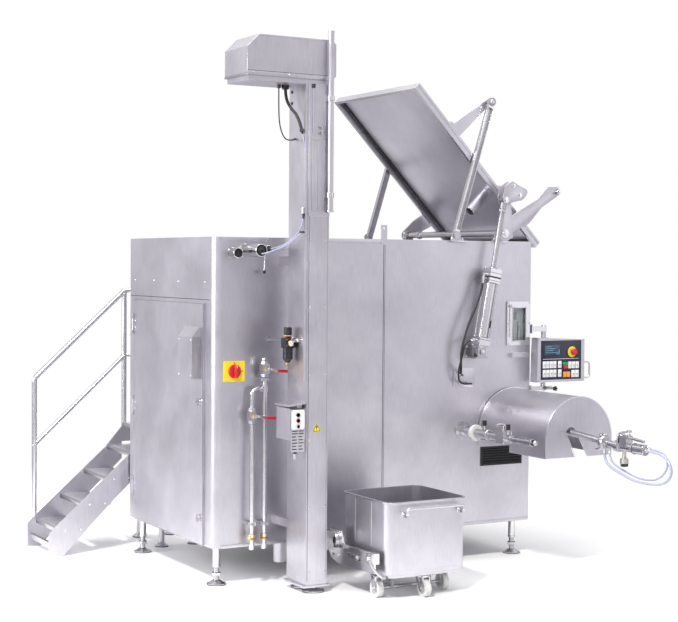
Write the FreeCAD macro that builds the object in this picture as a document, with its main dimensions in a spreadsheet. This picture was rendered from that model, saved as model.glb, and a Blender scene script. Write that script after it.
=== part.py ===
# Industrial mixing meat grinder with bin lift, tilting lid and service stairs.
# Lengths in millimetres, angles in degrees.
# Building frame: x to the right along the front wall, y into the machine, z up,
# zero at the front left lower corner of the cabinet, on the floor.
# At the end every piece is moved so that the origin lies under the front left foot.
import FreeCAD, Part
import math
import os
import re
import Sketcher

V = FreeCAD.Vector
X_AXIS = V(1, 0, 0)
Y_AXIS = V(0, 1, 0)
Z_AXIS = V(0, 0, 1)
TURN_TO = {
    "X": FreeCAD.Rotation(Y_AXIS, 90),
    "Y": FreeCAD.Rotation(X_AXIS, -90),
    "Z": FreeCAD.Rotation(Z_AXIS, 0),
}

# Driving dimensions
SIZES = {
    # cabinet
    "cabinet_length": 2800, "cabinet_depth": 1600, "cabinet_top": 2527, "cabinet_bottom": 280,
    "sheet_wall": 6, "corner_radius": 60, "frame_height": 50,
    "foot_inset_x": 72, "foot_inset_y": 100, "foot_disc_radius": 70, "foot_leg_radius": 28,
    "door_front": 162, "door_inset": 120, "door_bottom": 283, "door_top": 2045, "door_thick": 14,
    "window_inset": 11, "window_wide": 227, "window_bottom": 1694, "window_top": 2049,
    "grille_inset": 75, "grille_wide": 399, "grille_drop": 149, "grille_high": 151,
    # hopper and mixing gear
    "hopper_left": 590, "hopper_inset": 630, "hopper_front": 110, "hopper_back_inset": 310,
    "trough_wall": 8, "lobe_radius": 290, "lobe_height": 1560, "mixer_shaft_radius": 35,
    "auger_height": 1043, "auger_radius": 128, "auger_shaft_radius": 36,
    "auger_pitch": 210, "flight_thick": 10,
    # grinding head
    "head_inset": 185, "worm_radius": 118, "barrel_bore": 125, "barrel_wall": 16, "barrel_front": 330,
    "knife_thick": 18, "plate_thick": 22, "worm_core_radius": 42, "knife_pin_radius": 22,
    # outlet hood
    "hood_radius": 312, "hood_length": 870, "hood_gap": 8.4, "hood_wall": 5, "hood_drop": 143,
    # lid and its drive
    "lid_overhang": 54, "lid_side": 41, "lid_depth": 62, "lid_angle": 46, "lid_low_reach": 133,
    "lid_pin_along": 1152, "lid_pin_out": 395, "arm_pivot_inset": 713, "arm_pivot_rise": 40,
    "arm_width": 50, "crank_inset": 301, "crank_rise": 63, "crank_shaft_radius": 25,
    "cylinder_foot_inset": 559, "cylinder_foot_drop": 873, "cylinder_plane": -95,
    "cylinder_radius": 45, "cylinder_length": 557, "rod_radius": 19,
    # bin lift
    "column_left": 490, "column_right": 660, "column_front": 490, "column_back": 200,
    "column_top": 3597, "column_foot": 60, "drive_left": 16, "drive_right": 715,
    "drive_front": 480, "drive_back": 120, "drive_lift": 34, "drive_high": 284,
    "tilt_y": -360, "tilt_z": 350, "tilt_radius": 35, "neck_end": 770,
    "bin_left": 868, "bin_wide": 670, "bin_front": -984, "bin_floor": 180, "bin_rim": 690,
    "wheel_radius": 62, "wheel_wide": 40,
    # stairs
    "stair_gap": 20, "stair_wide": 550, "stair_plate": 8, "deck_height": 954,
    "rail_radius": 21, "deck_right": 620,
    # control panel
    "panel_offset": -24, "panel_wide": 477, "panel_rise": 357, "panel_high": 357,
    "panel_deep": 90, "panel_back": -40, "panel_hinge_reach": 127,
    # pipes
    "pipe_plane": -80, "pipe_one": 267, "pipe_two": 366, "pipe_radius": 17,
    # running fits
    "running_gap": 0.08, "clear_gap": 0.4,
}

# Places and sizes that follow from the driving dimensions
FOLLOWING = {
    "door_back": "cabinet_depth - door_inset",
    "window_right": "cabinet_length - window_inset",
    "window_left": "window_right - window_wide",
    "grille_right": "cabinet_length - grille_inset",
    "grille_left": "grille_right - grille_wide",
    "grille_top": "auger_height - grille_drop",
    "grille_bottom": "grille_top - grille_high",
    "hopper_right": "cabinet_length - hopper_inset",
    "hopper_back": "cabinet_depth - hopper_back_inset",
    "auger_middle": "(hopper_front + hopper_back) / 2",
    "head_x": "cabinet_length - head_inset",
    "hood_edge": "auger_height - hood_drop",
    "lid_length": "hopper_right - hopper_left + 2 * lid_overhang",
    "lid_near": "hopper_front - lid_side - 9",
    "lid_width": "hopper_back - hopper_front + 2 * lid_side + 1",
    "lid_low_x": "cabinet_length + lid_low_reach",
    "lid_low_z": "cabinet_top - 3",
    "arm_pivot_x": "cabinet_length - arm_pivot_inset",
    "arm_pivot_z": "cabinet_top + arm_pivot_rise",
    "crank_x": "cabinet_length - crank_inset",
    "crank_z": "cabinet_top + crank_rise",
    "cylinder_foot_x": "cabinet_length - cylinder_foot_inset",
    "cylinder_foot_z": "cabinet_top - cylinder_foot_drop",
    "drive_bottom": "column_top + drive_lift",
    "drive_top": "drive_bottom + drive_high",
    "stair_near": "cabinet_depth + stair_gap",
    "stair_far": "stair_near + stair_wide",
    "panel_left": "cabinet_length + panel_offset",
    "panel_right": "panel_left + panel_wide",
    "panel_bottom": "auger_height + panel_rise",
    "panel_top": "panel_bottom + panel_high",
    "panel_hinge_x": "cabinet_length + panel_hinge_reach",
    "separator_x": "head_x - 77",
    "actuator_x": "head_x - 470",
    "actuator_z": "auger_height - 8",
    "rail_y": "stair_far + rail_radius + 0.3",
}

doc = FreeCAD.newDocument("mixing_grinder")
sheet = doc.addObject("Spreadsheet::Sheet", "dims")
for row, (word, value) in enumerate(SIZES.items(), start=1):
    sheet.set(f"A{row}", word)
    sheet.set(f"B{row}", str(value))
    sheet.setAlias(f"B{row}", word)
doc.recompute()

WORD = re.compile(r"[a-z][a-z_]*[a-z]")
nodes = {}


def with_sheet(text):
    """An expression with every named size read from the sheet."""
    def spelled(found):
        word = found.group()
        if word in FOLLOWING:
            return "(" + with_sheet(FOLLOWING[word]) + ")"
        return "dims." + word if word in SIZES else word

    return WORD.sub(spelled, str(text))


def size(text):
    """The present value of an expression."""
    return float(sheet.evalExpression(with_sheet(text)))


def bind(thing, prop, text):
    thing.setExpression(prop, with_sheet(text))


def put(thing, place):
    for letter, text in zip("xyz", place):
        bind(thing, "Placement.Base." + letter, text)
    return thing


def box(name, place, length, width, height):
    block = doc.addObject("Part::Box", name)
    bind(block, "Length", length)
    bind(block, "Width", width)
    bind(block, "Height", height)
    return put(block, place)


def rod(name, axis, place, radius, length):
    """A round bar from a place along +X, +Y or +Z."""
    bar = doc.addObject("Part::Cylinder", name)
    bar.Placement = FreeCAD.Placement(V(0, 0, 0), TURN_TO[axis])
    bind(bar, "Radius", radius)
    bind(bar, "Height", length)
    return put(bar, place)


def cone(name, axis, place, first, second, length):
    taper = doc.addObject("Part::Cone", name)
    taper.Placement = FreeCAD.Placement(V(0, 0, 0), TURN_TO[axis])
    bind(taper, "Radius1", first)
    bind(taper, "Radius2", second)
    bind(taper, "Height", length)
    return put(taper, place)


def cut(name, base, *tools):
    result = doc.addObject("Part::Cut", name)
    result.Base = base
    result.Tool = tools[0] if len(tools) == 1 else join(name + "_tools", *tools)
    return result


def join(name, *shapes):
    result = doc.addObject("Part::MultiFuse", name)
    result.Shapes = list(shapes)
    return result


def group(name, *shapes):
    """Separate like solids that share one node."""
    result = doc.addObject("Part::Compound", name)
    result.Links = list(shapes)
    return result


def tube(name, axis, place, radius, bore, length):
    outside = rod(name + "_outside", axis, place, radius, length)
    inside = rod(name + "_bore", axis, place, bore, length)
    return cut(name, outside, inside)


def plate(name, plane, corners, thick, place=(0, 0, 0), other_way=False):
    """A padded outline. Planes: XY pads to +z, XZ to -y, YZ to +x, or the other way."""
    body = doc.addObject("PartDesign::Body", name)
    origin_plane = [item for item in body.Origin.OriginFeatures if item.Role == plane + "_Plane"][0]
    sketch = body.newObject("Sketcher::SketchObject", name + "_outline")
    sketch.AttachmentSupport = [(origin_plane, "")]
    sketch.MapMode = "FlatFace"
    spots = [(size(across), size(up)) for across, up in corners]
    for spot, following in zip(spots, spots[1:] + spots[:1]):
        sketch.addGeometry(Part.LineSegment(V(*spot, 0), V(*following, 0)))
    count = len(corners)
    for index in range(count):
        sketch.addConstraint(Sketcher.Constraint("Coincident", index, 2, (index + 1) % count, 1))
    for index, (across, up) in enumerate(corners):
        for kind, text in (("DistanceX", across), ("DistanceY", up)):
            held = sketch.addConstraint(Sketcher.Constraint(kind, -1, 1, index, 1, size(text)))
            bind(sketch, f"Constraints[{held}]", text)
    pad = body.newObject("PartDesign::Pad", name + "_pad")
    pad.Profile = sketch
    pad.Reversed = other_way
    bind(pad, "Length", thick)
    put(body, place)
    return body


def bar_between(name, start, end, radius):
    """A round bar between two places given as expressions."""
    first = V(*[size(text) for text in start])
    last = V(*[size(text) for text in end])
    bar = doc.addObject("Part::Cylinder", name)
    bind(bar, "Radius", radius)
    bar.Height = (last - first).Length
    bar.Placement = FreeCAD.Placement(first, FreeCAD.Rotation(Z_AXIS, last - first))
    return bar


def bent_path(spots, bend=None):
    """Straight runs joined by tangent arcs. Without a bend radius each arc takes 0.45 of the shorter run."""
    edges = []
    begin = spots[0]
    radii = []
    for before, corner, after in zip(spots, spots[1:], spots[2:]):
        inward = corner - before
        outward = after - corner
        turn = inward.getAngle(outward)
        reach = 0.45 * min(inward.Length, outward.Length)
        if bend:
            reach = bend * math.tan(turn / 2)
        radius = reach / math.tan(turn / 2)
        radii.append(radius)
        inward.normalize()
        outward.normalize()
        arc_start = corner - inward * reach
        arc_end = corner + outward * reach
        middle_way = outward - inward
        middle_way.normalize()
        arc_middle = corner + middle_way * (radius / math.cos(turn / 2) - radius)
        edges.append(Part.LineSegment(begin, arc_start).toShape())
        edges.append(Part.Arc(arc_start, arc_middle, arc_end).toShape())
        begin = arc_end
    edges.append(Part.LineSegment(begin, spots[-1]).toShape())
    return Part.Wire(edges), radii


def bent_tube(name, places, radius, bend=None, bore=None):
    """A tube swept along a bent path."""
    spots = [V(*[size(text) for text in place]) for place in places]
    bend_radius = size(bend) if bend else None
    path, radii = bent_path(spots, bend_radius)
    along = spots[1] - spots[0]

    def sweep(round_size):
        ring = Part.Wire([Part.makeCircle(round_size, spots[0], along)])
        return path.makePipeShell([ring], True, True)

    solid = sweep(size(radius))
    if bore:
        solid = solid.cut(sweep(size(bore)))
    pipe = doc.addObject("Part::Feature", name)
    pipe.Shape = solid
    expected = math.pi * size(radius) ** 2 * path.Length
    if not bore:
        print(name, "radii", [round(value) for value in radii], "volume ratio",
              round(solid.Volume / expected, 4))
    return pipe


def helix_flight(name, axis, place, inner, outer, pitch, turns, thick):
    """The screw flight of a worm: a radial profile carried along a helix."""
    root = size(inner) - 2
    tip = size(outer)
    step = size(pitch)
    half = size(thick) / 2
    helix = Part.makeHelix(step, step * turns, root)
    profile = Part.makePolygon([V(root, 0, -half), V(tip, 0, -half), V(tip, 0, half), V(root, 0, half),
                                V(root, 0, -half)])
    sweep = Part.BRepOffsetAPI.MakePipeShell(Part.Wire(helix))
    sweep.setFrenetMode(True)
    sweep.add(profile, False, False)
    sweep.build()
    sweep.makeSolid()
    flight = doc.addObject("Part::Feature", name)
    flight.Shape = sweep.shape()
    flight.Placement = FreeCAD.Placement(V(*[size(text) for text in place]), TURN_TO[axis])
    return flight


def node(name, thing):
    """Gives a finished piece its name."""
    thing.Label = name
    nodes[name] = thing
    return thing


# Cabinet: one shell of sheet steel with its openings
outer = box("cabinet_outside", (0, 0, "cabinet_bottom"), "cabinet_length", "cabinet_depth",
            "cabinet_top - cabinet_bottom")
rounded = doc.addObject("Part::Fillet", "cabinet_rounded")
rounded.Base = outer
doc.recompute()
front_edge = [index for index, edge in enumerate(outer.Shape.Edges, start=1)
              if edge.BoundBox.XMax < 1 and edge.BoundBox.YMax < 1 and edge.BoundBox.ZLength > 100]
rounded.Edges = [(front_edge[0], size("corner_radius"), size("corner_radius"))]
inner = box("cabinet_inside", ("sheet_wall", "sheet_wall", "cabinet_bottom + frame_height"),
            "cabinet_length - 2 * sheet_wall", "cabinet_depth - 2 * sheet_wall",
            "cabinet_top - cabinet_bottom - frame_height - sheet_wall")
inner_rounded = doc.addObject("Part::Fillet", "cabinet_inside_rounded")
inner_rounded.Base = inner
doc.recompute()
inner_edge = [index for index, edge in enumerate(inner.Shape.Edges, start=1)
              if edge.BoundBox.XMax < size("sheet_wall") + 1 and edge.BoundBox.YMax < size("sheet_wall") + 1
              and edge.BoundBox.ZLength > 100]
inner_radius = size("corner_radius - sheet_wall")
inner_rounded.Edges = [(inner_edge[0], inner_radius, inner_radius)]
hopper_hole = box("hopper_hole", ("hopper_left - trough_wall", "hopper_front - trough_wall",
                                  "cabinet_top - 50"), "hopper_right - hopper_left + 2 * trough_wall",
                  "hopper_back - hopper_front + 2 * trough_wall", 100)
door_hole = box("door_hole", (-10, "door_front + 40", "door_bottom + 60"), 40,
                "door_back - door_front - 80", "door_top - door_bottom - 100")
window_hole = box("window_hole", ("window_left + 12", -10, "window_bottom + 12"),
                  "window_right - window_left - 24", 40, "window_top - window_bottom - 24")
grille_hole = box("grille_hole", ("grille_left + 10", -10, "grille_bottom + 10"),
                  "grille_right - grille_left - 20", 40, "grille_top - grille_bottom - 20")
head_hole = rod("head_hole", "Y", ("head_x", -20, "auger_height"), "barrel_bore + barrel_wall + clear_gap",
                60)
belly_hole = box("belly_hole", (300, 300, "cabinet_bottom - 10"), "cabinet_length - 600",
                 "cabinet_depth - 600", "frame_height + 20")
hose_slot = box("hose_slot", ("cylinder_foot_x - 135", -10, "cylinder_foot_z - 224"), 104, 30, 66)
shell = cut("cabinet_cut", rounded, inner_rounded, hopper_hole, door_hole, window_hole, hose_slot,
            grille_hole, head_hole, belly_hole)
seam_strip = box("seam_strip", ("cabinet_length / 2 + 14", -2, "cabinet_bottom + 60"), 8, 3,
                 "cabinet_top - cabinet_bottom - 60")
stop_bar = box("stop_bar", ("cabinet_length / 2 - 13", -4, "cabinet_top - 40"), 53, 8, 149)
stop_bar_hole = rod("stop_bar_hole", "Y", ("cabinet_length / 2 + 13", -10, "cabinet_top + 85"), 9, 30)
stop_bar_cut = cut("stop_bar_drilled", stop_bar, stop_bar_hole)
sill = box("window_sill", ("window_left + 38", -34, "window_bottom - 94"), 160, 35, 38)
sump = rod("sump_cup", "Z", (645, 200, 103), 52, "cabinet_bottom - 103")
collar_spigot = rod("hood_spigot", "Y", ("head_x", -42, "auger_height"),
                    "hood_radius - hood_wall - clear_gap", 42)
collar_flange = rod("hood_flange", "Y", ("head_x", -8, "auger_height"), "hood_radius + 12", 8)
collar_bore = rod("hood_collar_bore", "Y", ("head_x", -60, "auger_height"), "hood_radius - 18", 80)
collar_below = box("hood_collar_below", ("head_x - 400", -60, "hood_edge - 400"), 800, 80, 455)
collar = cut("hood_collar_cut", join("hood_collar_whole", collar_spigot, collar_flange), collar_bore,
             collar_below)
HINGE_HEIGHTS = (500, 1150, 1800)
hinge_leaves = []
for index, height in enumerate(HINGE_HEIGHTS):
    hinge_leaves.append(rod(f"door_pin_{index}", "Z", (-20, "door_back + 12", height - 28), 6, 146))
    for end, start in enumerate((height - 30, height + 90.4)):
        hinge_leaves.append(box(f"door_ear_{index}{end}", (-30, "door_back + 4", start), 30.2, 40, 29.6))
node("cabinet_shell", join("cabinet_whole", shell, seam_strip, stop_bar_cut, sill, sump, collar,
                           *hinge_leaves))

# Six levelling feet under the cabinet
def levelling_foot(name, x, y):
    disc = rod(name + "_disc", "Z", (x, y, 0), "foot_disc_radius", 14)
    dome = cone(name + "_dome", "Z", (x, y, 14), "foot_disc_radius - 8", 30, 22)
    stem = rod(name + "_stem", "Z", (x, y, 30), 20, "cabinet_bottom - 30")
    nut = rod(name + "_nut", "Z", (x, y, 70), 32, 22)
    leg = rod(name + "_leg", "Z", (x, y, 130), "foot_leg_radius", "cabinet_bottom - 130")
    return join(name, disc, dome, stem, nut, leg)


feet = []
for column, foot_x in enumerate(("foot_inset_x", "cabinet_length / 2", "cabinet_length - 90")):
    for line, foot_y in enumerate(("foot_inset_y", "cabinet_depth - foot_inset_y")):
        feet.append(levelling_foot(f"cabinet_foot_{column}{line}", foot_x, foot_y))
for index, foot_y in enumerate((-430, -260)):
    disc = rod(f"column_foot_disc_{index}", "Z", (585, foot_y, 0), 78, 14)
    stem = rod(f"column_foot_stem_{index}", "Z", (585, foot_y, 13), 20, 33)
    feet.append(join(f"column_foot_{index}", disc, stem))
node("levelling_feet", group("levelling_feet_group", *feet))

# Service door on the left side, hinged at its back edge
door_panel = box("door_panel", ("-door_thick - clear_gap", "door_front", "door_bottom"), "door_thick",
                 "door_back - door_front", "door_top - door_bottom")
door_lip = box("door_lip", ("-clear_gap", "door_front + 44", "door_bottom + 64"), 24,
               "door_back - door_front - 88", "door_top - door_bottom - 108")
door_hollow = box("door_hollow", (-6, "door_front + 54", "door_bottom + 74"), 60,
                  "door_back - door_front - 108", "door_top - door_bottom - 128")
knuckles = [tube(f"door_knuckle_{index}", "Z", (-20, "door_back + 12", height), 12, "6 + running_gap", 90)
            for index, height in enumerate(HINGE_HEIGHTS)]
knuckle_webs = [box(f"door_knuckle_web_{index}", (-30, "door_back - 10", height + 10), 16, 14, 70)
                for index, height in enumerate(HINGE_HEIGHTS)]
door_body = cut("door_pressed", join("door_whole", door_panel, door_lip), door_hollow)
cover = plate("side_cover_blank", "XZ", [(0, 1490), (-80, 1500), (-80, 1800), (-20, 1870), (0, 1870)], 241,
              ("-door_thick - clear_gap", 184, 0), True)
latches = [join(f"latch_{index}", rod(f"latch_boss_{index}", "X",
                                      ("-door_thick - clear_gap - 20", "door_front + 34", height), 17,
                                      20.2), box(f"latch_wing_{index}",
                                                 ("-door_thick - clear_gap - 34", "door_front + 28",
                                                  height - 30), 18, 12, 60)) for index,
           height in enumerate((480, 1330))]
node("service_door", join("door_with_hinges", door_body, cover, *knuckles, *knuckle_webs, *latches))

# Observation window and vent grille in the front wall
frame_block = box("window_frame_block", ("window_left", -14, "window_bottom"), "window_right - window_left",
                  14, "window_top - window_bottom")
frame_hole = box("window_frame_hole", ("window_left + 50", -40, "window_bottom + 34"),
                 "window_right - window_left - 91", 80, "window_top - window_bottom - 83")
node("window_frame", cut("window_frame_cut", frame_block, frame_hole))
pane = box("window_pane_block", ("window_left + 14", 0, "window_bottom + 14"),
           "window_right - window_left - 28", 5, "window_top - window_bottom - 28")
node("window_pane", pane)
grille_frame = box("grille_frame_block", ("grille_left", -8, "grille_bottom"), "grille_right - grille_left",
                   8, "grille_top - grille_bottom")
grille_open = box("grille_open", ("grille_left + 14", -20, "grille_bottom + 14"),
                  "grille_right - grille_left - 28", 40, "grille_top - grille_bottom - 28")
slats = [box(f"grille_slat_{index}", ("grille_left + 10", -7, f"grille_bottom + {20 + 20 * index}"),
             "grille_right - grille_left - 20", 6, 8) for index in range(6)]
node("vent_grille", join("grille_whole", cut("grille_ring", grille_frame, grille_open), *slats))

# Mixing trough: two round lobes side by side, open at the top, with the feed channel below
LOBES = ("hopper_front + lobe_radius", "hopper_back - lobe_radius")


def trough_solid(name, grow, left, right, top):
    parts = [rod(f"{name}_lobe_{index}", "X", (left, middle, "lobe_height"), f"lobe_radius + {grow}",
                 f"{right} - ({left})") for index, middle in enumerate(LOBES)]
    parts.append(box(name + "_upper", (left, f"hopper_front - ({grow})", "lobe_height"),
                     f"{right} - ({left})", f"hopper_back - hopper_front + 2 * ({grow})",
                     f"{top} - lobe_height"))
    parts.append(rod(name + "_channel", "X", (left, "auger_middle", "auger_height"),
                     f"auger_radius + 6 + {grow}", f"{right} - ({left})"))
    parts.append(box(name + "_throat", (left, f"auger_middle - auger_radius - ({grow})", "auger_height"),
                     f"{right} - ({left})", f"2 * auger_radius + 2 * ({grow})",
                     "lobe_height - auger_height"))
    return join(name, *parts)


trough_outside = trough_solid("trough_outside", "trough_wall", "hopper_left - trough_wall",
                              "hopper_right + trough_wall", "cabinet_top")
trough_inside = trough_solid("trough_inside", "0", "hopper_left", "hopper_right", "cabinet_top + 20")
feed_outlet = rod("feed_outlet", "X", ("hopper_right - 20", "auger_middle", "auger_height"),
                  "auger_radius + 6", 60)
shaft_holes = [rod(f"mixer_hole_{index}", "X", ("hopper_left - 60", middle, "lobe_height"),
                   "mixer_shaft_radius + clear_gap", 1800) for index, middle in enumerate(LOBES)]
auger_hole = rod("auger_hole", "X", ("hopper_left - 60", "auger_middle", "auger_height"),
                 "auger_shaft_radius + clear_gap", 100)
feed_pipe = tube("feed_pipe", "X", ("hopper_right + trough_wall - 1", "auger_middle", "auger_height"),
                 "auger_radius + 16", "auger_radius + 6",
                 "head_x - 190 - hopper_right - trough_wall + 1 - clear_gap")
trough_cut = cut("trough_cut", trough_outside, trough_inside, feed_outlet, auger_hole, *shaft_holes)
node("mixing_trough", join("trough_whole", trough_cut, feed_pipe))

# Two mixing shafts with flat paddles
for index, middle in enumerate(LOBES):
    side = ("front", "back")[index]
    pieces = [rod(side + "_mixer_shaft", "X", (330, middle, "lobe_height"), "mixer_shaft_radius",
                  "hopper_right + 60 - 330")]
    for step in range(6):
        spoke_x = f"hopper_left + {150 + 256 * step}"
        turn = 60 * step + 30 * index
        spoke = rod(f"{side}_spoke_{step}", "Z", (spoke_x, middle, "lobe_height"), 16, "lobe_radius - 70")
        spoke.Placement.Rotation = FreeCAD.Rotation(X_AXIS, turn)
        pieces.append(spoke)
        blade = doc.addObject("Part::Box", f"{side}_blade_{step}")
        bind(blade, "Length", 150)
        bind(blade, "Width", 12)
        bind(blade, "Height", 90)
        reach = size("lobe_radius") - 112
        tilt = FreeCAD.Rotation(X_AXIS, turn)
        corner = tilt.multVec(V(-75, -6, reach))
        blade.Placement = FreeCAD.Placement(V(size(spoke_x), size(middle), size("lobe_height")) + corner,
                                            tilt)
        pieces.append(blade)
    node(side + "_mixer", join(side + "_mixer_whole", *pieces))

# Feed auger under the trough
auger_shaft = rod("auger_shaft", "X", (345, "auger_middle", "auger_height"), "auger_shaft_radius",
                  "head_x - 190 - 345")
auger_flight = helix_flight("auger_flight", "X", ("hopper_left + 20", "auger_middle", "auger_height"),
                            "auger_shaft_radius", "auger_radius", "auger_pitch", 8, "flight_thick")
node("feed_auger", join("feed_auger_whole", auger_shaft, auger_flight))

# Drives in the machine room at the left end
gearcase = box("mixer_gearcase", (330.5, "hopper_front + 130", "lobe_height - 230"),
               "hopper_left - trough_wall - 330.5", "hopper_back - hopper_front - 260", 460)
gear_holes = [rod(f"gearcase_hole_{index}", "X", (320, middle, "lobe_height"),
                  "mixer_shaft_radius + running_gap", 300) for index, middle in enumerate(LOBES)]
mixer_motor = rod("mixer_motor_can", "X", (90, "auger_middle", "lobe_height + 140"), 130, 241)
mixer_drive = join("mixer_drive", cut("gearcase_bored", gearcase, *gear_holes), mixer_motor)
auger_gearcase = box("auger_gearcase", (340, "auger_middle - 140", "auger_height - 143"),
                     "hopper_left - trough_wall - 340", 280, 286)
auger_bore = rod("auger_gearcase_hole", "X", (320, "auger_middle", "auger_height"),
                 "auger_shaft_radius + running_gap", 300)
auger_motor = rod("auger_motor_can", "X", (70, "auger_middle", "auger_height - 43"), 100, 271)
auger_drive = join("auger_drive", cut("auger_gearcase_bored", auger_gearcase, auger_bore), auger_motor)

# Grinding head: barrel, worm, knife, hole plate and ring nut, all on one axis towards the front
barrel_tube = tube("barrel_tube", "Y", ("head_x", "-barrel_front", "auger_height"),
                   "barrel_bore + barrel_wall", "barrel_bore", "barrel_front + auger_middle + 450")
barrel_flange = tube("barrel_flange", "Y", ("head_x", "sheet_wall + clear_gap", "auger_height"),
                     "barrel_bore + 50", "barrel_bore", 24)
barrel_mouth = rod("barrel_mouth", "X", ("head_x - 190", "auger_middle", "auger_height"),
                   "auger_radius + 20", 130)
barrel_inlet = rod("barrel_inlet", "X", ("head_x - 260", "auger_middle", "auger_height"),
                   "auger_radius + 6", 230)
mouth_clear = rod("barrel_mouth_clear", "Y", ("head_x", "auger_middle - 400", "auger_height"),
                  "barrel_bore", 800)
barrel_joined = join("barrel_joined", barrel_tube, barrel_flange,
                     cut("barrel_mouth_cut", barrel_mouth, mouth_clear))
node("grinder_barrel", cut("barrel_cut", barrel_joined, barrel_inlet))
worm_core = rod("worm_core", "Y", ("head_x", "-barrel_front + 2 * clear_gap", "auger_height"),
                "worm_core_radius", "barrel_front + auger_middle + 540")
worm_flight = helix_flight("worm_flight", "Y", ("head_x", "-barrel_front + 60", "auger_height"),
                           "worm_core_radius", "worm_radius", 150, 8, 12)
knife_pin = rod("knife_pin", "Y", ("head_x", "-barrel_front - knife_thick - plate_thick - 8",
                                   "auger_height"), "knife_pin_radius", "knife_thick + plate_thick + 20")
node("grinder_worm", join("worm_whole", worm_core, worm_flight, knife_pin))
knife_hub = tube("knife_hub", "Y", ("head_x", "-barrel_front - knife_thick", "auger_height"), 44,
                 "knife_pin_radius + running_gap", "knife_thick")
knife_blades = []
for step in range(4):
    blade = doc.addObject("Part::Box", f"knife_blade_{step}")
    bind(blade, "Length", "barrel_bore - 40")
    bind(blade, "Width", "knife_thick")
    bind(blade, "Height", 26)
    tilt = FreeCAD.Rotation(Y_AXIS, 90 * step)
    corner = tilt.multVec(V(34, 0, -13))
    blade.Placement = FreeCAD.Placement(V(size("head_x"), size("-barrel_front - knife_thick"),
                                          size("auger_height")) + corner, tilt)
    knife_blades.append(blade)
node("knife", join("knife_whole", knife_hub, *knife_blades))
plate_disc = rod("hole_plate_disc", "Y", ("head_x", "-barrel_front - knife_thick - plate_thick - clear_gap",
                                          "auger_height"), "barrel_bore - clear_gap", "plate_thick")
plate_holes = [rod("hole_plate_middle", "Y", ("head_x", "-barrel_front - 90", "auger_height"),
                   "knife_pin_radius + running_gap", 180)]
for ring, (ring_radius, count) in enumerate(((52, 8), (82, 12), (108, 18))):
    for step in range(count):
        angle = 360 / count * step
        plate_holes.append(rod(f"plate_hole_{ring}_{step}", "Y",
                               (f"head_x + {ring_radius} * cos({angle})", "-barrel_front - 90",
                                f"auger_height + {ring_radius} * sin({angle})"), 8, 180))
node("hole_plate", cut("hole_plate_drilled", plate_disc, *plate_holes))
nut_outside = tube("ring_nut_body", "Y", ("head_x", "-barrel_front - knife_thick - plate_thick - 14",
                                          "auger_height"), "barrel_bore + barrel_wall + 22",
                   "barrel_bore - 12", 88)
nut_bore = rod("ring_nut_bore", "Y", ("head_x", "-barrel_front - knife_thick - plate_thick - 2 * clear_gap",
                                      "auger_height"), "barrel_bore + barrel_wall + clear_gap", 120)
lugs = [box(f"nut_lug_{step}", (f"head_x + {165 * math.cos(math.radians(90 * step + 45)):.1f} - 16",
                                "-barrel_front - 40",
                                f"auger_height + {165 * math.sin(math.radians(90 * step + 45)):.1f} - 16"),
            32, 50, 32) for step in range(4)]
node("ring_nut", join("ring_nut_whole", cut("ring_nut_bored", nut_outside, nut_bore),
                      *[cut(f"nut_lug_cut_{step}", lug, rod(f"nut_lug_clear_{step}", "Y",
                            ("head_x", "-barrel_front - 90", "auger_height"),
                                                            "barrel_bore + barrel_wall + 10", 180))
                        for step, lug in enumerate(lugs)]))
grinder_gearcase = box("grinder_gearcase", ("head_x - 170", "auger_middle + 450.6", "auger_height - 183"),
                       330, 200, 366)
grinder_bore = rod("grinder_gearcase_hole", "Y", ("head_x", "auger_middle + 400", "auger_height"),
                   "worm_core_radius + running_gap", 320)
grinder_motor = rod("grinder_motor_can", "X", ("head_x - 760", "auger_middle + 550", "auger_height - 283"),
                    170, 591)
grinder_drive = join("grinder_drive", cut("grinder_gearcase_bored", grinder_gearcase, grinder_bore),
                     grinder_motor, box("grinder_bed", ("head_x - 760", "auger_middle + 470",
                                                        "cabinet_bottom + frame_height"), 920, 160,
                                        "auger_height - 163 - cabinet_bottom - frame_height"))
node("gear_motors", group("gear_motor_group", mixer_drive, auger_drive, grinder_drive))

# Outlet hood: half round cover with straight skirts, open below
def hood_solid(name, radius, start, length):
    arch = rod(name + "_arch", "Y", ("head_x", start, "auger_height"), radius, length)
    skirt = box(name + "_skirt", (f"head_x - {radius}", start, "hood_edge"), f"2 * {radius}", length,
                "auger_height - hood_edge")
    below = box(name + "_below", (f"head_x - {radius} - 10", start, "hood_edge - 300"),
                f"2 * {radius} + 20", length, 300)
    return cut(name, join(name + "_full", arch, skirt), below)


hood_outside = hood_solid("hood_outside", "hood_radius", "-hood_length", "hood_length - hood_gap")
hood_inside = hood_solid("hood_inside", "(hood_radius - hood_wall)", "-hood_length + hood_wall",
                         "hood_length + 60")
hood_below = box("hood_open_below", ("head_x - hood_radius + hood_wall", "-hood_length + hood_wall",
                                     "hood_edge - 40"), "2 * hood_radius - 2 * hood_wall", "hood_length",
                 80)
slot_top = rod("hood_slot_top", "Y", ("head_x - 72", "-hood_length - 20", "auger_height + 37"), 48, 60)
slot_run = plate("hood_slot_run", "XZ", [("head_x - 120", "auger_height + 37"),
                                         ("head_x - 24", "auger_height + 37"),
                                         ("head_x + 89", "hood_edge - 20"),
                                         ("head_x - 31", "hood_edge - 20")], 60,
                 (0, "-hood_length - 20", 0), True)
side_notch = box("hood_side_notch", ("head_x - hood_radius - 10", -413, "hood_edge - 20"), 40, 500, 75)
node("outlet_hood", cut("hood_cut", hood_outside, hood_inside, hood_below, slot_top, slot_run, side_notch))

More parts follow.
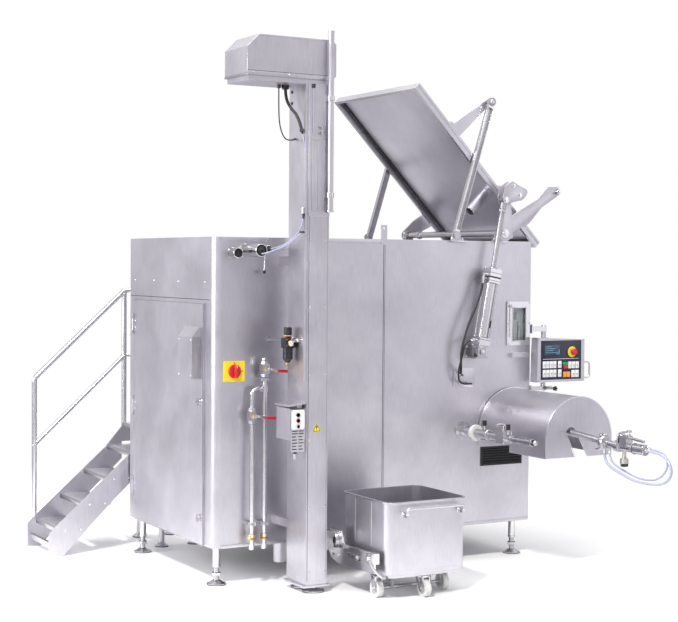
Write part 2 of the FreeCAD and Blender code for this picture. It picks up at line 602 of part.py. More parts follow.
# Separator pipe from the head with its air driven valve, and the second actuator on its left
separator_pipe = bar_between("separator_pipe_bar", ("separator_x", -1403, "auger_height + 4"),
                             ("separator_x", "-barrel_front - 72", "auger_height + 82"), 25)
separator_stay = bent_tube("separator_stay", [("head_x - 190", 0, "auger_height + 137"),
                                              ("head_x - 190", -600, "auger_height + 137"),
                                              ("separator_x", -600, "auger_height + 69")], 10, 40)
pipe_clamp = rod("separator_clamp", "Y", ("separator_x", -1433, "auger_height + 3"), 42, 32)
valve_body = rod("separator_valve", "Y", ("separator_x", -1600, "auger_height + 3"), 32, 168)
valve_block = box("separator_valve_block", ("separator_x - 32", -1530, "auger_height + 3"), 64, 70, 82)
valve_head = rod("separator_valve_head", "Y", ("separator_x", -1700, "auger_height + 3"), 38, 104)
hose_nipple = rod("separator_nipple", "Z", ("separator_x", -1262, "auger_height - 33"), 13, 40)
lower_knob = rod("separator_knob_stem", "Z", ("separator_x", -1480, "auger_height - 83"), 14, 70)
knob_ball = rod("separator_knob", "Z", ("separator_x", -1480, "auger_height - 115"), 30, 34)
node("separator_valve", join("separator_whole", separator_pipe, pipe_clamp, valve_body, valve_block,
                             valve_head, lower_knob, knob_ball, separator_stay, hose_nipple))
act_flange = rod("actuator_flange", "Y", ("actuator_x", -18, "actuator_z"), 70, 18)
act_tube = rod("actuator_tube", "Y", ("actuator_x", -520, "actuator_z"), 34, 506)
act_block = box("actuator_block", ("actuator_x - 45", -610, "actuator_z - 40"), 90, 96, 96)
act_elbow = bent_tube("actuator_elbow", [("actuator_x", -560, "actuator_z + 50"),
                                         ("actuator_x", -560, "actuator_z + 100"),
                                         ("actuator_x - 40", -560, "actuator_z + 100")], 12, 16)
act_gland = rod("actuator_gland", "Y", ("actuator_x", -660, "actuator_z"), 24, 52)
act_bore = rod("actuator_bore", "Y", ("actuator_x", -700, "actuator_z"), "9 + running_gap", 688)
node("actuator_housing", cut("actuator_bored", join("actuator_whole", act_flange, act_tube, act_block,
                                                    act_elbow, act_gland), act_bore))
act_rod = rod("actuator_rod_bar", "Y", ("actuator_x", -940, "actuator_z"), 9, 800)
act_ball = doc.addObject("Part::Sphere", "actuator_ball")
bind(act_ball, "Radius", 20)
put(act_ball, ("actuator_x", -950, "actuator_z"))
node("actuator_rod", join("actuator_rod_whole", act_rod, act_ball))

# Lid in its own straight frame: x up along the lid from its low edge, z outward from the skin
tray = box("lid_tray", (0, 0, "-lid_depth"), "lid_length", "lid_width", "lid_depth")
tray_hollow = box("lid_hollow", (6, 6, "-lid_depth - 10"), "lid_length - 12", "lid_width - 12",
                  "lid_depth + 4")
port_place = ("560", "lid_width - 200")
port_hole = rod("lid_port_hole", "Z", (*port_place, -20), 37, 60)
port_tube = tube("lid_port_tube", "Z", (*port_place, -230), 44, 37, 250)
port_flange = tube("lid_port_flange", "Z", (*port_place, 0), 68, 37, 20)
rim_ribs = [box(f"lid_rib_{index}", (f"lid_length * {part}", 0, -1), 30, "lid_width", 26) for index,
            part in enumerate((0.34, 0.74))]
lid_lugs = []
for side, lug_y in (("near", 14), ("far", "lid_width - 24")):
    lug = plate(f"lid_lug_{side}", "XZ", [(1140, -1), (1250, -1),
                                          ("lid_pin_along + 22", "lid_pin_out + 14"),
                                          ("lid_pin_along - 22", "lid_pin_out + 14")], 10, (0, lug_y, 0),
                True)
    lid_lugs.append(cut(f"lid_lug_drilled_{side}", lug, rod(f"lid_lug_hole_{side}", "Y",
                                                            ("lid_pin_along", -20, "lid_pin_out"),
                                                            "12 + running_gap", 1400)))
lid_all = join("lid_all", cut("lid_pressed", tray, tray_hollow, port_hole), port_tube, port_flange,
               *rim_ribs, *lid_lugs)
node("lid", lid_all)
along_lid = V(-math.cos(math.radians(size("lid_angle"))), 0, math.sin(math.radians(size("lid_angle"))))
out_of_lid = V(math.sin(math.radians(size("lid_angle"))), 0, math.cos(math.radians(size("lid_angle"))))
lid_frame = FreeCAD.Rotation(along_lid, V(0, -1, 0), out_of_lid, "ZXY")
lid_far = size("lid_near + lid_width")
lid_all.Placement = FreeCAD.Placement(V(size("lid_low_x"), lid_far, size("lid_low_z")), lid_frame)
lid_pin = V(size("lid_low_x"), 0, size("lid_low_z")) + along_lid * size("lid_pin_along") + \
    out_of_lid * size("lid_pin_out")

# Two long arms on one cross shaft, from the cabinet top to the lid lugs
arm_length = math.hypot(lid_pin.x - size("arm_pivot_x"), lid_pin.z - size("arm_pivot_z"))
arm_lean = math.degrees(math.atan2(lid_pin.x - size("arm_pivot_x"), lid_pin.z - size("arm_pivot_z")))
ARM_SIDES = {"near": "lid_near - 42", "far": "lid_near + lid_width + 12"}
arm_parts = []
for side, arm_y in ARM_SIDES.items():
    blank = box(f"{side}_arm_bar", ("-arm_width / 2", arm_y, -24), "arm_width", 30, arm_length + 48)
    channel_y = f"{arm_y} - 24" if side == "near" else f"{arm_y} + 6"
    channel = box(f"{side}_arm_channel", ("-arm_width / 2 + 6", channel_y, 50), "arm_width - 12", 48,
                  arm_length - 100)
    pin = rod(f"{side}_arm_pin", "Y", (0, f"{arm_y} + 1" if side == "near" else f"{arm_y} - 38",
                                       arm_length), 12, 67)
    eye = rod(f"{side}_arm_eye", "Y", (0, f"{arm_y} - 10", 0), "12 + running_gap", 60)
    arm_parts += [cut(f"{side}_arm_cut", blank, channel, eye), pin]
arms = group("lid_arms_pair", join("near_arm", *arm_parts[:2]), join("far_arm", *arm_parts[2:]))
arms.Placement = FreeCAD.Placement(V(size("arm_pivot_x"), 0, size("arm_pivot_z")),
                                   FreeCAD.Rotation(Y_AXIS, arm_lean))
node("lid_arms", arms)


def pillow_block(name, x, y, z, radius, thick):
    """A bearing block standing on the cabinet top."""
    foot = box(name + "_foot", (f"{x} - {radius} - 34", y, "cabinet_top"), f"2 * {radius} + 68", thick, 12)
    cheek = box(name + "_cheek", (f"{x} - {radius} - 12", y, "cabinet_top"), f"2 * {radius} + 24", thick,
                f"{z} - cabinet_top")
    eye = rod(name + "_eye", "Y", (x, y, z), f"{radius} + 12", thick)
    bore = rod(name + "_bore", "Y", (x, f"{y} - 10", z), f"{radius} + running_gap", f"{thick} + 20")
    return cut(name, join(name + "_solid", foot, cheek, eye), bore)


def stub_block(name, y, pin_y):
    """A block on the cabinet top with a fixed stub pin for one arm."""
    foot = box(name + "_foot", ("arm_pivot_x - 60", y, "cabinet_top"), 120, 15, 14)
    cheek = box(name + "_cheek", ("arm_pivot_x - 30", y, "cabinet_top"), 60, 15,
                "arm_pivot_z - cabinet_top")
    eye = rod(name + "_eye", "Y", ("arm_pivot_x", y, "arm_pivot_z"), 30, 15)
    pin = rod(name + "_pin", "Y", ("arm_pivot_x", pin_y, "arm_pivot_z"), 12, 44)
    return join(name, foot, cheek, eye, pin)


blocks = [stub_block("arm_block_near", "lid_near - 58", "lid_near - 56"),
          stub_block("arm_block_far", "lid_near + lid_width + 43", "lid_near + lid_width + 13"),
          pillow_block("crank_block_near", "crank_x", "6", "crank_z", "crank_shaft_radius", "34"),
          pillow_block("crank_block_far", "crank_x", "lid_near + lid_width + 30", "crank_z",
                       "crank_shaft_radius", "34")]

# Crank shaft with the crank plate in front and the boomerang levers
crank_shaft = rod("crank_shaft_bar", "Y", (0, -62, 0), "crank_shaft_radius", "lid_near + lid_width + 190")
crank_plate = plate("crank_plate_blank", "XZ", [(-60, -50), (40, -50), (46, 20), (-12, 280), (-72, 274)],
                    16, (0, -62, 0), True)
lever = plate("boomerang_near", "XZ", [(-36, -34), (30, -40), (330, 96), (548, 316), (548, 362), (512, 362),
                                       (300, 164), (-30, 38)], 14, (0, -34, 0), True)
lever_far = plate("boomerang_far", "XZ", [(-36, -34), (30, -40), (330, 96), (548, 316), (548, 362),
                                          (512, 362), (300, 164), (-30, 38)], 14,
                  (0, "lid_near + lid_width + 80", 0), True)
lever_pin = rod("boomerang_pin", "Y", (530, -50, 342), 14, 34)
crank_pin = rod("crank_pin", "Y", (-40, -78, 261), 15, 20)
crank = join("crank_whole", crank_shaft, crank_plate, lever, lever_far, lever_pin, crank_pin)
crank.Placement = FreeCAD.Placement(V(size("crank_x"), 0, size("crank_z")), FreeCAD.Rotation())
node("lid_crank", crank)

# Lid cylinder in its own straight frame, standing on its foot pin
reach_x = size("crank_x - 40 - cylinder_foot_x")
reach_z = size("crank_z + 261 - cylinder_foot_z")
cylinder_reach = math.hypot(reach_x, reach_z)
cylinder_lean = math.degrees(math.atan2(reach_x, reach_z))
barrel = rod("lid_barrel_tube", "Z", (0, "cylinder_plane", 110), "cylinder_radius", "cylinder_length - 110")
low_cap = box("lid_barrel_low_cap", (-52, "cylinder_plane - 52", 55), 104, 104, 60)
high_cap = box("lid_barrel_high_cap", (-52, "cylinder_plane - 52", "cylinder_length - 6"), 104, 104, 112)
foot_eye = rod("lid_barrel_eye", "Y", (0, "cylinder_plane - 18", 0), 30, 36)
foot_web = box("lid_barrel_web", (-24, "cylinder_plane - 18", 0), 48, 36, 60)
hose_port = rod("lid_barrel_port", "X", (-85, "cylinder_plane", "cylinder_length + 50"), 11, 40)
hose_elbow = rod("lid_barrel_elbow", "Z", (-74, "cylinder_plane", "cylinder_length + 14"), 11.5, 46)
rod_bore = rod("lid_barrel_bore", "Z", (0, "cylinder_plane", 170), "rod_radius + running_gap", 900)
foot_bore = rod("lid_barrel_foot_bore", "Y", (0, "cylinder_plane - 40", 0), "14 + running_gap", 80)
barrel_all = cut("lid_cylinder_bored", join("lid_cylinder_whole", barrel, low_cap, high_cap, foot_eye,
                                            foot_web, hose_port, hose_elbow), rod_bore, foot_bore)
barrel_all.Placement = FreeCAD.Placement(V(size("cylinder_foot_x"), 0, size("cylinder_foot_z")),
                                         FreeCAD.Rotation(Y_AXIS, cylinder_lean))
node("lid_cylinder", barrel_all)
piston_rod = rod("piston_rod_bar", "Z", (0, "cylinder_plane", "cylinder_length + 20"), "rod_radius",
                 cylinder_reach - size("cylinder_length") - 70)
low_rod = rod("piston_rod_low", "Z", (0, "cylinder_plane", 560), "rod_radius", 60)
rod_eye = rod("piston_rod_eye", "Y", (0, "cylinder_plane - 16", cylinder_reach), 34, 32)
rod_neck = rod("piston_rod_neck", "Z", (0, "cylinder_plane", cylinder_reach - 75), 24, 50)
eye_bore = rod("piston_rod_eye_bore", "Y", (0, "cylinder_plane - 40", cylinder_reach), 16, 80)
piston = cut("piston_rod_cut", join("piston_rod_whole", piston_rod, low_rod, rod_eye, rod_neck), eye_bore)
piston.Placement = barrel_all.Placement
node("cylinder_rod", piston)
bracket_plate = box("cylinder_bracket_plate", ("cylinder_foot_x - 76", -10, "cylinder_foot_z - 49"), 153,
                    10, 105)
bracket_ears = [box(f"cylinder_bracket_ear_{index}", ("cylinder_foot_x - 41", f"cylinder_plane - {gap}",
                                                      "cylinder_foot_z - 38"), 76, 12, 76) for index,
                gap in enumerate((34, -22))]
bracket_arm = box("cylinder_bracket_arm", ("cylinder_foot_x - 61", "cylinder_plane - 34",
                                           "cylinder_foot_z - 48"), 116, "-cylinder_plane + 34", 12)
bracket_pin = rod("cylinder_bracket_pin", "Y", ("cylinder_foot_x", "cylinder_plane - 40",
                                                "cylinder_foot_z"), 14, 80)
cylinder_bracket = join("cylinder_bracket", bracket_plate, *bracket_ears, bracket_arm, bracket_pin)
node("lid_bearings", group("lid_bearing_group", *blocks, cylinder_bracket))

# Bin lift: column with the carriage slot on its right side
column_block = box("column_block", ("column_left", "-column_front", "column_foot"),
                   "column_right - column_left", "column_front - column_back", "column_top - column_foot")
column_hollow = box("column_hollow", ("column_left + 6", "-column_front + 6", "column_foot + 10"),
                    "column_right - column_left - 12", "column_front - column_back - 12",
                    "column_top - column_foot - 20")
column_slot = box("column_slot", ("column_right - 20", "tilt_y - 42", 250), 40, 84, 3000)
sensor_hole = box("column_recess", (517, "-column_front - 10", 2711), 127, 30, 495)
pad_plate = box("column_pad_plate", ("column_left - 20", "-column_front - 10", 46), 210, 310, 15)
wall_ties = [box(f"column_tie_{index}", (520, "-column_back - 1", height), 110, "column_back + 1", 60)
             for index, height in enumerate((420, 2330))]
column_body = cut("column_cut", column_block, column_hollow, column_slot, sensor_hole)
sensors = [rod(f"lift_sensor_{index}", "Y", (591, "-column_front - 22", height), 11, 60) for index,
           height in enumerate((3262, 3300))]
sensor_rail = box("lift_sensor_rail", ("column_left + 4", "-column_front + 10", 3240), 160, 8, 90)
hose_gland = rod("white_hose_gland", "Z", (461, -473, 2690), 11, 40)
duct = box("cable_duct_strip", (470, "-column_front + 6", 1500), 21, 22, 2097)
drive_tray = box("drive_tray_block", ("drive_left + 12", "-drive_front + 12", "column_top - 0.2"),
                 "drive_right - drive_left - 40", "drive_front - drive_back - 28", 34)
column_cover = box("column_cover_sheet", (502, "-column_front - 4", 90), 146, 4, 2582)
cover_brow = box("column_cover_brow", (494, "-column_front - 14", 2672), 162, 14, 29)
node("column_cover", join("column_cover_whole", column_cover, cover_brow))
guide_bar = rod("guide_pole_bar", "Z", (650, -522, 2702), 21, 1260)
guide_cap = rod("guide_pole_cap", "Z", (650, -522, 3962), 23, 10)
guide_clips = [box(f"guide_pole_clip_{index}", (628, -512, height), 30, "512 - column_front", 40) for index,
               height in enumerate((2800, 3480))]
node("lift_column", join("column_whole", column_body, pad_plate, *wall_ties, *sensors, sensor_rail, duct,
                         drive_tray, hose_gland, guide_bar, guide_cap, *guide_clips))
drive_box = plate("drive_housing_blank", "XZ",
                  [("drive_left", "drive_bottom"), ("drive_right - 30", "drive_bottom"),
                   ("drive_right", "drive_bottom + 30"), ("drive_right", "drive_top - 30"),
                   ("drive_right - 30", "drive_top"), ("drive_left + 90", "drive_top"),
                   ("drive_left", "drive_top - 90")], "drive_front - drive_back", (0, "-drive_front", 0),
                  True)
node("drive_housing", drive_box)

# Carriage inside the column, the tipping arm and the bin
carriage = box("carriage_block", ("column_left + 6 + clear_gap", "-column_front + 6 + clear_gap",
                                  "tilt_z - 95"), "column_right - column_left - 12 - 2 * clear_gap",
               "column_front - column_back - 12 - 2 * clear_gap", 230)
carriage_neck = box("carriage_neck", ("column_right - 30", "tilt_y - 38", "tilt_z - 70"),
                    "neck_end - column_right + 30", 76, 140)
carriage_bore = rod("carriage_bore", "X", ("column_right + 3", "tilt_y", "tilt_z"),
                    "tilt_radius + running_gap", 300)
node("lift_carriage", cut("carriage_cut", join("carriage_whole", carriage, carriage_neck), carriage_bore))
tilt_shaft = rod("tilt_shaft", "X", ("column_right + 4", "tilt_y", "tilt_z"), "tilt_radius",
                 "802 - column_right")
tilt_collar = rod("tilt_collar", "X", (776, "tilt_y", "tilt_z"), 62, 30)
arm_plate = plate("lift_arm_blank", "YZ", [(-388, 178), (-300, 210), (-262, 262), (-290, 420), (-430, 420),
                                           (-470, 336), (-903, 330), (-903, 190)], 14, (805, 0, 0))
arm_slots = [box(f"lift_arm_slot_{index}", (795, start, 245), 40, 82, 36) for index,
             start in enumerate((-732, -621))]
lock_block = box("lift_arm_lock", (818, -903, 255), 30, 107, 75)
lock_bolt = rod("lift_arm_bolt", "X", (789, -850, 292), 14, 74)
cradle = [box(f"lift_cradle_{index}", (818, start, 196), 46, 60, 120) for index,
          start in enumerate((-700, -470))]
node("tipping_arm", join("tipping_arm_whole", tilt_shaft, tilt_collar,
                         cut("lift_arm_cut", arm_plate, *arm_slots), lock_block, lock_bolt, *cradle))


def rounded_block(name, place, length, width, height, radius):
    """An upright block with round corners."""
    block = box(name + "_block", place, length, width, height)
    doc.recompute()
    smooth = doc.addObject("Part::Fillet", name)
    smooth.Base = block
    upright = [index for index, edge in enumerate(block.Shape.Edges, start=1)
               if edge.BoundBox.ZLength > max(edge.BoundBox.XLength, edge.BoundBox.YLength)]
    smooth.Edges = [(index, size(radius), size(radius)) for index in upright]
    return smooth


tub_outside = rounded_block("bin_tub_outside", ("bin_left + 8", "bin_front + 8", "bin_floor"),
                            "bin_wide - 16", "bin_wide - 16", "bin_rim - bin_floor", "70")
tub_inside = rounded_block("bin_tub_inside", ("bin_left + 11", "bin_front + 11", "bin_floor + 3"),
                           "bin_wide - 22", "bin_wide - 22", "bin_rim - bin_floor", "67")
rim_outside = rounded_block("bin_rim_outside", ("bin_left", "bin_front", "bin_rim - 16"), "bin_wide",
                            "bin_wide", 16, "78")
rim_inside = rounded_block("bin_rim_inside", ("bin_left + 10", "bin_front + 10", "bin_rim - 30"),
                           "bin_wide - 20", "bin_wide - 20", 60, "68")
base_tray = rounded_block("bin_base_tray", ("bin_left + 24", "bin_front + 24", "bin_floor - 22"),
                          "bin_wide - 48", "bin_wide - 48", 23, "60")
pegs = [box(f"bin_peg_{index}", ("bin_left - 3.6", start, 206), 14, 40, 90) for index,
        start in enumerate((-690, -460))]
handle_y = "bin_front - 46"
bin_handle = bent_tube("bin_handle_tube", [(1001, "bin_front + 10", 600), (1001, handle_y, 604),
                                           (1001, handle_y, 646), (1465, handle_y, 646),
                                           (1465, handle_y, 604), (1465, "bin_front + 10", 600)], 11, 14)


def fork(name, x, y, half, pin_y, top_z):
    """A wheel fork: top plate and two cheeks, bored for the axle."""
    top = box(name + "_top", (f"{x} - {half} - 8", f"{y} - 42", top_z), f"2 * {half} + 16", 84, 8)
    cheeks = [box(f"{name}_cheek_{index}", (place, f"{pin_y} - 24", 40), 6, 48, f"{top_z} - 38") for index,
              place in enumerate((f"{x} - {half} - 6", f"{x} + {half}"))]
    return join(name, top, *cheeks)


def wheel(name, x, y):
    """A nylon wheel with a dished hub on both sides."""
    tread = rod(name + "_tread", "X", (f"{x} - wheel_wide / 2", y, "wheel_radius"), "wheel_radius",
                "wheel_wide")
    dish = [tube(f"{name}_dish_{index}", "X", (place, y, "wheel_radius"), "wheel_radius - 22", 26, 8)
            for index, place in enumerate((f"{x} - wheel_wide / 2 - 1", f"{x} + wheel_wide / 2 - 7"))]
    return cut(name, tread, *dish)


AXLE_Y = -790
LEFT_WHEEL = 898
RIGHT_WHEEL = 1446
axle_bores = rod("axle_bores", "X", (LEFT_WHEEL - 60, AXLE_Y, "wheel_radius"), "10 + running_gap", 680)
forks = [fork("left_fork", LEFT_WHEEL, AXLE_Y, 24, AXLE_Y, 150),
         fork("right_fork", RIGHT_WHEEL, AXLE_Y, 24, AXLE_Y, 150)]
bin_body = join("bin_tub_body", cut("bin_tub_cut", tub_outside, tub_inside),
                cut("bin_rim_cut", rim_outside, rim_inside), base_tray, bin_handle, *forks, *pegs)
node("bin_tub", cut("bin_tub_bored", bin_body, axle_bores))
axle = rod("bin_axle", "X", (LEFT_WHEEL - 34, AXLE_Y, "wheel_radius"), 10, RIGHT_WHEEL - LEFT_WHEEL + 68)
node("bin_axle_wheels", join("bin_axle_whole", axle, wheel("left_wheel", LEFT_WHEEL, AXLE_Y),
                             wheel("right_wheel", RIGHT_WHEEL, AXLE_Y)))
CASTER_X = 1203
for side, swivel_y, trail in (("front", -905, -28), ("rear", -400, -28)):
    pin_y = swivel_y + trail
    caster = fork(side + "_caster_cheeks", CASTER_X, swivel_y, 24, pin_y, 138)
    head = tube(side + "_caster_head", "Z", (CASTER_X, swivel_y, 145), 34, 5,
                "bin_floor - 22 - clear_gap - 145")
    bore = rod(side + "_caster_bore", "X", (CASTER_X - 50, pin_y, "wheel_radius"), "8 + running_gap", 100)
    node(side + "_caster_fork", cut(side + "_caster_cut", join(side + "_caster_whole", caster, head), bore))
    pin = rod(side + "_caster_pin", "X", (CASTER_X - 32, pin_y, "wheel_radius"), 8, 64)
    node(side + "_caster_wheel", join(side + "_caster_roller", pin,
                                      wheel(side + "_caster_tread", CASTER_X, pin_y)))

# Lift control box with three push buttons, on the left side of the column
lift_box = box("lift_box_block", (362, -475, 1098), 128, 198, 223)
lift_roof = plate("lift_box_roof", "XZ", [(350, 1335), (489.6, 1350), (489.6, 1362), (350, 1345)], 210,
                  (0, -481, 0), True)
lift_neck = box("lift_box_neck", (440, -440, 1320), 40, 120, 30)
lift_panel_holes = []
lift_buttons = []
for index, height in enumerate((1275, 1235, 1195)):
    lift_panel_holes.append(rod(f"lift_panel_hole_{index}", "Y", (425, -500, height), "11 + clear_gap", 30))
    lift_buttons.append((f"lift_button_{('up', 'stop', 'down')[index]}", height))
lift_panel = box("lift_panel_plate", (372, -481.4, 1172), 108, 6, 140)
for name, height in lift_buttons:
    node(name, join(name + "_whole", rod(name + "_stem", "Y", (425, -487, height), 11, 11.6),
                    rod(name + "_cap", "Y", (425, -492, height), 14, 6)))
lift_gland = join("lift_gland", rod("lift_gland_nut", "Z", (430, -430, 1040), 19, 57.6),
                  rod("lift_gland_tail", "Z", (430, -430, 957), 12, 84))
warning_plate = box("lift_yellow_plate", (372, -479.4, 1014), 108, 5, 160)
node("lift_control_box", cut("lift_box_cut", join("lift_box_whole", lift_box, lift_roof, lift_neck,
                                                  lift_panel, warning_plate, lift_gland),
                             *lift_panel_holes))

# Stairs behind the cabinet: two stringers, treads, deck and handrail
STRINGER = [(-672, 0), (-560, 0), (-127, 424), (4, 544), (150, 680), (150, 954), (4, 784), (-603, 255),
            (-672, 190)]
stringers = [plate(f"stringer_{side}", "XZ", STRINGER, "stair_plate", (0, y, 0), True) for side,
             y in (("near", "stair_near"), ("far", "stair_far - stair_plate"))]
deck_sides = [box(f"deck_side_{side}", (149, y, "deck_height - 130"), "deck_right - 149", "stair_plate",
                  130) for side, y in (("near", "stair_near"), ("far", "stair_far - stair_plate"))]
DECK_LEGS = ((300, "stair_near + 30"), (300, "stair_far - 30"), (590, "stair_near + 30"),
             (590, "stair_far - 30"))
deck_legs = [rod(f"deck_leg_{index}", "Z", (x, y, 14), 24, "deck_height - 100") for index,
             (x, y) in enumerate(DECK_LEGS)]
deck_feet = [rod(f"deck_foot_{index}", "Z", (x, y, 0), 55, 15) for index, (x, y) in enumerate(DECK_LEGS)]
deck_tie = box("deck_tie", (300, "cabinet_depth", 860), 60, "stair_near - cabinet_depth + 1", 60)
node("stair_frame", join("stair_frame_whole", deck_tie, *stringers, *deck_sides, *deck_legs, *deck_feet,
                         box("deck_cross", (560, "stair_near", "deck_height - 120"), 40,
                             "stair_far - stair_near", 50),
                         box("stair_cross", (-640, "stair_near", 60), 30, "stair_far - stair_near", 40)))
TREAD_HEIGHTS = (190, 381, 572, 763)
treads = [box(f"tread_{index}", (f"-600 + {index} * 205", "stair_near + stair_plate + clear_gap", height),
              250, "stair_far - stair_near - 2 * stair_plate - 2 * clear_gap", 36) for index,
          height in enumerate(TREAD_HEIGHTS)]
deck = box("stair_deck_plate", (150, "stair_near", "deck_height + clear_gap"), "deck_right - 150",
           "stair_far - stair_near", 30)
node("stair_treads", group("stair_tread_group", *treads, deck))
top_rail = bent_tube("handrail_top", [(-604, "rail_y", 60), (-604, "rail_y", 1377), (180, "rail_y", 2096),
                                      (520, "rail_y", 2130), (600, "rail_y", 2130), (600, "rail_y", 850)],
                     "rail_radius", 60)
middle_rail = bar_between("handrail_middle", (-604, "rail_y", 830), (180, "rail_y", 1549), 17)
deck_rail = bar_between("handrail_deck", (180, "rail_y", 1549), (600, "rail_y", 1549), 17)
rail_post = rod("handrail_post", "Z", (180, "rail_y", 850), "rail_radius", 1240)
node("handrail", join("handrail_whole", top_rail, middle_rail, deck_rail, rail_post))

# Control panel on two swivel arms at the right front corner
arms_post = rod("panel_hinge_pin", "Z", ("panel_hinge_x", -10, "panel_bottom - 70"), 14, "panel_high + 143")
upper_arm = box("panel_upper_arm", ("cabinet_length", -24, "panel_top + 47"), "panel_hinge_reach + 21", 24,
                40)
lower_arm = box("panel_lower_arm", ("cabinet_length", -24, "panel_bottom - 72"), "panel_hinge_reach + 85",
                24, 30)
node("panel_arms", join("panel_arms_whole", arms_post, upper_arm, lower_arm,
                        box("panel_upper_foot", ("cabinet_length", -24, "panel_top + 33"), 8, 84, 70),
                        box("panel_lower_foot", ("cabinet_length", -24, "panel_bottom - 82"), 8, 84, 50)))
panel_case = plate("panel_case_blank", "XZ", [("panel_left", "panel_bottom"),
                                              ("panel_right", "panel_bottom"),
                                              ("panel_right", "panel_top - 20"),
                                              ("panel_left + 10", "panel_top")], "panel_deep",
                   (0, "panel_back - panel_deep", 0), True)
panel_webs = [cut(f"panel_web_{index}", box(f"panel_web_block_{index}", ("panel_hinge_x - 20", -50, height),
                                            40, 34, 28), rod(f"panel_web_clear_{index}", "Z",
                                                             ("panel_hinge_x", -10, height + " - 5"),
                                                             "14 + running_gap", 40)) for index,
              height in enumerate(("panel_top - 30", "panel_bottom + 1"))]
hinge_tube = tube("panel_hinge_tube", "Z", ("panel_hinge_x", -10, "panel_bottom - 41.6"), 20,
                  "14 + running_gap", "panel_high + 88.2")
E_STOP = ("panel_left + 349", "panel_bottom + 240")
stop_hole = rod("e_stop_hole", "Y", (E_STOP[0], -200, E_STOP[1]), "15 + clear_gap", 100)
panel_handle = bent_tube("panel_handle_wire", [("panel_right - 4", -95, "panel_bottom + 152"),
                                               ("panel_right + 80", -95, "panel_bottom + 152"),
                                               ("panel_right + 80", -95, "panel_bottom + 23"),
                                               ("panel_right - 4", -95, "panel_bottom + 23")], 7, 24)
node("control_panel", cut("panel_cut", join("panel_whole", panel_case, hinge_tube, panel_handle,
                                            *panel_webs), stop_hole))
node("e_stop_button", join("e_stop_whole", rod("e_stop_stem", "Y", (E_STOP[0], -152, E_STOP[1]), 15, 40),
                           cone("e_stop_cap", "Y", (E_STOP[0], -172, E_STOP[1]), 22, 18, 22)))
clamp_stem = rod("clamp_knob_stem", "Y", ("panel_hinge_x + 61", -70, "panel_bottom - 57"), 7, 46)
node("clamp_knob", join("clamp_knob_whole", clamp_stem, rod("clamp_knob_grip", "Y",
                                                            ("panel_hinge_x + 61", -92,
                                                             "panel_bottom - 57"), 24, 24)))

# Main switch on the front wall
switch_plate = rounded_block("switch_plate_round", (72, -8, 1484), 171, 8, 149, "3")
switch_bore = rod("switch_plate_bore", "Y", (157, -30, 1559), "12 + running_gap", 60)
node("main_switch_plate", cut("switch_plate_cut", switch_plate, switch_bore))
knob_disc = rod("switch_knob_disc", "Y", (157, -22, 1559), 49, 13.6)
knob_grip = box("switch_knob_grip", (145, -52, 1514), 24, 31, 90)
knob_stem = rod("switch_knob_stem", "Y", (157, -23, 1559), 12, 22.6)
node("main_switch_knob", join("switch_knob_whole", knob_disc, knob_grip, knob_stem))

# Water pipes with ball valves on the front wall
riser = rod("water_riser", "Z", ("pipe_two", "pipe_plane", 270), "pipe_radius", 1380)
branch = bent_tube("water_branch", [("pipe_one", "pipe_plane", 270), ("pipe_one", "pipe_plane", 1430),
                                    ("pipe_two", "pipe_plane", 1430)], "pipe_radius", 34)
upper_valve = box("upper_valve_body", ("pipe_two - 27", "pipe_plane - 27", 1540), 54, 54, 72)
lower_valve = box("lower_valve_body", ("pipe_one - 27", "pipe_plane - 27", 1204), 54, 54, 72)
valve_necks = [rod("upper_valve_neck", "Y", ("pipe_two", "pipe_plane - 52", 1576), 11, 30),
               rod("lower_valve_neck", "Y", ("pipe_one", "pipe_plane - 52", 1240), 11, 30)]
unions = [rod(f"pipe_union_{index}", "Z", (x, "pipe_plane", 340), 27, 42) for index,
          x in enumerate(("pipe_one", "pipe_two"))]
bracket_places = (("pipe_one", 445), ("pipe_two", 445), ("pipe_two", 1488))
pipe_brackets = [box(f"pipe_bracket_{index}", (f"{x} - 22", "pipe_plane - 22", height), 44,
                     "-pipe_plane + 22", 24) for index, (x, height) in enumerate(bracket_places)]
node("water_pipes", join("water_pipes_whole", riser, branch, upper_valve, lower_valve, *valve_necks,
                         *unions, *pipe_brackets))
for name, x, z in (("upper_valve_lever", "pipe_two", 1576), ("lower_valve_lever", "pipe_one", 1240)):
    boss = tube(name + "_boss", "Y", (x, "pipe_plane - 60", z), 17, "11 + running_gap", 12)
    strip = plate(name + "_strip", "XZ", [(14, -9), (40, -9), (60, -22), (175, -28), (175, -10), (60, -4),
                                          (40, 9), (14, 9)], 5, (x, "pipe_plane - 60", z), True)
    node(name, join(name + "_whole", boss, strip))

# Air filter regulator on the left face of the column, fed by a pipe from the front wall
FILTER_X = 437
FILTER_Y = -299
filter_block = box("filter_block", (FILTER_X - 35, FILTER_Y - 35, 1738), 70, 70, 72)
filter_feed = rod("filter_feed", "Y", (FILTER_X, FILTER_Y + 30, 1784), 9, -FILTER_Y - 30)
filter_nut = rod("filter_nut", "Y", (FILTER_X, FILTER_Y + 30, 1784), 22, 27)
filter_outlet = rod("filter_outlet", "Y", (FILTER_X + 22, FILTER_Y - 134, 1795), 13, 104)
filter_elbow = rod("filter_elbow", "X", (FILTER_X + 22, FILTER_Y - 121, 1795), 13,
                   f"column_left - 0.3 - {FILTER_X + 22}")
filter_bracket = box("filter_bracket", (FILTER_X + 30, FILTER_Y - 20, 1744),
                     f"column_left - 0.3 - {FILTER_X + 30}", 40, 58)
filter_bowl = rod("filter_bowl", "Z", (FILTER_X, FILTER_Y, 1656), 34, 84)
filter_dome = cone("filter_dome", "Z", (FILTER_X, FILTER_Y, 1634), 18, 34, 24)
filter_drain = rod("filter_drain", "Z", (FILTER_X, FILTER_Y, 1612), 8, 24)
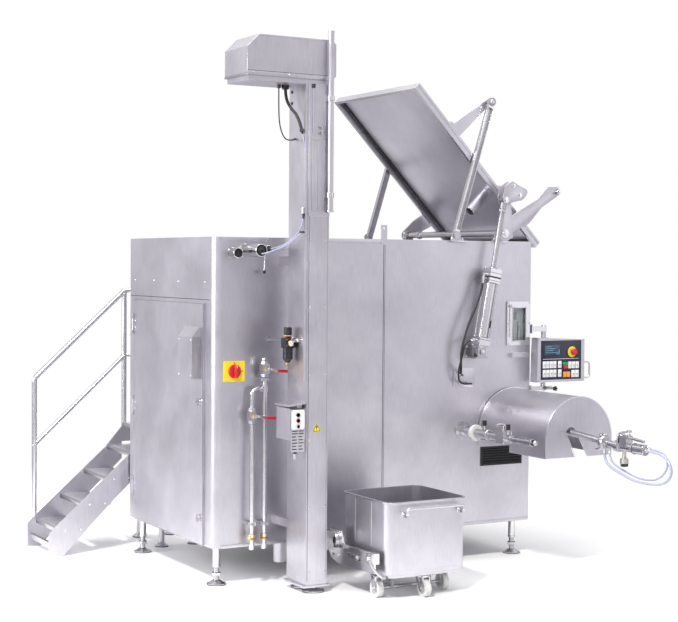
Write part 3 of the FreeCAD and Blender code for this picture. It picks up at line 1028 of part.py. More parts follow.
gauge = rod("filter_gauge", "Y", (FILTER_X, FILTER_Y - 49, 1772), 20, 20)
knob_seat = rod("filter_knob_seat", "Z", (FILTER_X, FILTER_Y, 1809), 22, 12)
node("filter_regulator", join("filter_whole", filter_block, filter_feed, filter_nut, filter_outlet,
                              filter_elbow, filter_bracket, filter_bowl, filter_dome, filter_drain,
                              gauge, knob_seat))
node("regulator_knob", rod("regulator_knob_cap", "Z", (FILTER_X, FILTER_Y, 1821.4), 28, 61))

# Vent and cable tube fixture at the top of the front wall
fixture_plate = box("fixture_plate", (430, -12, 2442), 261, 12, 84)
stub_one = tube("fixture_stub_one", "Y", (140, -100, 2411), 37, 33, 100)
big_tube = tube("fixture_big_tube", "Y", (238, -270, 2430), 45, 40, 270)
stub_three = tube("fixture_stub_three", "Y", (374, -120, 2443), 26, 22, 120)
fixture_rod = bar_between("fixture_rod", (374, -60, 2420), (367, -60, 2287), 6)
node("tube_fixture", group("tube_fixture_group", stub_one, big_tube,
                           join("fixture_third", stub_three, fixture_rod), fixture_plate))

# Hoses and cables
lean_way = V(-math.sin(math.radians(cylinder_lean)), 0, -math.cos(math.radians(cylinder_lean)))
elbow_end = barrel_all.Placement.multVec(V(-74, size("cylinder_plane"), size("cylinder_length + 13.6")))
hose_run = elbow_end + lean_way * 110
cylinder_hose_route = [tuple(elbow_end), tuple(hose_run)]
for along, depth, up in ((-51, -95, 336), (-119, -95, 196), (-165, -95, 56), (-175, -92, -54),
                         (-145, -55, -144), (-105, 16, -192)):
    cylinder_hose_route.append((f"cylinder_foot_x + {along}", depth, f"cylinder_foot_z + {up}"))
node("cylinder_hose", bent_tube("cylinder_hose_tube", cylinder_hose_route, 9))
node("white_hose", bent_tube("white_hose_tube", [(461, -473, 2689.6), (461, -473, 2600), (430, -370, 2500),
                                                 (374, -230, 2443), (374, -120.4, 2443)], 9))
node("drive_conduit", bent_tube("drive_conduit_tube", [(404, -300, "column_top - 0.6"), (404, -300, 3510),
                                                       (418, -360, 3430), (444, -425, 3370),
                                                       (458, -452, 3270)], 11))
OUTLET_ROUTE = ((-1700.4, 3), (-1830, 3), (-1940, -33), (-1985, -128), (-1915, -208), (-1780, -231),
                (-1600, -231), (-1440, -193), (-1310, -153), (-1262, -103), (-1262, -33.4))
node("outlet_hose", bent_tube("outlet_hose_tube", [("separator_x", y, f"auger_height + ({z})") for y,
                                                   z in OUTLET_ROUTE], 11))

doc.recompute()

# Move the origin under the front left foot and write each piece
shift = V(-size("foot_inset_x"), -size("foot_inset_y"), 0)
faults = [item.Name for item in doc.Objects if "Invalid" in item.State or "Error" in item.State]
if faults:
    raise RuntimeError("objects with errors: " + ", ".join(faults))
os.makedirs("parts", exist_ok=True)
for name, thing in nodes.items():
    bound = {path.lstrip("."): text for path, text in thing.ExpressionEngine}
    thing.Placement = FreeCAD.Placement(thing.Placement.Base + shift, thing.Placement.Rotation)
    for letter, inset in (("x", "foot_inset_x"), ("y", "foot_inset_y")):
        path = "Placement.Base." + letter
        if path in bound:
            thing.setExpression(path, f"{bound[path]} - dims.{inset}")
doc.recompute()
for name, thing in nodes.items():
    shape = thing.Shape
    if shape.isNull() or not shape.isValid() or not shape.Solids:
        raise RuntimeError("bad shape: " + name)
    shape.exportStep(f"parts/{name}.step")
    print(name, "solids", len(shape.Solids))
print(len(nodes), "pieces")
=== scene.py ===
"""Looks of a stainless mixing meat grinder with bin lift, tilting lid and service stairs.

The frame brings the working parts at their places. This script gives them their finishes and adds what is
small on them: screws, seals, keys, gauges, weld beads, pipe fittings, treads, hoses and cables.
Lengths are in metres. Places are counted from the cabinet's front left lower corner: x to the right along
the front wall, y into the machine, z up from the floor.
"""

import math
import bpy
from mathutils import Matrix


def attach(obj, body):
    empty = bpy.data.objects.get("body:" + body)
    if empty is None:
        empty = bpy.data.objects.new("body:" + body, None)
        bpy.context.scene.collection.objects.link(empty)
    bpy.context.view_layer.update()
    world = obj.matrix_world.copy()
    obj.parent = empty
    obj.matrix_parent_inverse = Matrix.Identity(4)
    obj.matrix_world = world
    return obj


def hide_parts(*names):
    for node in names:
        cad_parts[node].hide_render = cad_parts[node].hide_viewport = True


bl_info = {
    "name": "Mixing grinder looks",
    "version": (1, 0, 0),
    "blender": (4, 5, 0),
    "location": "3D View > Sidebar > Grinder",
    "description": "Dresses the mixing grinder and sets up its stage",
    "category": "Object",
}

import bmesh
import bpy
from bpy.props import FloatProperty, FloatVectorProperty, PointerProperty
from bpy.types import Operator, Panel, PropertyGroup
from mathutils import Matrix, Vector

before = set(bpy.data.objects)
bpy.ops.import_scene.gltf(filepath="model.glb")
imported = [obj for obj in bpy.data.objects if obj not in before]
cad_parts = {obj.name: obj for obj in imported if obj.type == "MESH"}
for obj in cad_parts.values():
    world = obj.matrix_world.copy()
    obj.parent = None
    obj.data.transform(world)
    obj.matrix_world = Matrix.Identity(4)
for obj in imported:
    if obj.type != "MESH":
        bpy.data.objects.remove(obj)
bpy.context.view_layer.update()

CORNER = Vector((-0.072, -0.100, 0.0))
RIGHT = Vector((1, 0, 0))
LEFT = Vector((-1, 0, 0))
FRONT = Vector((0, -1, 0))
BACK = Vector((0, 1, 0))
UP = Vector((0, 0, 1))
DOWN = Vector((0, 0, -1))
SHARP_ANGLE = math.radians(32)
# Pieces whose faces are round all over, where softening an edge has nothing to do
ROUND_PIECES = ("cylinder_hose", "white_hose", "drive_conduit", "outlet_hose", "feed_auger", "grinder_worm")
finishes = {}


def at(x, y, z):
    """A place counted from the cabinet's corner, in the frame."""
    return CORNER + Vector((x, y, z))


# Simple solids gathered into one mesh

class Build:
    """A mesh made of simple solids, each with its own finish."""

    def __init__(self, stand=None):
        self.mesh = bmesh.new()
        self.finishes = []
        self.stand = stand or Matrix.Translation(CORNER)

    def keep(self, solid, finish, turn=Matrix.Identity(4)):
        """Adds a finished solid, turned into place, and frees it."""
        if finish not in self.finishes:
            self.finishes.append(finish)
        number = self.finishes.index(finish)
        bmesh.ops.recalc_face_normals(solid, faces=solid.faces)
        for face in solid.faces:
            face.material_index = number
            face.smooth = True
        bmesh.ops.transform(solid, matrix=turn, verts=solid.verts)
        carried = bpy.data.meshes.new("carried")
        solid.to_mesh(carried)
        solid.free()
        self.mesh.from_mesh(carried)
        bpy.data.meshes.remove(carried)

    def block(self, low, high, finish, edge=0.0015, turn=None):
        """A box between two corners with softened edges. A turn goes about its own middle."""
        low = Vector(low)
        high = Vector(high)
        solid = bmesh.new()
        bmesh.ops.create_cube(solid, size=1)
        spans = high - low
        bmesh.ops.scale(solid, vec=spans, verts=solid.verts)
        width = min(edge, 0.45 * min(spans))
        if width > 0:
            bmesh.ops.bevel(solid, geom=solid.edges, offset=width, segments=2, affect="EDGES", profile=0.5)
        place = Matrix.Translation((low + high) / 2)
        self.keep(solid, finish, place @ turn if turn else place)

    def lathe(self, start, way, profile, finish, sides=32, closed=False, spin=0.0):
        """A turned solid: its profile is a list of (distance along the way, radius)."""
        solid = bmesh.new()
        rings = []
        for along, radius in profile:
            if radius == 0:
                rings.append([solid.verts.new((0, 0, along))])
                continue
            ring = []
            for step in range(sides):
                angle = spin + 2 * math.pi * step / sides
                ring.append(solid.verts.new((radius * math.cos(angle), radius * math.sin(angle), along)))
            rings.append(ring)
        pairs = list(zip(rings, rings[1:]))
        if closed:
            pairs.append((rings[-1], rings[0]))
        for lower, upper in pairs:
            for step in range(sides):
                following = (step + 1) % sides
                if len(lower) == 1:
                    solid.faces.new((lower[0], upper[following], upper[step]))
                elif len(upper) == 1:
                    solid.faces.new((lower[step], lower[following], upper[0]))
                else:
                    solid.faces.new((lower[step], lower[following], upper[following], upper[step]))
        turn = Vector(way).to_track_quat("Z", "Y").to_matrix().to_4x4()
        self.keep(solid, finish, Matrix.Translation(Vector(start)) @ turn)

    def disc(self, start, way, radius, tall, finish, sides=32):
        """A disc that stands on its start, open underneath."""
        self.lathe(start, way, [(0, radius), (tall, radius), (tall, 0)], finish, sides)

    def sleeve(self, start, way, bore, radius, tall, finish, sides=32):
        """A sleeve round something else, with no face in its bore."""
        self.lathe(start, way, [(0, bore), (0, radius), (tall, radius), (tall, bore)], finish, sides)

    def bar(self, start, end, radius, finish, sides=28, edge=0.001):
        """A round bar with softened ends."""
        span = Vector(end) - Vector(start)
        soft = min(edge, radius * 0.4, span.length * 0.4)
        profile = [(0, 0), (0, radius - soft), (soft, radius), (span.length - soft, radius),
                   (span.length, radius - soft), (span.length, 0)]
        self.lathe(start, span, profile, finish, sides)

    def pipe(self, start, end, radius, bore, finish, sides=32):
        """A straight tube, open at both ends."""
        span = Vector(end) - Vector(start)
        profile = [(0, bore), (0, radius), (span.length, radius), (span.length, bore)]
        self.lathe(start, span, profile, finish, sides, closed=True)

    def hoop(self, middle, way, radius, thick, finish, sides=48, around=12):
        """A ring of round section."""
        profile = []
        for step in range(around):
            angle = 2 * math.pi * step / around
            profile.append((thick * math.sin(angle), radius + thick * math.cos(angle)))
        self.lathe(middle, way, profile, finish, sides, closed=True)

    def plate(self, corners, across, up, origin, thick, finish, edge=0.001):
        """A flat plate: corners are (across, up) from the origin, and it grows by its thickness."""
        solid = bmesh.new()
        across = Vector(across)
        up = Vector(up)
        grow = across.cross(up) * thick
        spots = [Vector(origin) + across * a + up * u for a, u in corners]
        lower = [solid.verts.new(spot) for spot in spots]
        upper = [solid.verts.new(spot + grow) for spot in spots]
        solid.faces.new(lower)
        solid.faces.new(upper)
        for index in range(len(spots)):
            following = (index + 1) % len(spots)
            solid.faces.new((lower[index], lower[following], upper[following], upper[index]))
        if edge:
            bmesh.ops.recalc_face_normals(solid, faces=solid.faces)
            bmesh.ops.bevel(solid, geom=solid.edges, offset=edge, segments=2, affect="EDGES", profile=0.5)
        self.keep(solid, finish)

    def sweep(self, spots, radius, finish, sides=14):
        """A round bar along a list of places."""
        solid = bmesh.new()
        places = [Vector(spot) for spot in spots]
        side = None
        rings = []
        for index, place in enumerate(places):
            before = places[max(index - 1, 0)]
            after = places[min(index + 1, len(places) - 1)]
            way = (after - before).normalized()
            if side is None:
                side = way.orthogonal().normalized()
            side = (side - way * side.dot(way)).normalized()
            other = way.cross(side)
            ring = []
            for step in range(sides):
                angle = 2 * math.pi * step / sides
                out = side * math.cos(angle) + other * math.sin(angle)
                ring.append(solid.verts.new(place + out * radius))
            rings.append(ring)
        for lower, upper in zip(rings, rings[1:]):
            for step in range(sides):
                following = (step + 1) % sides
                solid.faces.new((lower[step], lower[following], upper[following], upper[step]))
        solid.faces.new(rings[0])
        solid.faces.new(rings[-1])
        self.keep(solid, finish)

    def screw(self, place, way, radius, finish="bright_steel"):
        """A domed screw whose socket is a flat dark disc: painted shade in place of a recess."""
        self.lathe(place, way, [(0, radius), (radius * 0.35, radius * 0.92), (radius * 0.62, radius * 0.6),
                                (radius * 0.66, radius * 0.45), (radius * 0.66, 0)], finish, 20)
        # Painted shade: a dark disc stands for the socket's recess.
        socket = Vector(place) + Vector(way).normalized() * radius * 0.64
        self.disc(socket, way, radius * 0.36, radius * 0.06, "dark_gap", 6)

    def bolt(self, place, way, across, tall, finish="bright_steel", washer=True):
        """A hexagon head on a washer."""
        start = Vector(place)
        way = Vector(way).normalized()
        if washer:
            self.disc(start, way, across * 0.95, across * 0.12, finish, 24)
            start = start + way * across * 0.12
        radius = across / math.sqrt(3)
        self.lathe(start, way, [(0, radius), (tall * 0.82, radius), (tall, radius * 0.84), (tall, 0)],
                   finish, 6)

    def thread(self, start, way, radius, length, pitch, finish="bright_steel"):
        """A threaded stretch as a row of fine ridges."""
        profile = [(0, radius * 0.9)]
        for step in range(int(length / pitch)):
            profile.append(((step + 0.5) * pitch, radius))
            profile.append(((step + 1) * pitch, radius * 0.9))
        self.lathe(start, way, profile, finish, 24)

    def weld(self, start, end, radius, finish="weld_bead"):
        """A rippled weld bead along a straight seam."""
        span = Vector(end) - Vector(start)
        step_length = radius * 1.6
        count = max(int(span.length / step_length), 2)
        profile = [(0, 0)]
        for step in range(count):
            profile.append(((step + 0.25) * span.length / count, radius))
            profile.append(((step + 0.9) * span.length / count, radius * 0.86))
        profile.append((span.length, 0))
        self.lathe(start, span, profile, finish, 10)

    def show(self, name, body, slot, *stands_for):
        """Makes the mesh a piece that rides on a body."""
        mesh = bpy.data.meshes.new(name)
        bmesh.ops.transform(self.mesh, matrix=self.stand, verts=self.mesh.verts)
        self.mesh.to_mesh(mesh)
        self.mesh.free()
        for finish in self.finishes:
            mesh.materials.append(finishes[finish])
        mesh.set_sharp_from_angle(angle=SHARP_ANGLE)
        piece = bpy.data.objects.new(name, mesh)
        bpy.context.scene.collection.objects.link(piece)
        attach(piece, body)
        if stands_for:
            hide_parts(*stands_for)
        return piece


def moved(spots, shift):
    """The same places, shifted."""
    return [tuple(Vector(spot) + Vector(shift)) for spot in spots]


def arc(middle, radius, start, end, steps, across=RIGHT, up=UP):
    """Places along a round stretch, in degrees."""
    spots = []
    for step in range(steps + 1):
        angle = math.radians(start + (end - start) * step / steps)
        spots.append(tuple(Vector(middle) + (across * math.cos(angle) + up * math.sin(angle)) * radius))
    return spots


def spread(count, radius, first=0):
    """Offsets spread evenly on a circle. The first one's angle is in degrees."""
    offsets = []
    for step in range(count):
        angle = math.radians(360 / count * step + first)
        offsets.append((radius * math.cos(angle), radius * math.sin(angle)))
    return offsets


def flat(spots):
    """The same places as (across, up) corners of a plate."""
    return [(spot[0], spot[2]) for spot in spots]


def round_corners(width, height, radius, steps=5):
    """An outline around the middle with round corners."""
    corners = []
    for quarter, (side, level) in enumerate(((1, 1), (-1, 1), (-1, -1), (1, -1))):
        for step in range(steps + 1):
            angle = math.radians(90 * quarter + 90 * step / steps)
            corners.append((side * (width / 2 - radius) + radius * math.cos(angle),
                            level * (height / 2 - radius) + radius * math.sin(angle)))
    return corners


# Shared effects

def add(tree, kind, **settings):
    """A new shader node with its settings."""
    node = tree.nodes.new(kind)
    for key, value in settings.items():
        setattr(node, key, value)
    return node


def new_group(name, inputs, outputs):
    """An empty node group with float inputs and outputs; an input with three numbers is a vector."""
    tree = bpy.data.node_groups.new(name, "ShaderNodeTree")
    for word, value in inputs.items():
        kind = "NodeSocketVector" if isinstance(value, tuple) else "NodeSocketFloat"
        socket = tree.interface.new_socket(word, in_out="INPUT", socket_type=kind)
        socket.default_value = value
    for word in outputs:
        tree.interface.new_socket(word, in_out="OUTPUT", socket_type="NodeSocketFloat")
    return tree, add(tree, "NodeGroupInput"), add(tree, "NodeGroupOutput")


def noise(tree, vector, scale, detail=3.0, roughness=0.55):
    """A noise texture read at a vector."""
    field = add(tree, "ShaderNodeTexNoise")
    field.inputs["Scale"].default_value = scale
    field.inputs["Detail"].default_value = detail
    field.inputs["Roughness"].default_value = roughness
    tree.links.new(vector, field.inputs["Vector"])
    return field.outputs["Fac"]


def maths(tree, operation, first, second=0.5, clamp=False):
    """One step of arithmetic; each side is a number or a socket."""
    step = add(tree, "ShaderNodeMath", operation=operation, use_clamp=clamp)
    for socket, value in zip(step.inputs, (first, second)):
        if isinstance(value, (int, float)):
            socket.default_value = value
        else:
            tree.links.new(value, socket)
    return step.outputs[0]


def rescale(tree, value, low_in, high_in, low_out, high_out):
    """A value carried from one range to another."""
    step = add(tree, "ShaderNodeMapRange")
    for socket, number in zip(step.inputs[1:5], (low_in, high_in, low_out, high_out)):
        socket.default_value = number
    tree.links.new(value, step.inputs[0])
    return step.outputs[0]


def grain_group():
    """Rolled or brushed metal: fine streaks along one direction, soft stains, smudges and gentle waves."""
    tree, entry, leave = new_group("metal_grain", {"Stretch": (420.0, 420.0, 9.0), "Wave": 1.0},
                                   ("Streak", "Stain", "Smudge", "Height"))
    spot = add(tree, "ShaderNodeTexCoord").outputs["Object"]
    stretched = add(tree, "ShaderNodeVectorMath", operation="MULTIPLY")
    tree.links.new(spot, stretched.inputs[0])
    tree.links.new(entry.outputs["Stretch"], stretched.inputs[1])
    streak = noise(tree, stretched.outputs[0], 1.0, 4.0, 0.62)
    stain = noise(tree, spot, 2.3, 5.0, 0.6)
    smudge = rescale(tree, noise(tree, spot, 11.0, 4.0, 0.65), 0.56, 0.72, 0.0, 1.0)
    wave = maths(tree, "MULTIPLY", noise(tree, spot, 1.15, 1.0, 0.4), entry.outputs["Wave"])
    height = maths(tree, "ADD", maths(tree, "MULTIPLY", streak, 0.012), wave)
    for word, value in (("Streak", streak), ("Stain", stain), ("Smudge", smudge), ("Height", height)):
        tree.links.new(value, leave.inputs[word])
    return tree


def mould_group():
    """Moulded plastic and rubber: a fine grain, scuffs and settled dust."""
    tree, entry, leave = new_group("moulded_grain", {"Grain": 900.0}, ("Grain", "Scuff", "Dust"))
    spot = add(tree, "ShaderNodeTexCoord").outputs["Object"]
    field = add(tree, "ShaderNodeTexNoise")
    field.inputs["Detail"].default_value = 2.0
    tree.links.new(spot, field.inputs["Vector"])
    tree.links.new(entry.outputs["Grain"], field.inputs["Scale"])
    scuff = rescale(tree, noise(tree, spot, 46.0, 5.0, 0.7), 0.55, 0.7, 0.0, 1.0)
    level = add(tree, "ShaderNodeSeparateXYZ")
    tree.links.new(add(tree, "ShaderNodeNewGeometry").outputs["Normal"], level.inputs[0])
    facing_up = maths(tree, "MAXIMUM", level.outputs["Z"], 0.0)
    dust = maths(tree, "MULTIPLY", facing_up, noise(tree, spot, 18.0, 5.0, 0.6))
    tree.links.new(field.outputs["Fac"], leave.inputs["Grain"])
    tree.links.new(scuff, leave.inputs["Scuff"])
    tree.links.new(dust, leave.inputs["Dust"])
    return tree


# Finishes

def blank_material(name):
    """A material that holds only its Principled shader and output."""
    material = bpy.data.materials.new(name)
    material.use_nodes = True
    tree = material.node_tree
    shader = tree.nodes["Principled BSDF"]
    return material, tree, shader


def use_group(tree, group, **values):
    """Places a node group in a material and sets its inputs."""
    effect = add(tree, "ShaderNodeGroup")
    effect.node_tree = group
    for word, value in values.items():
        effect.inputs[word].default_value = value
    return effect


def tint(tree, factor, first, second):
    """A colour between two, by a factor."""
    mix = add(tree, "ShaderNodeMix", data_type="RGBA")
    if isinstance(factor, float):
        mix.inputs["Factor"].default_value = factor
    else:
        tree.links.new(factor, mix.inputs["Factor"])
    for socket, colour in ((mix.inputs["A"], first), (mix.inputs["B"], second)):
        if isinstance(colour, tuple):
            socket.default_value = (*colour, 1.0)
        else:
            tree.links.new(colour, socket)
    return mix.outputs["Result"]


def bumped(tree, shader, height, strength, distance):
    """Leads a height through a Bump node to the shader's Normal."""
    bump = add(tree, "ShaderNodeBump")
    bump.inputs["Strength"].default_value = strength
    bump.inputs["Distance"].default_value = distance
    tree.links.new(height, bump.inputs["Height"])
    tree.links.new(bump.outputs["Normal"], shader.inputs["Normal"])


def steel_finish(name, dark, light, smooth, rough, stretch, wave=1.0, depth=0.004, rim=0.0):
    """A steel surface: streaks, stains, smudges and waves, and painted shade where it turns away from the
    eye.
    """
    material, tree, shader = blank_material(name)
    effect = use_group(tree, finishes["grain_group"], Stretch=stretch, Wave=wave)
    soft = maths(tree, "MULTIPLY", maths(tree, "ADD", effect.outputs["Streak"], effect.outputs["Stain"]), 0.5)
    tone = tint(tree, rescale(tree, soft, 0.36, 0.64, 0.0, 1.0), dark, light)
    smudge_and_shade_colour = tint(tree, maths(tree, "MULTIPLY", effect.outputs["Smudge"], 0.22), tone, dark)
    # Painted shade: the colour darkens towards faces seen edge-on, by the rim amount.
    if rim:
        facing = add(tree, "ShaderNodeLayerWeight")
        facing.inputs["Blend"].default_value = 0.35
        turned = maths(tree, "MULTIPLY", facing.outputs["Facing"], rim)
        smudge_and_shade_colour = tint(tree, turned, smudge_and_shade_colour, tuple(part * 0.22 for part in dark))
    tree.links.new(smudge_and_shade_colour, shader.inputs["Base Color"])
    worn = maths(tree, "ADD", soft, maths(tree, "MULTIPLY", effect.outputs["Smudge"], 0.12))
    tree.links.new(rescale(tree, worn, 0.34, 0.7, smooth, rough), shader.inputs["Roughness"])
    shader.inputs["Metallic"].default_value = 1.0
    bumped(tree, shader, effect.outputs["Height"], 0.35, depth)
    finishes[name] = material


def moulded_finish(name, colour, worn, rough, grain=900.0, strength=0.18, metallic=0.0, coat=0.0):
    """A plastic, rubber or paint surface: grain, scuffs and dust."""
    material, tree, shader = blank_material(name)
    effect = use_group(tree, finishes["mould_group"], Grain=grain)
    scuffed = tint(tree, maths(tree, "MULTIPLY", effect.outputs["Scuff"], 0.35), colour, worn)
    dusty = tint(tree, maths(tree, "MULTIPLY", effect.outputs["Dust"], 0.16), scuffed, (0.42, 0.41, 0.40))
    tree.links.new(dusty, shader.inputs["Base Color"])
    tree.links.new(rescale(tree, effect.outputs["Scuff"], 0.0, 1.0, rough, min(rough + 0.18, 1.0)),
                   shader.inputs["Roughness"])
    shader.inputs["Metallic"].default_value = metallic
    shader.inputs["Coat Weight"].default_value = coat
    bumped(tree, shader, effect.outputs["Grain"], strength, 0.0004)
    finishes[name] = material


def glass_finish(name, colour, rough):
    """Clear glass with faint wipe marks."""
    material, tree, shader = blank_material(name)
    effect = use_group(tree, finishes["grain_group"], Stretch=(30.0, 30.0, 4.0), Wave=0.2)
    tree.links.new(rescale(tree, effect.outputs["Smudge"], 0.0, 1.0, rough, rough + 0.12),
                   shader.inputs["Roughness"])
    shader.inputs["Base Color"].default_value = (*colour, 1.0)
    shader.inputs["Transmission Weight"].default_value = 1.0
    shader.inputs["IOR"].default_value = 1.46
    finishes[name] = material


class FinishColours(PropertyGroup):
    wall_dark: FloatVectorProperty(name="Dark steel", description="Darker streaks of the brushed walls",
                                   default=(0.50, 0.485, 0.53), subtype="COLOR")
    wall_light: FloatVectorProperty(name="Light steel", description="Lighter streaks of the brushed walls",
                                    default=(0.66, 0.645, 0.69), subtype="COLOR")
    red: FloatVectorProperty(name="Red", description="Stop buttons, the switch grip and the valve grips",
                             default=(0.50, 0.008, 0.012), subtype="COLOR")
    yellow: FloatVectorProperty(name="Yellow", description="Warning triangle, switch plate and stop disc",
                                default=(0.80, 0.58, 0.015), subtype="COLOR")
    nylon: FloatVectorProperty(name="Nylon", description="Wheels and the actuator's collar",
                               default=(0.58, 0.58, 0.57), subtype="COLOR")
    hose: FloatVectorProperty(name="Hose", description="The pale hoses", default=(0.33, 0.34, 0.45),
                              subtype="COLOR")


def make_finishes(colours):
    """Every finish of the machine. The names of the frame's own slots come first."""
    finishes["grain_group"] = grain_group()
    finishes["mould_group"] = mould_group()
    steel_finish("brushed_steel", tuple(colours.wall_dark), tuple(colours.wall_light), 0.30, 0.44,
                 (420.0, 420.0, 9.0))
    # bright_steel and machined_steel get painted shade on faces seen edge-on through rim.
    steel_finish("bright_steel", (0.64, 0.63, 0.66), (0.82, 0.81, 0.84), 0.13, 0.27, (160.0, 160.0, 60.0),
                 0.3, rim=0.85)
    steel_finish("machined_steel", (0.42, 0.42, 0.44), (0.60, 0.60, 0.62), 0.20, 0.36, (60.0, 900.0, 60.0),
                 0.2, rim=0.7)
    steel_finish("satin_steel", (0.54, 0.53, 0.57), (0.70, 0.69, 0.73), 0.24, 0.36, (9.0, 420.0, 420.0), 0.8)
    steel_finish("weld_bead", (0.36, 0.33, 0.31), (0.60, 0.58, 0.57), 0.22, 0.40, (300.0, 300.0, 300.0), 0.1)
    steel_finish("brass", (0.55, 0.36, 0.13), (0.78, 0.56, 0.24), 0.18, 0.34, (90.0, 90.0, 90.0), 0.2)
    moulded_finish("cast_grey", (0.27, 0.29, 0.31), (0.42, 0.43, 0.44), 0.42, 300.0, 0.3)
    moulded_finish("black_plastic", (0.013, 0.013, 0.016), (0.10, 0.10, 0.11), 0.34)
    moulded_finish("white_nylon", tuple(colours.nylon), (0.46, 0.45, 0.44), 0.42, 700.0)
    moulded_finish("white_hose_plastic", tuple(colours.hose), (0.40, 0.42, 0.53), 0.22, 300.0, 0.08)
    moulded_finish("black_rubber", (0.012, 0.012, 0.013), (0.08, 0.08, 0.08), 0.58, 1200.0, 0.3)
    moulded_finish("red_plastic", tuple(colours.red), (0.62, 0.16, 0.14), 0.26, 900.0, 0.08, coat=0.3)
    moulded_finish("yellow_plastic", tuple(colours.yellow), (0.72, 0.60, 0.22), 0.34, 900.0, 0.08)
    moulded_finish("white_plastic", (0.74, 0.74, 0.74), (0.60, 0.60, 0.58), 0.32)
    moulded_finish("green_plastic", (0.02, 0.33, 0.12), (0.12, 0.42, 0.22), 0.32)
    moulded_finish("orange_plastic", (0.85, 0.30, 0.03), (0.85, 0.48, 0.20), 0.32)
    moulded_finish("panel_ink", (0.010, 0.010, 0.030), (0.05, 0.05, 0.09), 0.24, 500.0, 0.05)
    moulded_finish("screen_blue", (0.018, 0.055, 0.095), (0.05, 0.10, 0.15), 0.10, 500.0, 0.02)
    moulded_finish("screen_line", (0.16, 0.30, 0.38), (0.20, 0.34, 0.42), 0.20, 500.0, 0.02)
    moulded_finish("dark_gap", (0.010, 0.010, 0.011), (0.03, 0.03, 0.03), 0.75)
    moulded_finish("dial_face", (0.80, 0.80, 0.78), (0.70, 0.70, 0.68), 0.35, 400.0, 0.03)
    glass_finish("window_glass", (0.90, 0.94, 0.95), 0.02)
    glass_finish("bowl_glass", (0.86, 0.88, 0.88), 0.06)


def dress_frame(edge):
    """Gives the frame's own pieces their finishes and softens their sheared edges."""
    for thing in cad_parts.values():
        for place, material in enumerate(thing.data.materials):
            thing.data.materials[place] = finishes[material.name.split(".")[0]]
        if thing.name in ROUND_PIECES:
            continue
        merge = thing.modifiers.new("join_faces", "WELD")
        merge.merge_threshold = 0.00002
        soften = thing.modifiers.new("soft_edge", "BEVEL")
        soften.width = edge
        soften.segments = 2
        soften.limit_method = "ANGLE"
        soften.angle_limit = math.radians(50)
        soften.harden_normals = True
        level = thing.modifiers.new("flat_faces", "WEIGHTED_NORMAL")
        level.keep_sharp = True


# Stage

class StageSizes(PropertyGroup):
    floor_span: FloatProperty(name="Floor span", description="Width of the floor", default=60.0,
                              unit="LENGTH")
    eye_x: FloatProperty(name="Camera x", description="Camera place to the right", default=-4.645,
                         unit="LENGTH")
    eye_y: FloatProperty(name="Camera y", description="Camera place inwards", default=-9.938, unit="LENGTH")
    eye_z: FloatProperty(name="Camera height", description="Camera height", default=2.349, unit="LENGTH")
    yaw: FloatProperty(name="Camera yaw", description="Turn to the right", default=math.radians(29.64),
                       subtype="ANGLE")
    pitch: FloatProperty(name="Camera pitch", description="Tilt upwards", default=math.radians(-1.84),
                         subtype="ANGLE")
    roll: FloatProperty(name="Camera roll", description="Turn about the view axis",
                        default=math.radians(0.43), subtype="ANGLE")
    lens: FloatProperty(name="Lens", description="Focal length in millimetres", default=80.37)
    key_power: FloatProperty(name="Key lamp", description="Power of the main lamp in watts", default=3400.0)
    fill_power: FloatProperty(name="Fill lamp", description="Power of the fill lamp in watts", default=38.0)
    left_power: FloatProperty(name="Left lamp", description="Power of the left lamp in watts", default=680.0)
    top_power: FloatProperty(name="Top lamp", description="Power of the overhead lamp in watts",
                             default=500.0)
    edge: FloatProperty(name="Edge", description="Softened width of sheared edges", default=0.0025,
                        unit="LENGTH")


def stage_floor(span):
    """A pale floor that fades into the white backdrop far from the machine."""
    material, tree, shader = blank_material("stage_floor")
    shader.inputs["Base Color"].default_value = (0.88, 0.88, 0.88, 1.0)
    shader.inputs["Roughness"].default_value = 0.9
    spot = add(tree, "ShaderNodeTexCoord").outputs["Object"]
    reach = add(tree, "ShaderNodeVectorMath", operation="LENGTH")
    tree.links.new(spot, reach.inputs[0])
    tree.links.new(rescale(tree, reach.outputs["Value"], 2.6, 6.5, 1.0, 0.0), shader.inputs["Alpha"])
    corners = [(-span / 2, -span / 2, 0), (span / 2, -span / 2, 0), (span / 2, span / 2, 0),
               (-span / 2, span / 2, 0)]
    mesh = bpy.data.meshes.new("stage_floor")
    mesh.from_pydata(corners, [], [(0, 1, 2, 3)])
    mesh.materials.append(material)
    floor = bpy.data.objects.new("stage_floor", mesh)
    floor.location = (1.35, 0.5, 0.0)
    bpy.context.scene.collection.objects.link(floor)


def stage_world():
    """White for the camera, a soft grey room for the lighting and the reflections."""
    world = bpy.data.worlds.new("stage_room")
    bpy.context.scene.world = world
    world.use_nodes = True
    tree = world.node_tree
    out = tree.nodes["World Output"]
    room = tree.nodes["Background"]
    spot = add(tree, "ShaderNodeTexCoord").outputs["Generated"]
    split = add(tree, "ShaderNodeSeparateXYZ")
    tree.links.new(spot, split.inputs[0])
    height = rescale(tree, split.outputs["Z"], -0.6, 0.9, 0.0, 1.0)
    tree.links.new(tint(tree, height, (0.52, 0.50, 0.56), (1.0, 1.0, 1.0)), room.inputs["Color"])
    room.inputs["Strength"].default_value = 1.0
    white = add(tree, "ShaderNodeBackground")
    white.inputs["Color"].default_value = (1.0, 1.0, 1.0, 1.0)
    mix = add(tree, "ShaderNodeMixShader")
    tree.links.new(add(tree, "ShaderNodeLightPath").outputs["Is Camera Ray"], mix.inputs[0])
    tree.links.new(room.outputs[0], mix.inputs[1])
    tree.links.new(white.outputs[0], mix.inputs[2])
    tree.links.new(mix.outputs[0], out.inputs["Surface"])


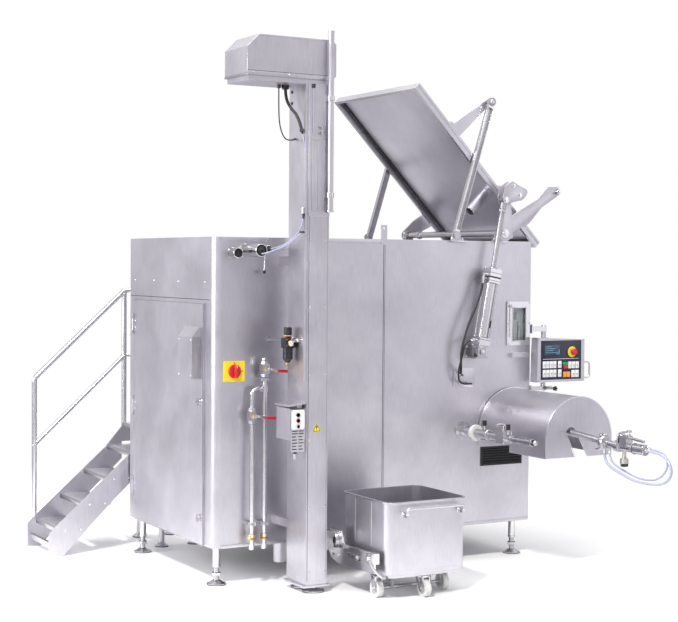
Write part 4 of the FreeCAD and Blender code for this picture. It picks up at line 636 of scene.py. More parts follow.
def stage_lamp(name, place, aim, width, power, colour=(1.0, 1.0, 1.0)):
    """A round area lamp turned to its aim."""
    lamp = bpy.data.lights.new(name, "AREA")
    lamp.shape = "DISK"
    lamp.size = width
    lamp.energy = power
    lamp.color = colour
    thing = bpy.data.objects.new(name, lamp)
    thing.location = place
    thing.rotation_euler = (Vector(aim) - Vector(place)).to_track_quat("-Z", "Y").to_euler()
    bpy.context.scene.collection.objects.link(thing)


class GRINDER_OT_stage(Operator):
    """Sets the floor, the room, the lamps and the camera"""
    bl_idname = "grinder.stage"
    bl_label = "Set the stage"

    def execute(self, context):
        sizes = context.scene.grinder_stage
        stage_floor(sizes.floor_span)
        stage_world()
        aim = (1.3, 0.2, 1.6)
        stage_lamp("stage_key", (-10.2, -9.75, 16.1), aim, 1.8, sizes.key_power, (1.0, 0.985, 0.96))
        stage_lamp("stage_fill", (8.0, -6.5, 3.2), aim, 5.0, sizes.fill_power, (0.95, 0.96, 1.0))
        stage_lamp("stage_left", (-8.5, 1.5, 3.6), (0.0, 0.8, 1.4), 5.0, sizes.left_power, (0.96, 0.96, 1.0))
        stage_lamp("stage_top", (1.2, 0.6, 8.5), aim, 6.0, sizes.top_power)
        camera = bpy.data.cameras.new("stage_camera")
        camera.lens = sizes.lens
        camera.sensor_width = 36.0
        camera.clip_end = 200.0
        thing = bpy.data.objects.new("stage_camera", camera)
        turn = Matrix.Rotation(-sizes.yaw, 4, "Z") @ Matrix.Rotation(math.pi / 2 + sizes.pitch, 4, "X")
        thing.matrix_world = (Matrix.Translation((sizes.eye_x, sizes.eye_y, sizes.eye_z)) @ turn
                              @ Matrix.Rotation(sizes.roll, 4, "Z"))
        context.scene.collection.objects.link(thing)
        context.scene.camera = thing
        context.scene.view_settings.view_transform = "Standard"
        return {"FINISHED"}


# Cabinet walls, door, window and grille

class CabinetSizes(PropertyGroup):
    screw: FloatProperty(name="Screw", description="Radius of the cover screws", default=0.008, unit="LENGTH")
    seam: FloatProperty(name="Seam", description="Width of the shadow line between two sheets",
                        default=0.004, unit="LENGTH")
    rim: FloatProperty(name="Hopper rim", description="Width of the rim round the hopper", default=0.028,
                       unit="LENGTH")


LENGTH, DEPTH, TOP, BOTTOM = 2.800, 1.600, 2.527, 0.280
FOOT_COLUMNS = (0.072, 1.400, 2.710)
FOOT_ROWS = (0.100, 1.500)
DOOR_FACE = -0.0144


def cabinet_seams(sizes):
    """Folded edges and shadow lines where the cabinet's sheets meet."""
    seam = sizes.seam
    low, high = BOTTOM + 0.03, TOP - 0.03
    build = Build()
    build.block((0.060, -0.003, high), (1.387, 0.001, TOP), "brushed_steel")
    build.block((0.066, -0.003, BOTTOM), (LENGTH - 0.003, 0.001, BOTTOM + 0.026), "brushed_steel")
    for x in (1.4115, 1.4225):
        build.block((x, -0.0022, low), (x + seam * 0.6, 0.001, high), "dark_gap", 0)
    for z, out, finish in ((2.070, -0.0006, "dark_gap"), (2.075, -0.0025, "brushed_steel")):
        build.block((out, 0.080, z), (0.001, DEPTH - 0.010, z + 0.004), finish, 0)
    for y in (0.004, DEPTH - 0.030):
        build.block((LENGTH - 0.001, y, BOTTOM), (LENGTH + 0.003, y + 0.026, TOP), "brushed_steel")
    build.block((LENGTH - 0.0005, 0.700, low), (LENGTH + 0.0006, 0.700 + seam, high), "dark_gap", 0)
    for x in (0.700, 1.450, 2.120):
        build.block((x, DEPTH - 0.0005, low), (x + seam, DEPTH + 0.0006, high), "dark_gap", 0)
    build.show("cabinet_seams", "machine", "brushed_steel")


def cabinet_screws(sizes):
    """Domed screws along the removable sheets."""
    build = Build()
    for y, z in ((1.111, 2.199), (0.647, 2.197), (0.160, 2.199), (1.500, 2.197)):
        build.screw((0.0, y, z), LEFT, sizes.screw)
    for z in (0.60, 1.10, 1.60, 2.10):
        for y in (0.640, 0.780, 1.540):
            build.screw((LENGTH, y, z), RIGHT, sizes.screw)
    for x in (0.640, 0.770, 1.390, 1.520, 2.060, 2.190):
        for z in (0.45, 1.05, 1.65, 2.25):
            build.screw((x, DEPTH, z), BACK, sizes.screw)
    build.show("cabinet_screws", "machine", "bright_steel")


def hopper_rim(sizes):
    """The turned-in rim of the hopper mouth with its flat rubber seal."""
    left, right, front, back = 0.582, 2.178, 0.102, 1.298
    build = Build()
    seal = Build()
    for piece, wide, low, high, finish in ((build, sizes.rim, -0.004, 0.0002, "brushed_steel"),
                                           (seal, sizes.rim * 0.5, -0.0002, 0.0003, "black_rubber")):
        for y in (front - wide, back):
            piece.block((left - wide, y, TOP + low), (right + wide, y + wide, TOP + high), finish, 0)
        for x in (left - wide, right):
            piece.block((x, front, TOP + low), (x + wide, back, TOP + high), finish, 0)
    build.show("hopper_rim", "machine", "brushed_steel")
    seal.show("hopper_seal", "machine", "black_rubber")


def door_hardware():
    """Seal line, latch plates, cover screws and hinge caps of the service door."""
    build = Build()
    for y in (0.162, 1.474):
        build.block((DOOR_FACE - 0.001, y, 0.290), (DOOR_FACE + 0.002, y + 0.006, 2.040), "bright_steel",
                    0.0006)
    for z in (0.283, 2.039):
        build.block((DOOR_FACE - 0.001, 0.162, z), (DOOR_FACE + 0.002, 1.480, z + 0.006), "bright_steel",
                    0.0006)
    for z in (0.480, 1.330):
        build.lathe((DOOR_FACE, 0.196, z), LEFT, [(0, 0.026), (0.004, 0.026), (0.006, 0.022), (0.006, 0)],
                    "bright_steel", 32)
        build.lathe((DOOR_FACE - 0.034, 0.196, z), LEFT, [(0, 0.0075), (0.003, 0.0075), (0.004, 0.005),
                                                          (0.004, 0)], "machined_steel", 20)
    for z in (0.500, 1.150, 1.800):
        for lift in (-0.030, 0.120):
            build.lathe((-0.020, 1.492, z + lift + 0.0005), DOWN if lift < 0 else UP,
                        [(0, 0.009), (0.003, 0.009), (0.006, 0.005), (0.006, 0)], "machined_steel", 18)
        build.screw((DOOR_FACE, 1.462, z + 0.02), LEFT, 0.007)
        build.screw((DOOR_FACE, 1.462, z + 0.07), LEFT, 0.007)
    for y in (0.200, 0.409):
        for z in (1.520, 1.780):
            build.screw((-0.0944, y, z), LEFT, 0.006)
    build.block((-0.0947, 0.184, 1.499), (-0.0150, 0.190, 1.801), "satin_steel", 0.001)
    build.show("door_hardware", "service_door_body", "bright_steel")


def window_parts():
    """Inner frame, screws, hinge bar and latch of the observation window, and what shows behind it."""
    build = Build()
    left, right, low, high = 2.612, 2.748, 1.728, 2.000
    wide = 0.009
    for x in (left - 0.002, right - wide + 0.002):
        build.block((x, -0.017, low - 0.004), (x + wide, 0.001, high + 0.004), "bright_steel", 0.002)
    for z in (low - 0.002, high - wide + 0.002):
        build.block((left, -0.017, z), (right, 0.001, z + wide), "bright_steel", 0.002)
    for x in (2.574, 2.777):
        for z in (1.708, 1.870, 2.036):
            build.screw((x, -0.014, z), FRONT, 0.0065)
    build.bar((2.585, -0.0145, 1.760), (2.585, -0.0145, 2.020), 0.005, "bright_steel", 14)
    build.lathe((2.590, -0.014, 2.010), FRONT, [(0, 0.013), (0.010, 0.013), (0.014, 0.008), (0.014, 0)],
                "machined_steel", 24)
    build.show("window_parts", "machine", "bright_steel")
    inside = Build()
    inside.block((2.600, 0.030, 1.715), (2.760, 0.036, 2.010), "white_nylon", 0)
    inside.block((2.640, 0.022, 1.900), (2.680, 0.030, 1.960), "cast_grey", 0.004)
    inside.bar((2.700, 0.020, 1.730), (2.700, 0.020, 1.880), 0.012, "machined_steel", 20)
    inside.show("window_inside", "machine", "machined_steel")


def grille_parts():
    """Corner screws of the vent grille and a dark sheet behind it as painted shade."""
    build = Build()
    for x in (2.333, 2.718):
        for z in (0.750, 0.887):
            build.screw((x, -0.008, z), FRONT, 0.005, "black_plastic")
    # Painted shade: a dark sheet behind the grille's slots.
    build.block((2.338, 0.006, 0.755), (2.713, 0.010, 0.882), "dark_gap", 0)
    build.show("grille_parts", "machine", "black_plastic")


class GRINDER_OT_cabinet(Operator):
    """Adds the seams, screws, hopper rim, door, window and grille parts"""
    bl_idname = "grinder.cabinet"
    bl_label = "Dress the cabinet"

    def execute(self, context):
        sizes = context.scene.grinder_cabinet
        cabinet_seams(sizes)
        cabinet_screws(sizes)
        hopper_rim(sizes)
        door_hardware()
        window_parts()
        grille_parts()
        return {"FINISHED"}


# Levelling feet

class FootSizes(PropertyGroup):
    disc: FloatProperty(name="Disc", description="Radius of the foot disc", default=0.070, unit="LENGTH")
    pitch: FloatProperty(name="Thread pitch", description="Pitch of the foot thread", default=0.004,
                         unit="LENGTH")


class GRINDER_OT_feet(Operator):
    """Adds threads, nuts and rubber soles to the levelling feet"""
    bl_idname = "grinder.feet"
    bl_label = "Dress the feet"

    def execute(self, context):
        sizes = context.scene.grinder_feet
        build = Build()
        for x in FOOT_COLUMNS:
            for y in FOOT_ROWS:
                build.thread((x, y, 0.036), UP, 0.0212, 0.034, sizes.pitch)
                build.thread((x, y, 0.092), UP, 0.0212, 0.038, sizes.pitch)
                build.lathe((x, y, 0.070), UP, [(0, 0.034), (0.003, 0.037), (0.019, 0.037), (0.022, 0.034),
                                                (0.022, 0)], "bright_steel", 6)
                build.lathe((x, y, 0.0005), UP, [(0, sizes.disc - 0.004), (0.004, sizes.disc + 0.0006),
                                                 (0.009, sizes.disc + 0.0006), (0.011, sizes.disc - 0.002)],
                            "black_rubber", 48)
                build.lathe((x, y, 0.130), UP, [(0, 0.0285), (0.002, 0.0305), (0.012, 0.0305),
                                                (0.014, 0.0285)], "bright_steel", 32)
                build.hoop((x, y, 0.2785), UP, 0.029, 0.0035, "weld_bead", 32, 8)
        for y in (-0.430, -0.260):
            build.lathe((0.585, y, 0.0142), UP, [(0, 0.064), (0.004, 0.060), (0.014, 0.030), (0.016, 0.024),
                                                 (0.016, 0)], "bright_steel", 40)
            build.lathe((0.585, y, 0.0005), UP, [(0, 0.074), (0.004, 0.0786), (0.009, 0.0786),
                                                 (0.011, 0.076)], "black_rubber", 48)
        build.show("foot_parts", "machine", "bright_steel")
        return {"FINISHED"}


# Bin lift column, its drive housing and its control box

class ColumnSizes(PropertyGroup):
    screw: FloatProperty(name="Screw", description="Radius of the cover screws", default=0.0075,
                         unit="LENGTH")
    sign: FloatProperty(name="Sign", description="Side length of the yellow triangle", default=0.062,
                        unit="LENGTH")


COLUMN_LEFT, COLUMN_RIGHT, COLUMN_FRONT = 0.490, 0.660, -0.490
COVER_FACE = COLUMN_FRONT - 0.004
POLE_X, POLE_Y = 0.650, -0.522
BUTTON_X, BUTTON_Z, BUTTON_STEP = 0.425, 1.275, 0.040


def column_parts(sizes):
    """Cover screws, folded seams, the yellow triangle, sensors and recess sheet of the lift column."""
    build = Build()
    for z in (0.160, 0.620, 1.090, 1.560, 2.030, 2.500):
        for x in (0.512, 0.638):
            build.screw((x, COVER_FACE, z), FRONT, sizes.screw)
    for x in (0.500, 0.6475):
        build.block((x, COLUMN_FRONT - 0.0015, 0.090), (x + 0.0025, COLUMN_FRONT + 0.001, 2.670),
                    "dark_gap", 0)
    for x in (COLUMN_LEFT, COLUMN_RIGHT - 0.008):
        build.block((x, COLUMN_FRONT - 0.0025, 2.705), (x + 0.008, COLUMN_FRONT + 0.001, 3.590),
                    "bright_steel", 0.001)
    for z in (2.7045, 3.2135):
        build.block((0.512, COLUMN_FRONT - 0.0025, z), (0.649, COLUMN_FRONT + 0.001, z + 0.005),
                    "bright_steel", 0.001)
    for y in (-0.470, -0.240):
        for z in (3.480, 3.560):
            build.lathe((COLUMN_LEFT, y, z), LEFT, [(0, 0.012), (0.003, 0.012), (0.006, 0.008), (0.006, 0)],
                        "black_plastic", 24)
    build.show("column_trim", "machine", "brushed_steel")

    sign = Build()
    side = sizes.sign
    middle = (0.569, COVER_FACE - 0.0002, 1.172)
    height = side * math.sqrt(3) / 2
    outline = [(-side / 2, -height / 3), (side / 2, -height / 3), (0, height * 2 / 3)]
    sign.plate([(a * 1.14, u * 1.14) for a, u in outline], RIGHT, UP, middle, 0.0006, "yellow_plastic", 0)
    sign.plate(outline, RIGHT, UP, moved([middle], (0, -0.0006, 0))[0], 0.0003, "dark_gap", 0)
    sign.plate([(a * 0.78, u * 0.78) for a, u in outline], RIGHT, UP, moved([middle], (0, -0.0009, 0))[0],
               0.0003, "yellow_plastic", 0)
    sign.plate([(-0.003, -0.002), (0.003, -0.002), (0.005, 0.020), (-0.005, 0.020)], RIGHT, UP,
               moved([middle], (0, -0.0012, 0))[0], 0.0003, "dark_gap", 0)
    sign.disc(moved([middle], (0, -0.0012, -0.0085))[0], FRONT, 0.0032, 0.0003, "dark_gap", 16)
    sign.show("yellow_triangle", "machine", "yellow_plastic")

    inside = Build()
    inside.block((0.5175, COLUMN_FRONT + 0.0030, 2.7115), (0.6435, COLUMN_FRONT + 0.0045, 3.2055),
                 "brushed_steel", 0)
    for x, wide in ((0.5185, 0.008), (0.566, 0.003), (0.612, 0.010)):
        inside.block((x, COLUMN_FRONT - 0.0005, 2.7115), (x + wide, COLUMN_FRONT + 0.0035, 3.2055),
                     "satin_steel", 0.001)
    x, front = 0.591, COLUMN_FRONT - 0.023
    for z in (3.262, 3.300):
        inside.thread((x, front, z), BACK, 0.0112, 0.018, 0.0015)
        inside.disc((x, front + 0.006, z), BACK, 0.016, 0.005, "bright_steel", 6)
        inside.disc((x, front + 0.0008, z), FRONT, 0.0095, 0.0012, "cast_grey", 20)
    inside.show("column_recess", "machine", "brushed_steel")


def pole_parts():
    """Caps and clips of the polished guide pole."""
    build = Build()
    build.lathe((POLE_X, POLE_Y, 3.971), UP, [(0, 0.0228), (0.0008, 0.0228), (0.0009, 0.018), (0.0009, 0)],
                "black_plastic", 36)
    build.pipe((POLE_X, POLE_Y, 2.702), (POLE_X, POLE_Y, 2.716), 0.024, 0.0205, "bright_steel")
    for z in (2.800, 3.480):
        build.pipe((POLE_X, POLE_Y, z + 0.004), (POLE_X, POLE_Y, z + 0.036), 0.0262, 0.0212, "bright_steel")
        build.bolt((POLE_X - 0.017, POLE_Y + 0.0095, z + 0.020), LEFT, 0.010, 0.006)
    build.show("pole_clips", "machine", "bright_steel")


CONDUIT_X, THIN_CABLE_X, CABLE_Y = 0.404, 0.352, -0.300


def drive_parts():
    """Folded lips, seams and screws of the drive housing, and the glands below it."""
    build = Build()
    left, right, front, back, low, high = 0.016, 0.715, -0.480, -0.120, 3.631, 3.915
    build.block((left + 0.002, front - 0.0025, low), (right - 0.030, front + 0.002, low + 0.030),
                "brushed_steel")
    build.block((left + 0.002, front - 0.0006, low + 0.030), (right - 0.030, front + 0.002, low + 0.033),
                "dark_gap", 0)
    build.block((left - 0.0025, front, low), (left + 0.002, back, low + 0.018), "bright_steel")
    build.block((0.640, front - 0.0025, low + 0.032), (0.646, front + 0.002, high - 0.002), "satin_steel")
    build.block((left + 0.090, front - 0.0025, high - 0.012), (right - 0.030, front + 0.002, high),
                "satin_steel")
    build.block((left - 0.0022, front - 0.0022, low + 0.018), (left + 0.0035, front + 0.0035, high - 0.090),
                "bright_steel", 0.002)
    for x in (0.060, 0.340, 0.600):
        build.screw((x, front - 0.0025, low + 0.015), FRONT, 0.006)
        build.screw((x + 0.06, back, low + 0.060), BACK, 0.007)
        build.screw((x + 0.06, back, high - 0.060), BACK, 0.007)
    build.show("drive_trim", "machine", "brushed_steel")
    glands = Build()
    floor = 3.5966
    x, y = 0.5285, -0.493
    glands.lathe((CONDUIT_X, CABLE_Y, floor), DOWN, [(0, 0.030), (0.010, 0.030), (0.010, 0.027),
                                                     (0.028, 0.025), (0.030, 0.0115)], "black_plastic", 8)
    glands.lathe((THIN_CABLE_X, CABLE_Y, floor), DOWN, [(0, 0.016), (0.008, 0.016), (0.022, 0.012),
                                                        (0.024, 0.006)], "black_plastic", 8)
    glands.lathe((x, y, floor), DOWN, [(0, 0.014), (0.026, 0.012), (0.028, 0.006)], "black_plastic", 8)
    glands.bar((x, y, 3.570), (x, y, 3.250), 0.0045, "white_hose_plastic", 14)
    glands.show("drive_glands", "machine", "black_plastic")


def lift_box_parts():
    """White button plate, lettering plate, rims, screws and roof edge of the lift control box."""
    build = Build()
    face = -0.4814
    for level in range(3):
        z = BUTTON_Z - BUTTON_STEP * level
        build.lathe((BUTTON_X, face, z), FRONT, [(0, 0.0175), (0.003, 0.0175), (0.0045, 0.0150),
                                                 (0.0045, 0.0142), (0, 0.0142)], "satin_steel", 36)
    build.plate(round_corners(0.104, 0.136, 0.006), RIGHT, UP, (0.426, face + 0.0008, 1.242), 0.0012,
                "white_plastic", 0)
    for x in (0.378, 0.474):
        for z in (1.180, 1.304):
            build.screw((x, face, z), FRONT, 0.0035)
    build.block((0.372, -0.483, 1.3155), (0.480, -0.476, 1.3205), "dark_gap", 0.001)
    for z in (1.030, 1.052, 1.074, 1.096, 1.118, 1.140, 1.158):
        for x, wide in ((0.380, 0.044), (0.432, 0.040)):
            build.block((x, -0.4799, z), (x + wide - (z * 1000 % 3) * 0.006, -0.4792, z + 0.007),
                        "dark_gap", 0)
    for x in (0.376, 0.476):
        build.screw((x, -0.4794, 1.168), FRONT, 0.003)
    build.show("lift_box_plates", "machine", "white_plastic")
    gland = Build()
    x, y = 0.430, -0.430
    gland.lathe((x, y, 1.0975), DOWN, [(0, 0.024), (0.012, 0.024), (0.012, 0.021), (0.034, 0.0205),
                                       (0.044, 0.0135), (0.050, 0.0125)], "cast_grey", 6)
    gland.lathe((x, y, 1.046), DOWN, [(0, 0.0192), (0.004, 0.0196), (0.020, 0.018), (0.050, 0.0125)],
                "black_plastic", 24)
    gland.hoop((x, y, 1.000), UP, 0.0125, 0.002, "black_rubber", 24, 8)
    gland.show("lift_box_gland", "machine", "black_plastic")


def lift_buttons():
    """Domed faces on the three push buttons."""
    words = (("up", "black_plastic"), ("stop", "red_plastic"), ("down", "white_plastic"))
    for level, (word, finish) in enumerate(words):
        z = BUTTON_Z - BUTTON_STEP * level
        build = Build()
        build.lathe((BUTTON_X, COLUMN_FRONT - 0.0005, z), FRONT,
                    [(0, 0.0142), (0.0014, 0.0142), (0.0015, 0.0125), (0.0015, 0.0)], finish, 32)
        build.show("lift_button_face_" + word, f"lift_button_{word}_body", finish)


class GRINDER_OT_column(Operator):
    """Adds the parts of the lift column, drive housing and control box"""
    bl_idname = "grinder.column"
    bl_label = "Dress the bin lift"

    def execute(self, context):
        column_parts(context.scene.grinder_column)
        pole_parts()
        drive_parts()
        lift_box_parts()
        lift_buttons()
        return {"FINISHED"}


# Lid, arms, crank and cylinder. Each is written in its own straight frame at rest.

LID_ANGLE = math.radians(46)
ARM_LEAN = math.radians(17.286)
CYLINDER_LEAN = math.radians(10.322)
CYLINDER_PLANE = -0.095
ARM_PIVOT = (2.087, 0, 2.567)
ARM_REACH = 1.11021
CRANK = (2.499, 0, 2.590)
CYLINDER_FOOT = (2.241, 0, 1.654)
ROD_REACH = 1.21669


def leaning(place, lean=0.0):
    """A frame that stands on a place and leans to the right."""
    return Matrix.Translation(at(*place)) @ Matrix.Rotation(lean, 4, "Y")


def lid_frame():
    """x runs up along the lid from its low edge, y from its far rim to its near rim, z out of its skin."""
    along = Vector((-math.cos(LID_ANGLE), 0, math.sin(LID_ANGLE)))
    out = Vector((math.sin(LID_ANGLE), 0, math.cos(LID_ANGLE)))
    turn = Matrix((along, -BACK, out)).transposed().to_4x4()
    return Matrix.Translation(at(2.933, 1.323, 2.524)) @ turn


class LidSizes(PropertyGroup):
    length: FloatProperty(name="Length", description="Length of the lid", default=1.688, unit="LENGTH")
    width: FloatProperty(name="Width", description="Width of the lid", default=1.263, unit="LENGTH")
    depth: FloatProperty(name="Depth", description="Depth of the lid's rim", default=0.062, unit="LENGTH")
    hem: FloatProperty(name="Hem", description="Width of the folded hem", default=0.022, unit="LENGTH")


def lid_parts(sizes):
    """Folded hem, rubber seal, stiffening beads, port mouth, cap and lug bolts of the lid."""
    long, wide, deep, hem = sizes.length, sizes.width, sizes.depth, sizes.hem
    build = Build(lid_frame())
    for y in (0.0, wide - hem):
        build.block((0.0, y, -deep - 0.0005), (long, y + hem, -deep + 0.003), "bright_steel", 0)
    for x in (0.0, long - hem):
        build.block((x, hem, -deep - 0.0005), (x + hem, wide - hem, -deep + 0.003), "bright_steel", 0)
    for y in (-0.0016, wide + 0.0016):
        build.block((0.004, y - 0.0018, -0.024), (long - 0.004, y + 0.0018, -0.014), "satin_steel", 0.001)
    for y in (0.120, wide - 0.120):
        build.block((0.060, y - 0.016, -0.001), (long - 0.060, y + 0.016, 0.0045), "brushed_steel", 0.003)
    build.show("lid_hem", "lid_body", "brushed_steel")
    seal = Build(lid_frame())
    inset = hem + 0.010
    corners = [(inset, inset), (long - inset, inset), (long - inset, wide - inset), (inset, wide - inset)]
    for first, second in zip(corners, corners[1:] + corners[:1]):
        seal.bar((*first, -0.0115), (*second, -0.0115), 0.0065, "black_rubber", 12, 0)
    seal.show("lid_seal", "lid_body", "black_rubber")
    port = Build(lid_frame())
    x, y = 0.560, wide - 0.200
    port.pipe((x, y, -0.232), (x, y, -0.222), 0.047, 0.0372, "bright_steel", 48)
    # Painted shade: a dark tube inside the port's mouth.
    port.pipe((x, y, -0.206), (x, y, -0.120), 0.0358, 0.030, "dark_gap", 40)
    port.hoop((x, y, -0.0055), UP, 0.046, 0.004, "weld_bead", 48, 8)
    port.lathe((x, y, 0.0202), UP, [(0, 0.066), (0.010, 0.066), (0.013, 0.062), (0.015, 0.030), (0.017, 0)],
               "bright_steel", 48)
    for along, side in spread(6, 0.054, 15):
        port.bolt((x + along, y + side, 0.0325), UP, 0.013, 0.008)
    port.pipe((x, y, 0.036), (x, y, 0.062), 0.030, 0.024, "black_rubber", 32)
    port.lathe((x, y, 0.062), UP, [(0, 0.033), (0.004, 0.036), (0.022, 0.036), (0.026, 0.032), (0.026, 0)],
               "cast_grey", 32)
    for y in (0.019, wide - 0.029):
        for x in (1.160, 1.230):
            port.weld((x - 0.045, y + 0.005, 0.0005), (x + 0.045, y + 0.005, 0.0005), 0.0072)
    port.show("lid_port_parts", "lid_body", "bright_steel")


def arm_parts():
    """Channel edges, eye bosses, pin heads and washers on the two lid arms."""
    reach = ARM_REACH
    build = Build(leaning(ARM_PIVOT, ARM_LEAN))
    for outer, inner, way in ((0.018, 0.048, FRONT), (1.365, 1.335, BACK)):
        low, high = sorted((outer, inner))
        for x in (-0.0255, 0.0195):
            build.block((x, low - 0.0008, 0.040), (x + 0.006, high + 0.0008, reach - 0.040), "bright_steel",
                        0.0012)
        for z in (0.0, reach):
            build.lathe((0, outer, z), way, [(0, 0.034), (0.003, 0.034), (0.004, 0.032), (0.004, 0.0)],
                        "machined_steel", 40)
            build.lathe((0, outer + way.y * 0.004, z), way,
                        [(0, 0.022), (0.002, 0.022), (0.010, 0.018), (0.013, 0.010), (0.0135, 0.0)],
                        "bright_steel", 36)
            build.hoop((0, outer + way.y * 0.004, z), way, 0.0225, 0.0018, "machined_steel", 36, 8)
        for x in (-0.0225, 0.0225):
            build.weld((x, outer, 0.044), (x, outer, 0.074), 0.0035)
            build.weld((x, outer, reach - 0.074), (x, outer, reach - 0.044), 0.0035)
    build.show("arm_trim", "lid_arms_body", "bright_steel")


def bearing_parts():
    """Bolts, grease nipples and welds of the bearing blocks, and the cylinder bracket's pin and bolts."""
    build = Build()
    arm_x, _, arm_z = ARM_PIVOT
    crank_x = CRANK[0]
    foot_x, _, foot_z = CYLINDER_FOOT
    for x, wide in ((arm_x, 0.072), (crank_x, 0.066)):
        build.block((x - wide, -0.038, TOP - 0.013), (x + wide, -0.0005, TOP - 0.001), "bright_steel", 0.001)
    for y in (0.0095, 1.3735):
        for x in (arm_x - 0.047, arm_x + 0.047):
            build.bolt((x, y, TOP + 0.014), UP, 0.013, 0.008)
        build.lathe((arm_x, y - 0.0077 if y < 1 else y + 0.0077, arm_z), FRONT if y < 1 else BACK,
                    [(0, 0.031), (0.002, 0.031), (0.004, 0.028), (0.004, 0)], "machined_steel", 40)
    for y in (0.023, 1.370):
        for x in (crank_x - 0.044, crank_x + 0.044):
            build.bolt((x, y, TOP + 0.012), UP, 0.015, 0.010)
        build.lathe((crank_x, y, CRANK[2] + 0.036), UP, [(0, 0.005), (0.005, 0.005), (0.006, 0.003),
                                                         (0.012, 0.0035), (0.014, 0)], "brass", 12)
    for z in (foot_z - 0.034, foot_z + 0.040):
        for x in (foot_x - 0.063, foot_x + 0.063):
            build.bolt((x, -0.010, z), FRONT, 0.013, 0.008)
    pin_y = CYLINDER_PLANE - 0.040
    build.lathe((foot_x, pin_y, foot_z), FRONT, [(0, 0.020), (0.002, 0.020), (0.003, 0.013), (0.009, 0.012),
                                                 (0.010, 0)], "bright_steel", 32)
    build.hoop((foot_x, CYLINDER_PLANE + 0.0365, foot_z), FRONT, 0.0150, 0.002, "machined_steel", 32, 8)
    for x in (foot_x - 0.040, foot_x + 0.034):
        build.weld((x, CYLINDER_PLANE - 0.034, foot_z - 0.0355),
                   (x, CYLINDER_PLANE - 0.022, foot_z - 0.0355), 0.003)
    build.show("bearing_parts", "machine", "bright_steel")


def crank_parts():
    """The crank: shaft, two bent levers, crank plate with a clevis, pins, collars and bolts."""
    build = Build(leaning(CRANK))
    build.bar((0, -0.062, 0), (0, 1.451, 0), 0.025, "bright_steel", 48, 0.002)
    lever_pin, crank_pin = (0.530, 0.342), (-0.040, 0.261)
    lever = [(-0.036, -0.034), (0.082, 0.004), (0.240, 0.074), (0.262, 0.090), (0.376, 0.212),
             (0.548, 0.316), *flat(arc((0.522, 0, 0.345), 0.038, -30, 110, 8)), (0.441, 0.381),
             (0.408, 0.352), (0.332, 0.275), (0.163, 0.185), (0.071, 0.129), (-0.030, 0.038)]
    for inner in (-0.020, 1.417):
        build.plate(lever, RIGHT, UP, (0, inner, 0), 0.014, "brushed_steel", 0.002)
    for y, way in ((-0.0345, FRONT), (1.4172, BACK), (1.4028, FRONT)):
        build.lathe((0, y, 0), way, [(0, 0.0252), (0, 0.040), (0.008, 0.040), (0.011, 0.036),
                                     (0.011, 0.0252)], "machined_steel", 44)
    build.lathe((0, 1.175, 0), BACK, [(0, 0.0252), (0.002, 0.034), (0.028, 0.034), (0.030, 0.0252)],
                "bright_steel", 44)
    crank = [(-0.027, 0.253), (-0.065, -0.018), *flat(arc((0, 0, 0), 0.066, 200, 320, 10)), (0.076, -0.040),
             (0.054, 0.244)]
    build.plate(crank, RIGHT, UP, (0, -0.046, 0), 0.016, "brushed_steel", 0.002)
    clevis = [(0.071, 0.253), (0.109, 0.258), (0.147, 0.289), (0.167, 0.324), (0.158, 0.347), (0.103, 0.369),
              (0.016, 0.409), (-0.049, 0.369), (-0.070, 0.289), (-0.062, 0.236), (-0.027, 0.228)]
    for inner in (-0.0465, -0.1145):
        build.plate(clevis, RIGHT, UP, (0, inner, 0), 0.012, "brushed_steel", 0.002)
    nose_pin, top_pin = (0.093, 0.300), (0.030, 0.372)
    for (x, z), radius in ((nose_pin, 0.013), (top_pin, 0.010)):
        build.bar((x, -0.115, z), (x, -0.057, z), radius, "machined_steel", 24)
    build.bar((crank_pin[0], -0.116, crank_pin[1]), (crank_pin[0], -0.058, crank_pin[1]), 0.015,
              "machined_steel", 32)
    for x, z, across in ((*crank_pin, 0.026), (*nose_pin, 0.022), (*top_pin, 0.018)):
        build.bolt((x, -0.1265, z), FRONT, across, 0.012)
    build.lathe((0, -0.062, 0), FRONT, [(0, 0.036), (0.004, 0.036), (0.006, 0.034), (0.006, 0.026),
                                        (0.011, 0.024), (0.0125, 0.012), (0.013, 0)], "bright_steel", 44)
    x, z = lever_pin
    build.bar((x, -0.064, z), (x, -0.034, z), 0.020, "machined_steel", 32, 0.003)
    build.bolt((x, -0.064, z), FRONT, 0.018, 0.010)
    for start, end in ((-0.021, 0.012), (1.392, 1.404)):
        build.bar((x, start, z), (x, end, z), 0.026, "black_rubber", 32, 0.004)
    build.show("crank_and_levers", "lid_crank_body", "brushed_steel", "lid_crank")


